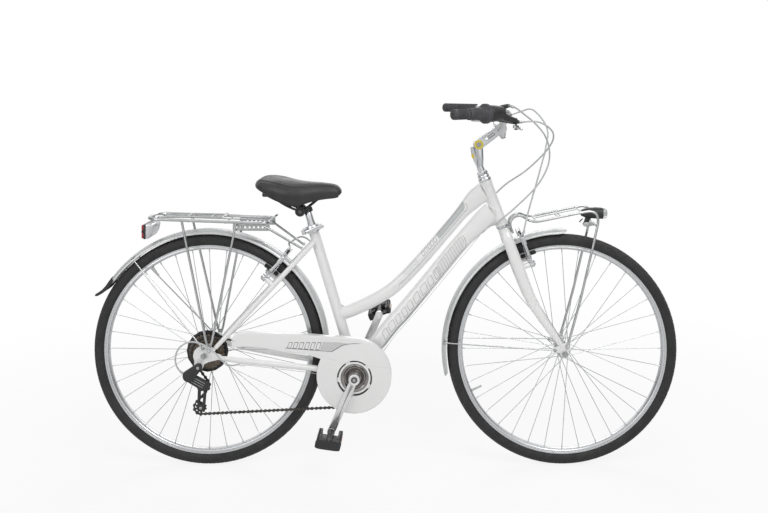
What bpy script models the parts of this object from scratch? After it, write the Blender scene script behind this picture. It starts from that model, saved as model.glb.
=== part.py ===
"""City bike with a low step-through frame, white paint, silver fenders, two racks and rim brakes.

Sizes are in millimetres and the helpers turn them into metres. +X is forward, +Y is the rider's left,
+Z is up, the ground is Z = 0 and X = 0 lies midway between the two axles.
"""

import math

import bmesh
import bpy
from mathutils import Matrix, Vector

MM = 0.001
GAP = 0.3
SMOOTH_ANGLE = math.radians(40)

X = Vector((1, 0, 0))
Y = Vector((0, 1, 0))
Z = Vector((0, 0, 1))
RIGHT = -1
LEFT = 1

# Wheels
RIM_RADIUS = 317.0
RIM_DEPTH = 15.5
RIM_WIDTH = 24.0
RIM_WALL = 1.6
TYRE_SECTION = 38.0
TYRE_SEAT = 6.0
TYRE_WALL = 3.2
TYRE_FULLNESS = 1.09
WHEEL_STEPS = 28
SPOKES = 36
SPOKE_CROSSES = 3
SPOKE_DIAMETER = 2.0
SPOKE_STAGGER = 2.6

# Geometry of the frame
WHEELBASE = 1072.0
CHAIN_STAY_LENGTH = 451.0
BRACKET_DROP = 70.5
SEAT_TUBE_ANGLE = 73.3
SEAT_TUBE_LENGTH = 459.0
SEAT_TUBE_DIAMETER = 31.8
HEAD_TUBE_ANGLE = 69.4
HEAD_TUBE_LENGTH = 143.0
HEAD_TUBE_DIAMETER = 36.0
FORK_RAKE = 38.0
CROWN_CLEARANCE = 9.0
CROWN_HEIGHT = 33.0
LOWER_RACE_HEIGHT = 8.4
UPPER_STACK_HEIGHT = 35.0
STEERER_DIAMETER = 25.4
QUILL_DIAMETER = 22.2
DOWN_TUBE_DEPTH = 50.0
DOWN_TUBE_WIDTH = 40.0
TOP_TUBE_DEPTH = 38.0
TOP_TUBE_WIDTH = 30.0
TOP_TUBE_FLARE = 46.0
CHAIN_STAY_DIAMETER = 18.0
SEAT_STAY_DIAMETER = 16.0
BRACKET_SHELL_DIAMETER = 40.0
BRACKET_SHELL_WIDTH = 68.0

# Hubs and axles
REAR_OVER_LOCKNUTS = 132.0
FRONT_OVER_LOCKNUTS = 100.0
AXLE_DIAMETER = 9.5
DROPOUT_THICKNESS = 5.0
REAR_FLANGE_DIAMETER = 45.0
FRONT_FLANGE_DIAMETER = 39.0
FLANGE_THICKNESS = 7.0
RIGHT_REAR_FLANGE = 18.0
LEFT_REAR_FLANGE = 34.0
FRONT_FLANGE = 33.0
HUB_THREAD_DIAMETER = 28.0
PROTECTOR_DIAMETER = 126.0

# Chain drive
CHAIN_PITCH = 12.7
CHAIN_WIDTH = 6.4
CHAIN_HEIGHT = 4.6
CHAIN_LINE = 45.0
CHAINRING_TEETH = 44
SPROCKET_TEETH = 22
PULLEY_TEETH = 10
SPROCKET_SPACING = 5.0
SPINDLE_DIAMETER = 17.0
CRANK_LENGTH = 168.0
CRANK_ANGLE = 246.0
CRANK_INNER_FACE = 63.0
CRANK_THICKNESS = 13.0
PEDAL_LENGTH = 74.0
PEDAL_WIDTH = 92.0
PEDAL_THICKNESS = 24.0
PEDAL_AXLE_DIAMETER = 9.0
PEDAL_TILTS = {-1: 8.0, 1: -22.0}

# Fenders, racks and cockpit
FENDER_GAP = 17.0
FENDER_HALF_WIDTH = 26.0
FENDER_CROWN = 13.0
FENDER_WALL = 1.4
RACK_TUBE = 9.0
RACK_WIRE = 5.0
BAR_DIAMETER = 22.2
GRIP_DIAMETER = 29.2
BAR_REACH = 57.7
BAR_RISE = 126.3
BAR_HALF_WIDTH = 189.3
GRIP_LENGTH = 185.0
GRIP_SWEEP = 54.0
HOUSING_DIAMETER = 5.0
WIRE_DIAMETER = 1.6
SEATPOST_DIAMETER = 25.4
SEATPOST_LENGTH = 300.0
SEATPOST_VISIBLE = 62.0

# Rim brakes
PAD_GAP = 2.2
PAD_LENGTH = 52.0
PAD_HEIGHT = 10.0
PAD_DEPTH = 9.0
BRAKE_PIVOT_DROP = 26.0
BRAKE_PIVOT_SPREAD = 40.0
BRAKE_ARM_LENGTH = 100.0
BRAKE_STUD_DIAMETER = 10.0

# Points that everything hangs on
TYRE_RADIUS = RIM_RADIUS - TYRE_SEAT + TYRE_SECTION
FENDER_RADIUS = TYRE_RADIUS + FENDER_GAP
REAR_HUB = Vector((-WHEELBASE / 2, 0, TYRE_RADIUS))
FRONT_HUB = Vector((WHEELBASE / 2, 0, TYRE_RADIUS))
BRACKET_RUN = math.sqrt(CHAIN_STAY_LENGTH**2 - BRACKET_DROP**2)
BRACKET = REAR_HUB + Vector((BRACKET_RUN, 0, -BRACKET_DROP))
SEAT_UP = Vector((-math.cos(math.radians(SEAT_TUBE_ANGLE)), 0, math.sin(math.radians(SEAT_TUBE_ANGLE))))
STEER_UP = Vector((-math.cos(math.radians(HEAD_TUBE_ANGLE)), 0, math.sin(math.radians(HEAD_TUBE_ANGLE))))
STEER_AHEAD = Vector((STEER_UP.z, 0, -STEER_UP.x))
CROWN_LOW = FENDER_RADIUS + CROWN_CLEARANCE
CROWN_HIGH = CROWN_LOW + CROWN_HEIGHT
HEAD_LOW = CROWN_HIGH + LOWER_RACE_HEIGHT + GAP
HEAD_HIGH = HEAD_LOW + HEAD_TUBE_LENGTH
STEERER_HIGH = HEAD_HIGH + UPPER_STACK_HEIGHT
SEAT_STAY_ANGLE = math.radians(46.8)
STAY_ALONG = Vector((math.cos(SEAT_STAY_ANGLE), 0, math.sin(SEAT_STAY_ANGLE)))
STAY_BACK = Vector((-STAY_ALONG.z, 0, STAY_ALONG.x))
STAY_OFFSET = -9.0

CABLE_RADIUS = HOUSING_DIAMETER / 2
STOP_RADIUS = 4.5


def rear(x, y, z):
    return REAR_HUB + Vector((x, y, z))


def front(x, y, z):
    return FRONT_HUB + Vector((x, y, z))


def bracket(x, y, z):
    return BRACKET + Vector((x, y, z))


def fork(along, ahead=-FORK_RAKE, y=0.0):
    """A point by its height above the front axle along the steering axis and its distance ahead."""
    return FRONT_HUB + STEER_UP * along + STEER_AHEAD * ahead + Y * y


def stay(along, back=STAY_OFFSET, y=0.0):
    """A point by its distance from the rear axle along the seat stay and its distance behind that line."""
    return REAR_HUB + STAY_ALONG * along + STAY_BACK * back + Y * y


def seat(along, y=0.0):
    return BRACKET + SEAT_UP * along + Y * y


BAR_CENTRE = fork(STEERER_HIGH) + Vector((BAR_REACH, 0, BAR_RISE))


def bar(x, y, z):
    return BAR_CENTRE + Vector((x, y, z))


def grip_direction(side):
    sweep = math.radians(GRIP_SWEEP)
    return Vector((-math.sin(sweep), side * math.cos(sweep), 0))


def grip_start(side):
    return bar(-9.3, side * BAR_HALF_WIDTH, 54)


MATERIALS = {
    "white_paint": ((0.86, 0.87, 0.87), 0.0, 0.22),
    "silver_paint": ((0.62, 0.64, 0.65), 0.6, 0.35),
    "chrome": ((0.72, 0.73, 0.74), 1.0, 0.18),
    "aluminium": ((0.66, 0.67, 0.68), 1.0, 0.35),
    "steel": ((0.45, 0.46, 0.47), 1.0, 0.4),
    "tyre_rubber": ((0.03, 0.03, 0.032), 0.0, 0.75),
    "grip_rubber": ((0.06, 0.06, 0.063), 0.0, 0.7),
    "black_plastic": ((0.025, 0.025, 0.027), 0.0, 0.4),
    "black_cover": ((0.03, 0.03, 0.031), 0.0, 0.5),
    "red_lens": ((0.6, 0.02, 0.02), 0.0, 0.15),
    "housing_grey": ((0.55, 0.56, 0.57), 0.0, 0.45),
}


def material(name):
    found = bpy.data.materials.get(name)
    if found:
        return found
    color, metallic, roughness = MATERIALS[name]
    made = bpy.data.materials.new(name)
    made.use_nodes = True
    shader = made.node_tree.nodes["Principled BSDF"]
    shader.inputs["Base Color"].default_value = (*color, 1)
    shader.inputs["Metallic"].default_value = metallic
    shader.inputs["Roughness"].default_value = roughness
    return made


def clear_scene():
    for obj in list(bpy.data.objects):
        bpy.data.objects.remove(obj)
    for name in ("city_bike", "cutters"):
        collection = bpy.data.collections.new(name)
        bpy.context.scene.collection.children.link(collection)
    bpy.data.collections["cutters"].hide_render = True


def new_object(name, data):
    obj = bpy.data.objects.new(name, data)
    bpy.data.collections["cutters"].objects.link(obj)
    return obj


def as_mesh(obj):
    """A plain mesh object in place of one that has modifiers or is a curve, with its loose caps welded."""
    bpy.context.view_layer.update()
    graph = bpy.context.evaluated_depsgraph_get()
    mesh = bpy.data.meshes.new_from_object(obj.evaluated_get(graph))
    mesh.transform(obj.matrix_world)
    bpy.data.objects.remove(obj)
    tidy(mesh)
    return new_object("shape", mesh)


def tidy(mesh):
    shape = bmesh.new()
    shape.from_mesh(mesh)
    shape.transform(Matrix.Scale(1 / MM, 4))
    bmesh.ops.remove_doubles(shape, verts=shape.verts, dist=0.0006)
    finished(shape, mesh)


def finished(shape, mesh):
    """Writes a bmesh in millimetres into a mesh in metres, its faces turned outwards at the larger scale."""
    shape.normal_update()
    bmesh.ops.recalc_face_normals(shape, faces=shape.faces)
    shape.transform(Matrix.Scale(MM, 4))
    shape.to_mesh(mesh)
    shape.free()


def from_bmesh(shape, matrix):
    """A mesh object from a bmesh in millimetres, placed by a matrix in millimetres."""
    mesh = bpy.data.meshes.new("shape")
    shape.transform(matrix)
    finished(shape, mesh)
    return new_object("shape", mesh)


def frame_along(axis, origin, hint=Y):
    """A matrix whose Z runs along the axis and whose X is as near as it can be to square with the hint."""
    z = axis.normalized()
    x = hint.cross(z)
    if x.length < 1e-6:
        x = X.copy()
    x.normalize()
    y = z.cross(x)
    matrix = Matrix((x, y, z)).transposed().to_4x4()
    matrix.translation = origin
    return matrix


def rod(start, end, radius, end_radius=None, sides=10):
    """A round rod or cone between two points."""
    shape = bmesh.new()
    bmesh.ops.create_cone(
        shape,
        cap_ends=True,
        segments=sides,
        radius1=radius,
        radius2=radius if end_radius is None else end_radius,
        depth=(end - start).length,
    )
    return from_bmesh(shape, frame_along(end - start, (start + end) / 2))


def block(centre, size, tilt=0.0, axis=Y):
    """A box turned about an axis through its centre, in degrees."""
    shape = bmesh.new()
    bmesh.ops.create_cube(shape, size=1)
    turn = Matrix.Rotation(math.radians(tilt), 4, axis)
    return from_bmesh(shape, Matrix.Translation(centre) @ turn @ Matrix.Diagonal((*size, 1)))


def tube(points, radius, resolution=2, radii=None):
    """A round bar along a polyline, from a curve with a bevel. Radii are shares of the radius."""
    curve = bpy.data.curves.new("tube", "CURVE")
    curve.dimensions = "3D"
    curve.bevel_depth = radius * MM
    curve.bevel_resolution = resolution
    curve.use_fill_caps = True
    spline = curve.splines.new("POLY")
    spline.points.add(len(points) - 1)
    for index, point in enumerate(points):
        spline.points[index].co = (*(point * MM), 1)
        spline.points[index].radius = radii[index] if radii else 1
    return as_mesh(new_object("tube", curve))


def smooth(points, step):
    """Points about a step apart on a smooth curve through the given ones."""
    ends = [points[0] * 2 - points[1], *points, points[-1] * 2 - points[-2]]
    fine = []
    for index in range(1, len(ends) - 2):
        before, start, end, after = ends[index - 1 : index + 3]
        for part in range(20):
            t = part / 20
            fine.append(
                0.5
                * (
                    2 * start
                    + (end - before) * t
                    + (2 * before - 5 * start + 4 * end - after) * t**2
                    + (3 * start - before - 3 * end + after) * t**3
                )
            )
    fine.append(points[-1])
    lengths = [0.0]
    for first, second in zip(fine, fine[1:]):
        lengths.append(lengths[-1] + (second - first).length)
    count = max(2, round(lengths[-1] / step))
    found = []
    at = 0
    for number in range(count + 1):
        wanted = lengths[-1] * number / count
        while at < len(fine) - 2 and lengths[at + 1] < wanted:
            at += 1
        share = (wanted - lengths[at]) / (lengths[at + 1] - lengths[at])
        found.append(fine[at].lerp(fine[at + 1], share))
    return found


def loft(rings):
    """A closed skin over rings of points, each with as many points as the others."""
    shape = bmesh.new()
    rows = [[shape.verts.new(point) for point in ring] for ring in rings]
    count = len(rows[0])
    for first, second in zip(rows, rows[1:]):
        for index in range(count):
            after = (index + 1) % count
            shape.faces.new((first[index], first[after], second[after], second[index]))
    shape.faces.new(reversed(rows[0]))
    shape.faces.new(rows[-1])
    return from_bmesh(shape, Matrix.Identity(4))


def oval_tube(stations, sides=10):
    """A tube through stations of centre, depth and width, the width lying across the bike."""
    centres = [station[0] for station in stations]
    rings = []
    for index, (centre, depth, width) in enumerate(stations):
        ahead = centres[min(index + 1, len(centres) - 1)]
        behind = centres[max(index - 1, 0)]
        along = (ahead - behind).normalized()
        across = (Y - along * along.dot(Y)).normalized()
        up = along.cross(across)
        ring = []
        for side in range(sides):
            angle = 2 * math.pi * (side + 0.5) / sides
            ring.append(centre + across * math.cos(angle) * width / 2 + up * math.sin(angle) * depth / 2)
        rings.append(ring)
    return loft(rings)


def turned(profile, centre, axis=Y, steps=16, closed=True):
    """A profile of (radius, place along the axis) turned about the axis with a Screw modifier."""
    mesh = bpy.data.meshes.new("profile")
    points = [(radius * MM, 0, along * MM) for radius, along in profile]
    edges = [(index, index + 1) for index in range(len(points) - 1)]
    if closed:
        edges.append((len(points) - 1, 0))
    mesh.from_pydata(points, edges, [])
    obj = new_object("turned", mesh)
    screw = obj.modifiers.new("Screw", "SCREW")
    screw.steps = steps
    screw.render_steps = steps
    screw.use_merge_vertices = True
    screw.merge_threshold = 0.00001
    place = frame_along(axis, centre)
    place.translation = centre * MM
    obj.matrix_world = place
    return as_mesh(obj)


def sleeve(centre, axis, radius, low, high):
    """A solid cylinder whose facets lie over those of a ring about the same axis."""
    return turned(((0, low), (radius, low), (radius, high), (0, high)), centre, axis, closed=False)


def bored(radius, steps):
    """The radius of a hole with flat facets that clears a round pin at any angle."""
    return (radius + GAP) / math.cos(math.pi / steps)


def ring(centre, axis, inner, outer, low, high, steps=16):
    """A plain bush between two radii and between two places along its axis."""
    profile = ((outer, high), (outer, low), (inner, low), (inner, high))
    return turned(profile, centre, axis, steps)


def plate(outlines, thickness, origin, normal=-Y, up=Z):
    """A flat piece from closed outlines of (across, up) points, where a second outline is a hole."""
    curve = bpy.data.curves.new("plate", "CURVE")
    curve.dimensions = "2D"
    curve.fill_mode = "BOTH"
    curve.extrude = thickness / 2 * MM
    for outline in outlines:
        spline = curve.splines.new("POLY")
        spline.points.add(len(outline) - 1)
        spline.use_cyclic_u = True
        for point, (across, along) in zip(spline.points, outline):
            point.co = (across * MM, along * MM, 0, 1)
    obj = new_object("plate", curve)
    side = up.cross(normal).normalized()
    place = Matrix((side, up, side.cross(up))).transposed().to_4x4()
    place.translation = origin * MM
    obj.matrix_world = place
    return as_mesh(obj)


def union(shapes):
    """One body from shapes that run into each other."""
    return combine(shapes[0], shapes[1:], "UNION")


def cut(shape, cutters):
    return combine(shape, cutters, "DIFFERENCE")


def combine(shape, others, operation):
    if not others:
        return shape
    group = bpy.data.collections.new("operands")
    for other in others:
        group.objects.link(other)
    boolean = shape.modifiers.new("Boolean", "BOOLEAN")
    boolean.operation = operation
    boolean.operand_type = "COLLECTION"
    boolean.collection = group
    made = as_mesh(shape)
    for other in others:
        bpy.data.objects.remove(other)
    bpy.data.collections.remove(group)
    return made


def node(name, shape, paint, origin=None):
    """The finished piece under its own name, with its origin on the given point."""
    origin = origin or Vector((0, 0, 0))
    mesh = shape.data
    mesh.name = name
    mesh.transform(Matrix.Translation(-origin * MM))
    shape.location = origin * MM
    shape.name = name
    mesh.materials.clear()
    mesh.materials.append(material(paint))
    mesh.shade_smooth()
    mesh.set_sharp_from_angle(angle=SMOOTH_ANGLE)
    bpy.data.collections["cutters"].objects.unlink(shape)
    bpy.data.collections["city_bike"].objects.link(shape)
    return shape


def circle(radius, count, centre=(0, 0), start=0.0, end=360.0):
    """Points on an arc, without the last one where the arc is a full circle."""
    full = abs(end - start) >= 360
    found = []
    for index in range(count):
        share = index / (count if full else count - 1)
        angle = math.radians(start + (end - start) * share)
        found.append((centre[0] + radius * math.cos(angle), centre[1] + radius * math.sin(angle)))
    return found


def around(centre, radius, angle, y=0.0):
    """A point on a circle about an axle, by its angle in degrees from forward, turning up."""
    turn = math.radians(angle)
    return centre + Vector((radius * math.cos(turn), y, radius * math.sin(turn)))


def rim(name, hub):
    """A channel rim with flat brake tracks, open towards the tyre."""
    half = RIM_WIDTH / 2
    bed = RIM_RADIUS - 8.0
    inner = RIM_RADIUS - RIM_DEPTH
    profile = (
        (RIM_RADIUS, half),
        (RIM_RADIUS, half - RIM_WALL),
        (bed, 0),
        (RIM_RADIUS, RIM_WALL - half),
        (RIM_RADIUS, -half),
        (RIM_RADIUS - 11.0, -half),
        (inner, 0),
        (RIM_RADIUS - 11.0, half),
    )
    return node(name, turned(profile, hub, steps=WHEEL_STEPS), "aluminium", hub)


def tyre(name, hub):
    """A tyre that is open towards the rim and sits just over its edges."""
    outer = TYRE_SECTION / 2
    centre = TYRE_RADIUS - outer
    seat_radius = RIM_RADIUS + GAP
    profile = []
    for radius, order, count in ((outer, 1, 5), (outer - TYRE_WALL, -1, 4)):
        lowest = math.asin((centre - seat_radius) / radius)
        arc = []
        for index in range(count):
            angle = -lowest + (math.pi + 2 * lowest) * index / (count - 1)
            arc.append((centre + radius * math.sin(angle), TYRE_FULLNESS * radius * math.cos(angle)))
        profile += arc[::order]
    return node(name, turned(profile, hub, steps=WHEEL_STEPS), "tyre_rubber", hub)


def spokes(hub, flanges, flange_radius):
    """Crossed spokes, those that lead and those that trail on opposite faces of each flange."""
    made = []
    reach = (RIM_RADIUS - RIM_DEPTH) * math.cos(math.pi / WHEEL_STEPS) - GAP
    lean = SPOKE_CROSSES * 720 / SPOKES
    for index in range(SPOKES):
        flange = flanges[index % 2]
        trailing = -1 if index % 4 < 2 else 1
        at_rim = index * 360 / SPOKES
        start = around(hub, flange_radius - 3.0, at_rim + trailing * lean, flange + trailing * SPOKE_STAGGER)
        end = around(hub, reach, at_rim, math.copysign(2.5, flange))
        made.append(rod(start, end, SPOKE_DIAMETER / 2, sides=3))
    return made


def hub_body(hub, profile, flanges, flange_radius):
    """The turned shell, which has its bore for the axle, with every spoke joined to its flanges."""
    shell = turned(profile, hub, steps=10)
    return union([shell, *spokes(hub, flanges, flange_radius)])


def flange_steps(place, barrel, radius):
    half = FLANGE_THICKNESS / 2
    return ((barrel, place + half), (radius, place + half), (radius, place - half), (barrel, place - half))


AXLE_BORE = bored(AXLE_DIAMETER / 2, 10)
BARREL = 14.0
LOCKNUT = 8.5


def front_wheel():
    half = FRONT_OVER_LOCKNUTS / 2 - GAP
    radius = FRONT_FLANGE_DIAMETER / 2
    profile = (
        (LOCKNUT, half),
        (LOCKNUT, FRONT_FLANGE + 8),
        *flange_steps(FRONT_FLANGE, BARREL, radius),
        *flange_steps(-FRONT_FLANGE, BARREL, radius),
        (LOCKNUT, -FRONT_FLANGE - 8),
        (LOCKNUT, -half),
        (AXLE_BORE, -half),
        (AXLE_BORE, half),
    )
    flanges = (FRONT_FLANGE, -FRONT_FLANGE)
    node("front_hub", hub_body(FRONT_HUB, profile, flanges, radius), "chrome", FRONT_HUB)
    rim("front_rim", FRONT_HUB)
    tyre("front_tyre", FRONT_HUB)


PROTECTOR_PLACE = -RIGHT_REAR_FLANGE - FLANGE_THICKNESS / 2 - 3.5
FREEWHEEL_START = PROTECTOR_PLACE - 1.6


def rear_wheel():
    half = REAR_OVER_LOCKNUTS / 2 - GAP
    radius = REAR_FLANGE_DIAMETER / 2
    thread = HUB_THREAD_DIAMETER / 2
    thread_end = FREEWHEEL_START - 26.0
    profile = (
        (LOCKNUT, half),
        (LOCKNUT, LEFT_REAR_FLANGE + 10),
        *flange_steps(LEFT_REAR_FLANGE, BARREL, radius),
        *flange_steps(-RIGHT_REAR_FLANGE, BARREL + 3, radius),
        (BARREL + 3, PROTECTOR_PLACE + 1.0),
        (thread, PROTECTOR_PLACE + 1.0),
        (thread, thread_end),
        (LOCKNUT, thread_end),
        (LOCKNUT, -half),
        (AXLE_BORE, -half),
        (AXLE_BORE, half),
    )
    flanges = (LEFT_REAR_FLANGE, -RIGHT_REAR_FLANGE)
    node("rear_hub", hub_body(REAR_HUB, profile, flanges, radius), "chrome", REAR_HUB)
    rim("rear_rim", REAR_HUB)
    tyre("rear_tyre", REAR_HUB)
    disc = ring(REAR_HUB, Y, bored(thread, 16), PROTECTOR_DIAMETER / 2, PROTECTOR_PLACE - 0.7, PROTECTOR_PLACE + 0.7, 16)
    node("spoke_protector", disc, "black_plastic", REAR_HUB)


def pitch_radius(teeth):
    return CHAIN_PITCH / 2 / math.sin(math.pi / teeth)


def toothed(teeth, thickness, centre, place, hole):
    """A plate wheel whose tips stay inside the band that stands for the chain."""
    tip = pitch_radius(teeth) - CHAIN_HEIGHT / 2 - GAP * 2
    outline = []
    for index in range(teeth * 2):
        angle = math.pi * index / teeth
        reach = tip if index % 2 else tip - 3.5
        outline.append((reach * math.cos(angle), reach * math.sin(angle)))
    return plate([outline, circle(hole, 14)], thickness, centre + Y * place)


def freewheel():
    """The ratchet body and its sprockets, the chain lying on one in the middle of them."""
    bore = bored(HUB_THREAD_DIAMETER / 2, 12)
    body = pitch_radius(14) - CHAIN_HEIGHT - 2.0
    profile = [(body, FREEWHEEL_START - 0.4)]
    for teeth, steps in ((28, 2), (25, 1), (18, -1)):
        place = steps * SPROCKET_SPACING - CHAIN_LINE
        reach = pitch_radius(teeth) - 1.0
        profile += [(body, place + 1), (reach, place + 1), (reach, place - 1), (body, place - 1)]
    end = -CHAIN_LINE - 3 * SPROCKET_SPACING + 2.0
    profile += [(body, end), (bore, end), (bore, FREEWHEEL_START - 0.4)]
    core = turned(profile, REAR_HUB, steps=12)
    driven = toothed(SPROCKET_TEETH, 2.0, REAR_HUB, -CHAIN_LINE, bore + 1.0)
    node("freewheel", union([core, driven]), "steel", REAR_HUB)


def axle(name, hub, over, right_end, left_end):
    """A threaded axle with a nut outside each fork end."""
    nut = over / 2 + DROPOUT_THICKNESS + GAP
    shapes = [rod(hub - Y * right_end, hub + Y * left_end, AXLE_DIAMETER / 2, sides=8)]
    for side in (RIGHT, LEFT):
        shapes.append(rod(hub + Y * side * nut, hub + Y * side * (nut + 8), 9.0, sides=6))
    node(name, union(shapes), "steel", hub)


def axles():
    axle("rear_axle", REAR_HUB, REAR_OVER_LOCKNUTS, 87.0, 82.0)
    axle("front_axle", FRONT_HUB, FRONT_OVER_LOCKNUTS, 66.0, 66.0)


def frame_tubes():
    """The tubes, each coped round the one that it is welded to."""
    head_radius = HEAD_TUBE_DIAMETER / 2
    steerer_bore = bored(STEERER_DIAMETER / 2, 16)
    head = ring(fork(0), STEER_UP, steerer_bore, head_radius, HEAD_LOW, HEAD_HIGH)
    node("head_tube", head, "white_paint")
    post_bore = bored(SEATPOST_DIAMETER / 2, 16)
    tube_radius = SEAT_TUBE_DIAMETER / 2
    foot = BRACKET_SHELL_DIAMETER / 2 + GAP
    floor = SEAT_TUBE_LENGTH - SEATPOST_LENGTH - 20.0
    profile = (
        (0, floor),
        (post_bore, floor),
        (post_bore, SEAT_TUBE_LENGTH),
        (tube_radius, SEAT_TUBE_LENGTH),
        (tube_radius, foot - 8),
        (0, foot - 8),
    )
    upright = turned(profile, BRACKET, SEAT_UP, closed=False)
    node("seat_tube", cut(upright, [bracket_cutter()]), "white_paint")
    shell = ring(BRACKET, Y, bored(SPINDLE_DIAMETER / 2, 16), BRACKET_SHELL_DIAMETER / 2, *shell_span())
    node("bottom_bracket_shell", shell, "white_paint")
    down_tube()
    top_tube()


def shell_span():
    return -BRACKET_SHELL_WIDTH / 2, BRACKET_SHELL_WIDTH / 2


def bracket_cutter():
    reach = BRACKET_SHELL_WIDTH
    return sleeve(BRACKET, Y, BRACKET_SHELL_DIAMETER / 2 + GAP, -reach, reach)


def head_cutter():
    return sleeve(fork(0), STEER_UP, HEAD_TUBE_DIAMETER / 2 + GAP, HEAD_LOW - 60, HEAD_HIGH + 60)


def seat_cutter():
    return sleeve(BRACKET, SEAT_UP, SEAT_TUBE_DIAMETER / 2 + GAP, 0, SEAT_TUBE_LENGTH + 20)


def down_tube():
    """The main beam, bowed a little, from the low half of the head tube to the bracket shell."""
    route = smooth(
        [
            fork(HEAD_LOW + 44),
            front(-221, 0, 406),
            front(-302, 0, 327),
            front(-411, 0, 196),
            front(-484, 0, 109),
            bracket(104, 0, 137),
            bracket(20, 0, 28),
            bracket(0, 0, 0),
        ],
        62,
    )
    stations = []
    for index, point in enumerate(route):
        at_head = max(0.0, 1 - index / 2)
        at_bracket = max(0.0, 1 - (len(route) - 1 - index) / 1.6)
        depth = DOWN_TUBE_DEPTH - (DOWN_TUBE_DEPTH - BRACKET_SHELL_DIAMETER + 2) * at_bracket
        width = DOWN_TUBE_WIDTH - (DOWN_TUBE_WIDTH - HEAD_TUBE_DIAMETER + 4) * at_head
        stations.append((point, depth, width))
    shape = union([oval_tube(stations), rod(stop_point(-8), stop_point(8), STOP_RADIUS, sides=8)])
    way = rod(stop_point(-12), stop_point(36), CABLE_RADIUS + GAP * 3, sides=8)
    shape = cut(shape, [head_cutter(), bracket_cutter(), seat_cutter()])
    node("down_tube", cut(shape, [way]), "white_paint")


def stop_point(along):
    """A place by its distance up the underside of the down tube from the middle of the cable stop."""
    return front(-244.2 + 0.655 * along, -8, 351.2 + 0.756 * along)


def top_tube():
    """The low upper beam, flared at the head, with its gusset at the seat tube."""
    route = smooth(
        [
            fork(HEAD_HIGH - 32),
            front(-257, 0, 460),
            front(-298, 0, 420),
            front(-335, 0, 376.5),
            front(-397, 0, 304),
            front(-438, 0, 258),
            bracket(146.4, 0, 284.5),
            bracket(100.4, 0, 244.5),
            bracket(43.4, 0, 211.5),
            bracket(-11.6, 0, 186.5),
            bracket(-54, 0, 172),
        ],
        52,
    )
    stations = []
    for index, point in enumerate(route):
        flare = max(0.0, 1 - index / 2.1)
        depth = TOP_TUBE_DEPTH + (TOP_TUBE_FLARE - TOP_TUBE_DEPTH) * flare
        stations.append((point, depth, TOP_TUBE_WIDTH))
    gusset = plate([((-6, 0), (44, -10), (-14, 40))], 8, bracket(-50, 0, 180))
    shape = union([oval_tube(stations), gusset])
    node("top_tube", cut(shape, [head_cutter(), seat_cutter()]), "white_paint")


DROPOUT_PLACE = REAR_OVER_LOCKNUTS / 2 + DROPOUT_THICKNESS / 2
TONGUE_END = 52.0
BRAKE_TRACK = RIM_RADIUS - 8.4
REAR_ARM_BACK = 27.0
FRONT_ARM_AHEAD = 4.0
REAR_PAD = math.sqrt(BRAKE_TRACK**2 - REAR_ARM_BACK**2)
FRONT_PAD = REAR_PAD
ARM_THICKNESS = 14.0
HANGER = (-15.0, -32.0)
RACK_EYE = (16.0, 17.0)
FENDER_EYE = (-3.0, 23.0)


def hull(first, second, first_radius, second_radius, count=6):
    """The outline round two circles."""
    across, up = second[0] - first[0], second[1] - first[1]
    heading = math.degrees(math.atan2(up, across))
    lean = math.degrees(math.acos((first_radius - second_radius) / math.hypot(across, up)))
    near = circle(first_radius, count, first, heading + lean, heading + 360 - lean)
    far = circle(second_radius, count, second, heading - lean, heading + lean)
    return near + far


def dropout_plate(side):
    """The flat fork end with the eyes of the rack and the fender stay and, on the right, the gear hanger."""
    outline = [(-15, -13), (-15, 12), (-8, 28), (8, 30), (24, 26), (30, 8), (52, 2), (52, -10), (16, -16)]
    if side == RIGHT:
        outline += [(-4, -24), (-6, -40), (-24, -42), (-26, -26)]
    flat = plate([outline], DROPOUT_THICKNESS, rear(0, side * DROPOUT_PLACE, 0))
    return flat


def tongue(side, grown=0.0):
    """The finger of the fork end that the slotted seat stay slides over."""
    start = 14.0
    size = (TONGUE_END - start + grown * 2, DROPOUT_THICKNESS - 0.6 + grown * 2, 12 + grown * 2)
    centre = stay((TONGUE_END + start) / 2, y=side * DROPOUT_PLACE)
    return block(centre, size, -math.degrees(SEAT_STAY_ANGLE))


def axle_cutter(hub, half):
    return rod(hub - Y * half, hub + Y * half, AXLE_DIAMETER / 2 + GAP, sides=12)


def chain_stay(name, side):
    route = smooth(
        [
            bracket(-10, side * 23, 3),
            bracket(-60, side * 29, 10),
            bracket(-120, side * 37, 22),
            rear(236, side * 46, -36),
            rear(96, side * 61, -16),
            rear(30, side * DROPOUT_PLACE, -5),
        ],
        70,
    )
    shapes = [
        oval_tube([(point, CHAIN_STAY_DIAMETER, CHAIN_STAY_DIAMETER) for point in route], 8),
        dropout_plate(side),
        tongue(side),
    ]
    cutters = [bracket_cutter(), seat_cutter(), axle_cutter(REAR_HUB, 100)]
    ways = []
    if side == RIGHT:
        stop = rear(112, side * 60, -30)
        ahead = Vector((8, 0, -1.0))
        shapes.append(rod(stop - ahead, stop + ahead, STOP_RADIUS, sides=8))
        ways.append(rod(stop - ahead * 2, stop + ahead * 2, CABLE_RADIUS + GAP * 2.6, sides=8))
    node(name, cut(cut(union(shapes), cutters), ways), "white_paint")


def seat_stay_route(side):
    return [
        stay(38, y=side * DROPOUT_PLACE),
        stay(62, y=side * 65),
        stay(150, y=side * 56),
        stay(245, y=side * 46),
        stay(330, y=side * 39.5),
        stay(378, y=side * 36),
        stay(430, y=side * 27),
        stay(462, y=side * 24),
    ]


def stud(base, foot, tip, side):
    """A boss and a pin for a brake arm, where base, foot and tip are points on its axis."""
    pin = BRAKE_STUD_DIAMETER / 2
    along = (tip - foot).normalized()
    return [
        rod(base, foot, pin + 3, sides=8),
        rod(foot - along, tip, pin, sides=8),
        rod(tip - along * 3, tip, pin + 2, sides=8),
    ]


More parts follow.
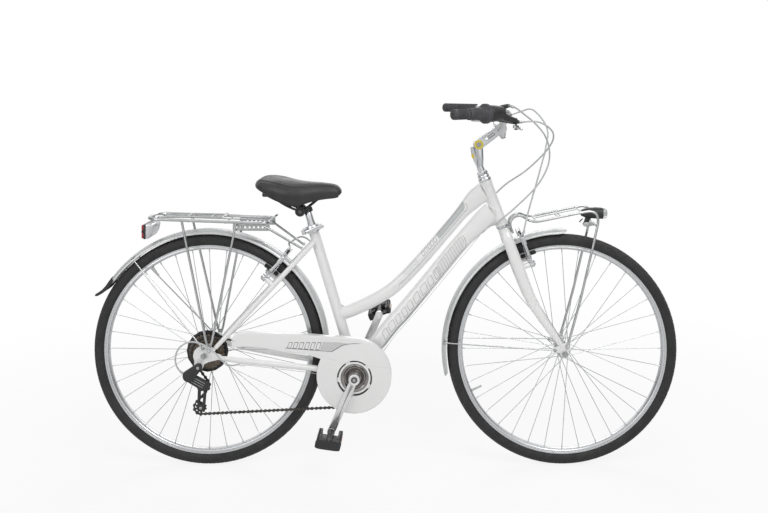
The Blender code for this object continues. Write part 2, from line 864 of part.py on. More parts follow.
def brake_bridge(along):
    return rod(stay(along, y=-36), stay(along, y=36), 7.0, sides=8)


BRIDGE_PLACE = FENDER_RADIUS + 19.0


def seat_stays():
    shapes = [brake_bridge(BRIDGE_PLACE)]
    cutters = [seat_cutter()]
    pivot = REAR_PAD - BRAKE_PIVOT_DROP
    for side in (RIGHT, LEFT):
        route = smooth(seat_stay_route(side), 105)
        shapes.append(oval_tube([(point, SEAT_STAY_DIAMETER, SEAT_STAY_DIAMETER) for point in route], 8))
        shapes += stud(
            stay(pivot, STAY_OFFSET, side * BRAKE_PIVOT_SPREAD),
            stay(pivot, REAR_ARM_BACK - ARM_THICKNESS / 2 - GAP, side * BRAKE_PIVOT_SPREAD),
            stay(pivot, REAR_ARM_BACK + ARM_THICKNESS / 2 + GAP + 3, side * BRAKE_PIVOT_SPREAD),
            side,
        )
        slot = tongue(side, GAP)
        cutters.append(slot)
    node("seat_stays", cut(union(shapes), cutters), "white_paint")


def headset():
    bore = bored(STEERER_DIAMETER / 2, 16)
    lower = ring(fork(0), STEER_UP, bore, 19.5, CROWN_HIGH + GAP, HEAD_LOW - GAP)
    node("lower_headset", lower, "chrome")
    low = HEAD_HIGH + GAP
    profile = (
        (bore, STEERER_HIGH),
        (15.0, STEERER_HIGH),
        (16.5, STEERER_HIGH - 2),
        (15.5, low + 18),
        (18.0, low + 15),
        (18.0, low + 10),
        (20.0, low + 9),
        (20.0, low),
        (bore, low),
    )
    node("upper_headset", turned(profile, fork(0), STEER_UP), "chrome")


BLADE_STATIONS = (
    (CROWN_LOW + 22, -38.0, 30.0, 30, 24),
    (CROWN_LOW + 2, -38.0, 41.0, 33, 23),
    (190, -41.0, 46.0, 37, 20),
    (131, -26.0, 48.0, 32, 18),
    (88, -18.0, 50.0, 26, 15),
    (42, -4.0, 52.0, 19, 12),
    (18, 0.0, 52.5, 16, 8),
)
FRONT_PLATE = FRONT_OVER_LOCKNUTS / 2 + DROPOUT_THICKNESS / 2
FRONT_RACK_EYE = (8.5, 24.0)
FRONT_FENDER_EYE = (-30.0, 12.0)
FRONT_END_OUTLINE = (
    (-8, -11),
    (8, -11),
    (13, 2),
    (15, 25),
    (8, 31),
    (-4, 32),
    (-14, 23),
    (-34, 17),
    (-36, 9),
    (-30, 6),
    (-13, 2),
)


def fork_body():
    """The steerer, the crown and the two blades with their ends, as they are welded into one."""
    steerer = STEERER_DIAMETER / 2
    bore = bored(QUILL_DIAMETER / 2, 16)
    profile = (
        (0, HEAD_LOW),
        (bore, HEAD_LOW),
        (bore, STEERER_HIGH - 2),
        (steerer, STEERER_HIGH - 2),
        (steerer, CROWN_LOW + 16),
        (0, CROWN_LOW + 16),
    )
    middle = CROWN_LOW + 16
    shapes = [
        turned(profile, fork(0), STEER_UP, closed=False),
        rod(fork(CROWN_LOW + 10), fork(CROWN_HIGH), 17.0, 16.0, sides=12),
        rod(fork(middle, y=-38), fork(middle, y=38), 14.5, sides=10),
    ]
    pivot = FRONT_PAD - BRAKE_PIVOT_DROP
    for side in (RIGHT, LEFT):
        stations = [(fork(a, b, side * y), depth, width) for a, b, y, depth, width in BLADE_STATIONS]
        shapes.append(oval_tube(stations, 8))
        shapes.append(plate([FRONT_END_OUTLINE], DROPOUT_THICKNESS, front(0, side * FRONT_PLATE, 0)))
        shapes += stud(
            fork(pivot, -30, side * BRAKE_PIVOT_SPREAD),
            fork(pivot, FRONT_ARM_AHEAD - ARM_THICKNESS / 2 - GAP, side * BRAKE_PIVOT_SPREAD),
            fork(pivot, FRONT_ARM_AHEAD + ARM_THICKNESS / 2 + GAP + 3, side * BRAKE_PIVOT_SPREAD),
            side,
        )
    node("fork", cut(union(shapes), [axle_cutter(FRONT_HUB, 80)]), "white_paint")


GUIDE_PULLEY = REAR_HUB + Vector((-10.2, -CHAIN_LINE, -96.0))
TENSION_PULLEY = REAR_HUB + Vector((-14.2, -CHAIN_LINE, -161.7))


def belt(wheels):
    """Places along a belt round (centre, radius, sense) wheels, each with the direction to its left."""
    found = []
    headings = []
    count = len(wheels)
    for index in range(count):
        centre, radius, sense = wheels[index]
        other, other_radius, other_sense = wheels[(index + 1) % count]
        run = other - centre
        lean = math.asin((radius * sense - other_radius * other_sense) / run.length)
        headings.append(math.atan2(run.z, run.x) + lean)
    for index in range(count):
        centre, radius, sense = wheels[index]
        start = headings[index - 1] - sense * math.pi / 2
        end = headings[index] - sense * math.pi / 2
        turn = (end - start) * sense % (2 * math.pi)
        steps = max(4, round(turn * radius / 12))
        for step in range(steps + 1):
            angle = start + sense * turn * step / steps
            out = Vector((math.cos(angle), 0, math.sin(angle)))
            found.append((centre + out * radius, out * -sense))
    return found


def drive_wheels():
    line = Y * -CHAIN_LINE
    return [
        (BRACKET + line, pitch_radius(CHAINRING_TEETH), -1),
        (TENSION_PULLEY, pitch_radius(PULLEY_TEETH), -1),
        (GUIDE_PULLEY, pitch_radius(PULLEY_TEETH), 1),
        (REAR_HUB + line, pitch_radius(SPROCKET_TEETH), -1),
    ]


def chain():
    path = belt(drive_wheels())
    outlines = []
    for offset in (CHAIN_HEIGHT / 2, -CHAIN_HEIGHT / 2):
        edge = [point + left * offset for point, left in path]
        outlines.append([(point.x - REAR_HUB.x, point.z - REAR_HUB.z) for point in edge])
    node("chain", plate(outlines, CHAIN_WIDTH, REAR_HUB - Y * CHAIN_LINE), "steel")


def pulley(name, centre):
    tip = pitch_radius(PULLEY_TEETH) - CHAIN_HEIGHT / 2 - GAP * 3
    outline = []
    for index in range(PULLEY_TEETH * 2):
        angle = math.pi * index / PULLEY_TEETH
        reach = tip if index % 2 else tip - 3.0
        outline.append((reach * math.cos(angle), reach * math.sin(angle)))
    node(name, plate([outline, circle(PULLEY_BORE, 10)], 5.0, centre), "black_plastic", centre)


PULLEY_AXLE = 2.6
PULLEY_BORE = bored(PULLEY_AXLE, 10)
CAGE_HALF = 5.6


def derailleur():
    hanger_face = -REAR_OVER_LOCKNUTS / 2 - DROPOUT_THICKNESS - GAP
    guide = (GUIDE_PULLEY.x - REAR_HUB.x, GUIDE_PULLEY.z - REAR_HUB.z)
    tension = (TENSION_PULLEY.x - REAR_HUB.x, TENSION_PULLEY.z - REAR_HUB.z)
    body = (-46.0, -60.0)
    at_hanger = rear(HANGER[0], hanger_face, HANGER[1])
    shapes = [
        rod(at_hanger, at_hanger - Y * 14, 8.0, sides=8),
        plate([hull(HANGER, body, 10, 12, 5)], 11, rear(0, hanger_face - 7.0, 0)),
        rod(rear(body[0], hanger_face - 6, body[1]), rear(guide[0] - 2, -60, guide[1] + 6), 8.0, sides=8),
        rod(rear(guide[0], -49.4, guide[1]), rear(guide[0], -68, guide[1]), 11.0, sides=8),
        rod(rear(body[0], hanger_face - 7, body[1]), rear(-60, hanger_face - 7, -49), 4.0, sides=8),
    ]
    for place in (-CHAIN_LINE - CAGE_HALF, -CHAIN_LINE + CAGE_HALF):
        shapes.append(plate([hull(guide, tension, 13, 11, 5)], 1.6, rear(0, place, 0)))
    for centre in (GUIDE_PULLEY, TENSION_PULLEY):
        half = CAGE_HALF + 1.6
        shapes.append(rod(centre - Y * half, centre + Y * half, PULLEY_AXLE, sides=8))
    node("derailleur", union(shapes), "black_plastic")
    pulley("guide_pulley", GUIDE_PULLEY)
    pulley("tension_pulley", TENSION_PULLEY)


GUARD_CENTRE = BRACKET + Vector((-1.6, 0, 5.9))
GUARD_RADIUS = 111.7
GUARD_OPENING = 52.3
GUARD_FACE = 60.0
GUARD_DEPTH = 20.0
GUARD_WALL = 1.5


def guard_outline(inset):
    """The outline of the disc and of the arm along the upper run of the chain, drawn in by the inset."""
    centre = (GUARD_CENTRE.x, GUARD_CENTRE.z)
    disc = circle(GUARD_RADIUS - inset, 22, centre, 90, -209)
    under = (BRACKET + Vector((-140.5, 0, 69.5 + inset)), rear(134.6, 0, 23.3 + inset))
    tail = (
        rear(84 + inset, 0, 19.5 + inset),
        rear(78 + inset, 0, 27),
        rear(84 + inset, 0, 54),
        rear(94 + inset, 0, 64.5 - inset),
    )
    top = (BRACKET + Vector((-83, 0, 124 - inset)),)
    points = [(point.x, point.z) for point in (*under, *tail, *top)]
    return [(x - GUARD_CENTRE.x, z - GUARD_CENTRE.z) for x, z in disc + points]


def chain_guard():
    """A white shell outside the chain, open at the back, with ways out for the chain and the stay."""
    deep = GUARD_DEPTH
    middle = GUARD_CENTRE - Y * (GUARD_FACE - deep / 2)
    hollow = plate([guard_outline(GUARD_WALL)], deep, middle + Y * GUARD_WALL)
    shell = cut(plate([guard_outline(0)], deep, middle), [hollow])
    opening = rod(GUARD_CENTRE - Y * (GUARD_FACE + 5), GUARD_CENTRE - Y * (GUARD_FACE - 5), GUARD_OPENING, sides=18)
    notch_y = -(GUARD_FACE - GUARD_WALL - 0.8 - deep / 2)
    notches = [
        block(bracket(-89, notch_y, -30), (128, deep, 152)),
        block(rear(80, notch_y, 38), (40, deep, 42)),
    ]
    shell = cut(cut(shell, [opening]), notches)
    arm = rod(rear(90, -59, 41), stay(88, -10, -59), 4.0, sides=8)
    stay_way = rod(stay(60, y=-65.5), stay(150, y=-56), SEAT_STAY_DIAMETER / 2 + GAP + 0.4, sides=8)
    node("chain_guard", cut(union([shell, arm]), [stay_way]), "white_paint")


def crank_direction():
    turn = math.radians(CRANK_ANGLE)
    return Vector((math.cos(turn), 0, math.sin(turn)))


def pedal_centre(side):
    return BRACKET + crank_direction() * CRANK_LENGTH * (1 if side == RIGHT else -1)


def crank_arm(side):
    """A tapered arm with its boss and the pedal's axle."""
    reach = crank_direction() * CRANK_LENGTH * (1 if side == RIGHT else -1)
    middle = side * (CRANK_INNER_FACE + CRANK_THICKNESS / 2)
    outer = CRANK_INNER_FACE + CRANK_THICKNESS
    end = outer + 2.0 + PEDAL_WIDTH - 8.0
    eye = pedal_centre(side)
    return [
        plate([hull((0, 0), (reach.x, reach.z), 14, 12)], CRANK_THICKNESS, BRACKET + Y * middle),
        rod(eye + Y * side * (CRANK_INNER_FACE - 0.5), eye + Y * side * (outer + 0.5), 16.0, sides=12),
        rod(BRACKET + Y * side * (CRANK_INNER_FACE + 1), BRACKET + Y * side * (outer + 3), 17.4, sides=14),
        rod(eye + Y * middle, eye + Y * side * end, PEDAL_AXLE_DIAMETER / 2, sides=8),
    ]


def cranks():
    spindle = SPINDLE_DIAMETER / 2
    socket = 10.0
    right = crank_arm(RIGHT)
    right += [
        rod(BRACKET - Y * (CRANK_INNER_FACE + 6), BRACKET + Y * (CRANK_INNER_FACE + socket - GAP), spindle, sides=12),
        rod(BRACKET - Y * (CHAIN_LINE - 3), BRACKET - Y * (CRANK_INNER_FACE + 4), 17.0, sides=12),
        toothed(CHAINRING_TEETH, 3.0, BRACKET, -CHAIN_LINE, 15.0),
    ]
    node("right_crank", union(right), "chrome", BRACKET)
    hole = rod(BRACKET, BRACKET + Y * (CRANK_INNER_FACE + socket), spindle + GAP, sides=20)
    left = cut(union(crank_arm(LEFT)), [hole])
    node("left_crank", left, "chrome", BRACKET)
    for name, side in (("right_pedal", RIGHT), ("left_pedal", LEFT)):
        pedal(name, side)


def pedal(name, side):
    """A flat platform with two windows, turning on its axle."""
    start = CRANK_INNER_FACE + CRANK_THICKNESS + 2.0
    tilt = PEDAL_TILTS[side]
    middle = pedal_centre(side) + Y * side * (start + PEDAL_WIDTH / 2)
    body = block(middle, (PEDAL_LENGTH, PEDAL_WIDTH, PEDAL_THICKNESS), tilt)
    axis = Matrix.Rotation(math.radians(tilt), 3, Y)
    cutters = [
        rod(pedal_centre(side) + Y * side * (start - 1), middle + Y * side * (PEDAL_WIDTH / 2 - 6), PEDAL_BORE, sides=10)
    ]
    for place in (-1, 1):
        offset = axis @ Vector((place * 20.0, 0, 0))
        cutters.append(block(middle + offset, (20, PEDAL_WIDTH - 22, PEDAL_THICKNESS + 4), tilt))
    node(name, cut(body, cutters), "black_plastic", pedal_centre(side))


PEDAL_BORE = bored(PEDAL_AXLE_DIAMETER / 2, 10)


def arc_shell(hub, start, end, steps=12):
    """A fender's curved sheet about an axle, between two angles from forward."""
    mesh = bpy.data.meshes.new("section")
    points = []
    for index in range(5):
        lean = math.radians(45 * (index - 2))
        radius = FENDER_RADIUS - FENDER_WALL / 2 - FENDER_CROWN * (1 - math.cos(lean))
        points.append((radius * MM, 0, FENDER_HALF_WIDTH * math.sin(lean) * MM))
    mesh.from_pydata(points, [(index, index + 1) for index in range(4)], [])
    obj = new_object("fender", mesh)
    screw = obj.modifiers.new("Screw", "SCREW")
    screw.angle = math.radians(end - start)
    screw.steps = steps
    screw.render_steps = steps
    solidify = obj.modifiers.new("Solidify", "SOLIDIFY")
    solidify.thickness = FENDER_WALL * MM
    solidify.offset = 0
    solidify.use_even_offset = True
    turn = math.radians(end)
    ahead = Vector((math.cos(turn), 0, math.sin(turn)))
    place = Matrix((ahead, Y.cross(ahead), Y)).transposed().to_4x4()
    place.translation = hub * MM
    obj.matrix_world = place
    return as_mesh(obj)


REAR_FENDER_START = -3.0
REAR_FENDER_END = 147.5
REAR_STAY_ANGLE = 129.0
FRONT_FENDER_START = 88.0
FRONT_FENDER_END = 192.5
FRONT_STAY_ANGLE = 176.0
STAY_WIRE = 2.2


def fender_stay(hub, angle, eye, face, side):
    """A wire from the edge of the fender to its eye beside the fork end."""
    edge = FENDER_RADIUS - FENDER_CROWN + 3
    beside = side * (face + GAP + STAY_WIRE)
    end = hub + Vector((eye[0], beside, eye[1]))
    top = around(hub, edge, angle, side * (FENDER_HALF_WIDTH - 3))
    bend = around(hub, edge - 14, angle, side * (FENDER_HALF_WIDTH + 4))
    before = end + (bend - end).normalized() * 14
    before.y = beside
    return [
        tube([top, bend, before, end], STAY_WIRE, 0),
        rod(end - Y * side * STAY_WIRE, end + Y * side * STAY_WIRE, 5.0, sides=6),
    ]


def rear_fender():
    shapes = [arc_shell(REAR_HUB, REAR_FENDER_START, REAR_FENDER_END)]
    tip = around(REAR_HUB, FENDER_RADIUS - 2, REAR_FENDER_END)
    shapes.append(block(tip + Vector((-15, 0, -16)), (62, 40, 3), -46))
    face = REAR_OVER_LOCKNUTS / 2 + DROPOUT_THICKNESS
    for side in (RIGHT, LEFT):
        shapes += fender_stay(REAR_HUB, REAR_STAY_ANGLE, FENDER_EYE, face, side)
    shapes.append(rod(stay(FENDER_RADIUS - 5), stay(BRIDGE_PLACE - 7 - GAP), 6.0, sides=8))
    node("rear_fender", union(shapes), "silver_paint")


def front_fender():
    shapes = [arc_shell(FRONT_HUB, FRONT_FENDER_START, FRONT_FENDER_END, 8)]
    face = FRONT_OVER_LOCKNUTS / 2 + DROPOUT_THICKNESS
    for side in (RIGHT, LEFT):
        shapes += fender_stay(FRONT_HUB, FRONT_STAY_ANGLE, FRONT_FENDER_EYE, face, side)
    shapes.append(rod(fork(FENDER_RADIUS - 7), fork(CROWN_LOW + 1.5 - GAP), 7.0, sides=8))
    node("front_fender", union(shapes), "silver_paint", fork(0))


RAIL_HALF = 58.0
RAIL_FRONT = (191.0, 390.0)
RAIL_REAR = (-176.0, 403.0)
FLAP_HINGE = -145.0
FLAP_HALF = 31.0


def rail_height(x):
    share = (x - RAIL_REAR[0]) / (RAIL_FRONT[0] - RAIL_REAR[0])
    return RAIL_REAR[1] + (RAIL_FRONT[1] - RAIL_REAR[1]) * share


def on_rail(x, y, above=0.0):
    return rear(x, y, rail_height(x) + above)


def rear_rack():
    """A tube hoop with wires across it, plates under its front, struts to the stays and legs to the hub."""
    rail = RACK_TUBE / 2
    wire = RACK_WIRE / 2
    hoop = []
    for side in (RIGHT, LEFT):
        half = [
            on_rail(RAIL_FRONT[0], side * (RAIL_HALF - 10)),
            on_rail(150, side * RAIL_HALF),
            on_rail(-146, side * RAIL_HALF),
            on_rail(-169, side * (RAIL_HALF - 12)),
            on_rail(RAIL_REAR[0], side * (RAIL_HALF - 30)),
        ]
        hoop += half[:: -side]
    shapes = [tube(hoop, rail, 1)]
    ends = on_rail(RAIL_FRONT[0], RAIL_HALF - 10), on_rail(RAIL_FRONT[0], 10 - RAIL_HALF)
    shapes.append(rod(*ends, rail, sides=6))
    for x in (60.0, -50.0):
        shapes.append(rod(on_rail(x, -RAIL_HALF, -3), on_rail(x, RAIL_HALF, -3), wire, sides=5))
    shapes.append(rod(on_rail(FLAP_HINGE, -RAIL_HALF), on_rail(FLAP_HINGE, RAIL_HALF), wire, sides=8))
    face = REAR_OVER_LOCKNUTS / 2 + DROPOUT_THICKNESS + GAP
    lamp_gap = rear(RAIL_REAR[0] + 2, 0, (RAIL_REAR[1] + LAMP_TOP) / 2)
    shapes.append(block(lamp_gap, (3, 44, RAIL_REAR[1] - LAMP_TOP - GAP * 2)))
    for side in (RIGHT, LEFT):
        leg = side * (face + 4)
        eye = rear(RACK_EYE[0], leg, RACK_EYE[1])
        shapes.append(tube([on_rail(-70, side * RAIL_HALF), rear(8, leg, 40), eye], 4.0, 1))
        shapes.append(tube([on_rail(93, side * RAIL_HALF), rear(24, leg, 42), eye], 4.0, 1))
        shapes.append(rod(eye - Y * side * 4, eye + Y * side * 4, 6.0, sides=8))
        low = rear_strut_seat(side)
        shapes.append(rod(on_rail(184, side * (RAIL_HALF - 4), -14), low, 4.0, sides=6))
        bar_place = rear(137, side * (RAIL_HALF - 4), rail_height(137) - 13)
        outline = [(-55, -11), (-55, 11), (55, 9), (55, -12)]
        holes = [circle(3.6, 5, (x, -1)) for x in (-36, -12, 12, 36)]
        shapes.append(plate([outline, *holes], 2.6, bar_place))
    node("rear_rack", union(shapes), "silver_paint")


def rear_strut_seat(side):
    """Where a strut of the rack rests on the back of the seat stay."""
    return stay(421, STAY_OFFSET + SEAT_STAY_DIAMETER / 2 + 4.0 + GAP, side * 28.5)


LAMP_TOP = 384.5
LAMP_BOTTOM = 338.0


def tail_light():
    middle = rear(-175.5, 0, (LAMP_TOP + LAMP_BOTTOM) / 2)
    outline = [(-21, -20), (-21, 18), (-17, 23), (14, 23), (22, 14), (18, -17), (12, -23), (-16, -23)]
    node("tail_light", plate([outline], 78, middle), "red_lens")


def rack_flap():
    """The sprung wire clip, hinged on a cross wire near the back of the rack."""
    wire = RACK_WIRE / 2
    lift = 3.4
    hinge = on_rail(FLAP_HINGE, 0)
    route = []
    for side in (RIGHT, LEFT):
        half = [
            on_rail(FLAP_HINGE + 4, side * FLAP_HALF, lift),
            on_rail(35, side * FLAP_HALF, lift),
            on_rail(50, side * (FLAP_HALF - 3), lift + 7),
            on_rail(53, side * (FLAP_HALF - 9), lift + 8),
        ]
        route += half if side == RIGHT else half[::-1]
    shapes = [tube(route, wire, 1)]
    for side in (RIGHT, LEFT):
        place = side * FLAP_HALF
        shapes.append(ring(hinge, Y, wire + GAP, wire + 3.2, place - 4, place + 4, 8))
    node("rack_flap", union(shapes), "silver_paint", hinge)


SEAT_TOP = seat(SEAT_TUBE_LENGTH + SEATPOST_VISIBLE)
SEAT_BACK = Vector((-SEAT_UP.z, 0, SEAT_UP.x))
SADDLE_STATIONS = (
    (-152, 76, 62, 46),
    (-128, 98, 44, 90),
    (-95, 97, 39, 98),
    (-42, 87, 36, 82),
    (15, 79, 36, 44),
    (60, 76, 38, 28),
    (92, 70, 40, 24),
    (106, 60, 43, 16),
)
SADDLE_SECTION = (
    (0.0, 0.97),
    (0.5, 1.0),
    (0.9, 0.84),
    (1.0, 0.5),
    (0.84, 0.0),
    (0.0, 0.0),
)


def saddle(x, y, z):
    return SEAT_TOP + Vector((x, y, z))


def saddle_cushion():
    """A crowned pad with sides drawn in towards its base, from a coarse cage."""
    rings = []
    for x, top, bottom, half in SADDLE_STATIONS:
        left = [saddle(x, half * y, bottom + (top - bottom) * z) for y, z in SADDLE_SECTION]
        right = [saddle(x, -half * y, bottom + (top - bottom) * z) for y, z in SADDLE_SECTION[-2:0:-1]]
        rings.append(left + right)
    cage = loft(rings)
    smoother = cage.modifiers.new("Subdivision", "SUBSURF")
    smoother.levels = 1
    smoother.render_levels = 1
    node("saddle_cushion", as_mesh(cage), "black_cover")


CLAMP_AXIS = Vector((-17.0, 0, -8.5))


def saddle_base():
    """The shell under the cushion with its two rails and the clamp on the post."""
    rings = []
    for x, _, bottom, half in SADDLE_STATIONS[1:-1]:
        wide, low = half * 0.8, bottom - 6
        rings.append(
            [
                saddle(x, wide, bottom - 0.5),
                saddle(x, wide - 2, low),
                saddle(x, 2 - wide, low),
                saddle(x, -wide, bottom - 0.5),
            ]
        )
    shapes = [loft(rings)]
    post_bore = bored(SEATPOST_DIAMETER / 2, 16)
    for side in (RIGHT, LEFT):
        route = smooth(
            [
                saddle(84, side * 9, 33),
                saddle(60, side * 12, 22),
                saddle(20, side * 20, 2),
                saddle(-30, side * 22, -3),
                saddle(-70, side * 24, 8),
                saddle(-118, side * 32, 36.5),
            ],
            45,
        )
        shapes.append(tube(route, 3.6, 0))
    middle = SEAT_TOP + CLAMP_AXIS
    shapes.append(rod(middle - Y * 27, middle + Y * 27, 13.0, sides=12))
    shapes.append(rod(SEAT_TOP - SEAT_UP * 22, SEAT_TOP - SEAT_UP * 1, post_bore + 4, sides=12))
    hole = rod(SEAT_TOP - SEAT_UP * 40, SEAT_TOP + SEAT_UP * GAP, post_bore, sides=16)
    node("saddle_base", cut(union(shapes), [hole]), "black_plastic")


def seatpost():
    node("seatpost", rod(SEAT_TOP - SEAT_UP * SEATPOST_LENGTH, SEAT_TOP, SEATPOST_DIAMETER / 2, sides=14), "chrome")


RELEASE_BEHIND = 25.0
RELEASE_BELOW = 4.0
RELEASE_AXIS = seat(SEAT_TUBE_LENGTH - RELEASE_BELOW, -27.6) + SEAT_BACK * RELEASE_BEHIND


def seat_clamp():
    """The collar round the top of the seat tube, its ears and the bolt of the quick release."""
    tube_bore = SEAT_TUBE_DIAMETER / 2 + GAP
    post_bore = bored(SEATPOST_DIAMETER / 2, 16)
    low, lip, high = SEAT_TUBE_LENGTH - 14, SEAT_TUBE_LENGTH + GAP, SEAT_TUBE_LENGTH + 7
    outer = tube_bore + 4.4
    profile = ((outer, high), (outer, low), (tube_bore, low), (tube_bore, lip), (post_bore, lip), (post_bore, high))
    bolt = seat(SEAT_TUBE_LENGTH - RELEASE_BELOW) + SEAT_BACK * RELEASE_BEHIND
    shapes = [
        turned(profile, BRACKET, SEAT_UP),
        block(bolt + SEAT_BACK, (14, 18, 14), 16.7),
        rod(bolt - Y * 20.3, bolt + Y * 14, 4.0, sides=8),
        rod(bolt + Y * 12, bolt + Y * 18, 7.0, sides=8),
    ]
    node("seat_clamp", union(shapes), "chrome")
    route = [RELEASE_AXIS, RELEASE_AXIS + Vector((18, -3, 6)), RELEASE_AXIS + Vector((40, -5, 14)), RELEASE_AXIS + Vector((60, -4, 22))]
    lever = [
        rod(RELEASE_AXIS - SEAT_UP * 7, RELEASE_AXIS + SEAT_UP * 7, 7.0, sides=10),
        oval_tube([(point, 12, 5) for point in route], 6),
    ]
    node("seat_quick_release", union(lever), "chrome", RELEASE_AXIS)


STEM_PIVOT = fork(STEERER_HIGH) + Vector((-8.6, 0, 78.1))
BAR_BORE = bored(BAR_DIAMETER / 2, 12)
STEM_HEAD_HALF = 9.0


def stem():
    """The quill in the steerer, with its head between the cheeks of the arm that holds the bar."""
    quill = QUILL_DIAMETER / 2
    shapes = [
        rod(fork(STEERER_HIGH - 110), fork(STEERER_HIGH + 14), quill, sides=14),
        rod(fork(STEERER_HIGH + 4), STEM_PIVOT, quill - 1.5, 15.5, sides=12),
        rod(STEM_PIVOT - Y * 13, STEM_PIVOT + Y * 13, 16.0, sides=14),
    ]
    slot_cutters = [
        rod(STEM_PIVOT + Y * side * STEM_HEAD_HALF, STEM_PIVOT + Y * side * 60, 21.0, sides=12) for side in (RIGHT, LEFT)
    ]
    bolts = [rod(STEM_PIVOT - Y * 22, STEM_PIVOT + Y * 22, 5.0, sides=8)]
    body = union([cut(union(shapes), slot_cutters), *bolts])
    node("quill_stem", body, "chrome", fork(0))
    reach = BAR_CENTRE - STEM_PIVOT
    arm = union(
        [
            plate([hull((0, 0), (reach.x, reach.z), 16, 20, 6)], 38, STEM_PIVOT),
            rod(BAR_CENTRE - Y * 23, BAR_CENTRE + Y * 23, 22.0, sides=12),
            rod(BAR_CENTRE + Vector((8, 0, -18)), BAR_CENTRE + Vector((12, 0, -31)), 7.0, sides=10),
        ]
    )
    cutters = [
        rod(STEM_PIVOT - Y * (STEM_HEAD_HALF + GAP), STEM_PIVOT + Y * (STEM_HEAD_HALF + GAP), 22.0, sides=14),
        rod(STEM_PIVOT - Y * 40, STEM_PIVOT + Y * 40, bored(5.0, 10), sides=10),
        rod(BAR_CENTRE - Y * 60, BAR_CENTRE + Y * 60, BAR_BORE, sides=12),
    ]
    node("stem_arm", cut(arm, cutters), "chrome", fork(0))


def bar_half(side):
    bend = [
        bar(0, side * 35, 0),
        bar(-3, side * 70, 7),
        bar(-1, side * 120, 33),
        bar(1, side * 165, 51),
        bar(0, side * 178, 53.4),
        bar(-4, side * 185.5, 54),
        grip_start(side),
    ]
    return smooth(bend, 28) + [grip_start(side) + grip_direction(side) * (GRIP_LENGTH - 3)]


def bar_span(side, across):
    """The middle and the direction of the bar's straight piece that lies nearest to this distance across."""
    points = bar_half(side)
    spans = list(zip(points, points[1:]))
    low, high = min(spans, key=lambda span: abs(abs(span[0].y + span[1].y) / 2 - across))
    return low.lerp(high, 0.5), (high - low).normalized()


def handlebar():
    points = bar_half(RIGHT)[::-1] + bar_half(LEFT)
    node("handlebar", tube(points, BAR_DIAMETER / 2, 2), "aluminium", fork(0))


SHORT_GRIP_START = 131.0
LONG_GRIP_START = 55.0
FLANGE_START = 62.0


def grip(name, side, start):
    radius = GRIP_DIAMETER / 2
    end = GRIP_LENGTH
    cap = end - 3 + GAP
    profile = ((0, end), (radius - 2, end), (radius, end - 3), (radius, start), (BAR_BORE, start), (BAR_BORE, cap), (0, cap))
    node(name, turned(profile, grip_start(side), grip_direction(side), 12, closed=False), "grip_rubber", fork(0))


def twist_shifter():
    """The turning sleeve with its flange, next to the short grip."""
    start, end = FLANGE_START, SHORT_GRIP_START - GAP * 2
    profile = ((16.5, end), (17.5, start + 14), (28, start + 12), (28, start + 2), (20, start), (BAR_BORE, start), (BAR_BORE, end))
    place = grip_start(RIGHT)
    node("twist_shifter", turned(profile, place, grip_direction(RIGHT), 12), "grip_rubber", place)


LEVER_SHIFT = 166.0
LEVER_PIVOT = (27.0, 172.0, 16.0)
LEVER_PIN = 3.0


def lever_pivot(side):
    return bar(LEVER_PIVOT[0], side * LEVER_PIVOT[1], LEVER_PIVOT[2])


def lever_bracket(name, side):
    """The clamp on the bar with the body of the brake lever and, on the right, the housing of the shifter."""
    centre, along = bar_span(side, 150.0)
    pivot = lever_pivot(side)
    body = [(bar(-28, side * LEVER_SHIFT, 34), 12, 20), (bar(0, side * LEVER_SHIFT, 31.5), 14, 24), (bar(37, side * LEVER_SHIFT, 27.5), 13, 20)]
    shapes = [
        turned(((0, 8), (16.5, 8), (16.5, -8), (0, -8)), centre, along, 12, closed=False),
        oval_tube(body, 8),
        rod(pivot + Z * 13, pivot - Z * 10.2, LEVER_PIN, sides=8),
        rod(pivot - Z * 7.2, pivot - Z * 10.2, LEVER_PIN + 2.5, sides=8),
    ]
    if side == RIGHT:
        profile = ((16, FLANGE_START - GAP), (22, 14), (19, 7), (BAR_BORE, 7), (BAR_BORE, FLANGE_START - GAP))
        shapes.append(turned(profile, grip_start(side), grip_direction(side), 12))
        housing = grip_start(side) + grip_direction(side) * 12
        shapes.append(rod(bar(3, side * 170, 30), housing - Z * 17, 6.0, sides=8))
    bore = turned(((0, 26), (BAR_BORE, 26), (BAR_BORE, -26), (0, -26)), centre, along, 12, closed=False)
    node(name, cut(union(shapes), [bore]), "black_plastic", fork(0))


def brake_lever(name, side, blade):
    """A lever whose head turns on the pin under the bracket."""
    pivot = lever_pivot(side)
    head = rod(pivot - Z * 6.2, pivot + Z * 3.2, 9.0, sides=10)
    arm = loft_blade([pivot - Z * 1.5] + blade)
    hole = rod(pivot - Z * 20, pivot + Z * 20, bored(LEVER_PIN, 10), sides=10)
    node(name, cut(union([head, arm]), [hole]), "black_plastic", pivot)


def loft_blade(points):
    """A blade through points, 10 mm tall and 9 mm thick, rounded at its end."""
    rings = []
    for index, point in enumerate(points):
        ahead = points[min(index + 1, len(points) - 1)]
        behind = points[max(index - 1, 0)]
        along = (ahead - behind).normalized()
        across = along.cross(Z).normalized()
        size = 0.6 if index == len(points) - 1 else 1
        rings.append(
            [
                point + across * math.cos(turn) * 4.5 * size + Z * math.sin(turn) * 5.0 * size
                for turn in (2 * math.pi * (step + 0.5) / 6 for step in range(6))
            ]
        )
    return loft(rings)


def brake_levers():
    right = lever_pivot(RIGHT)
    blade = [right + Vector(step) for step in ((2, -24, -2), (4, -52, -3), (5, -78, -3), (3, -95, -4))]
    brake_lever("right_brake_lever", RIGHT, blade)
    left = lever_pivot(LEFT)
    blade = [left + Vector(step) for step in ((-2, 20, -2), (-22, 38, -3), (-60, 64, -4), (-96, 88, -5))]
    brake_lever("left_brake_lever", LEFT, blade)


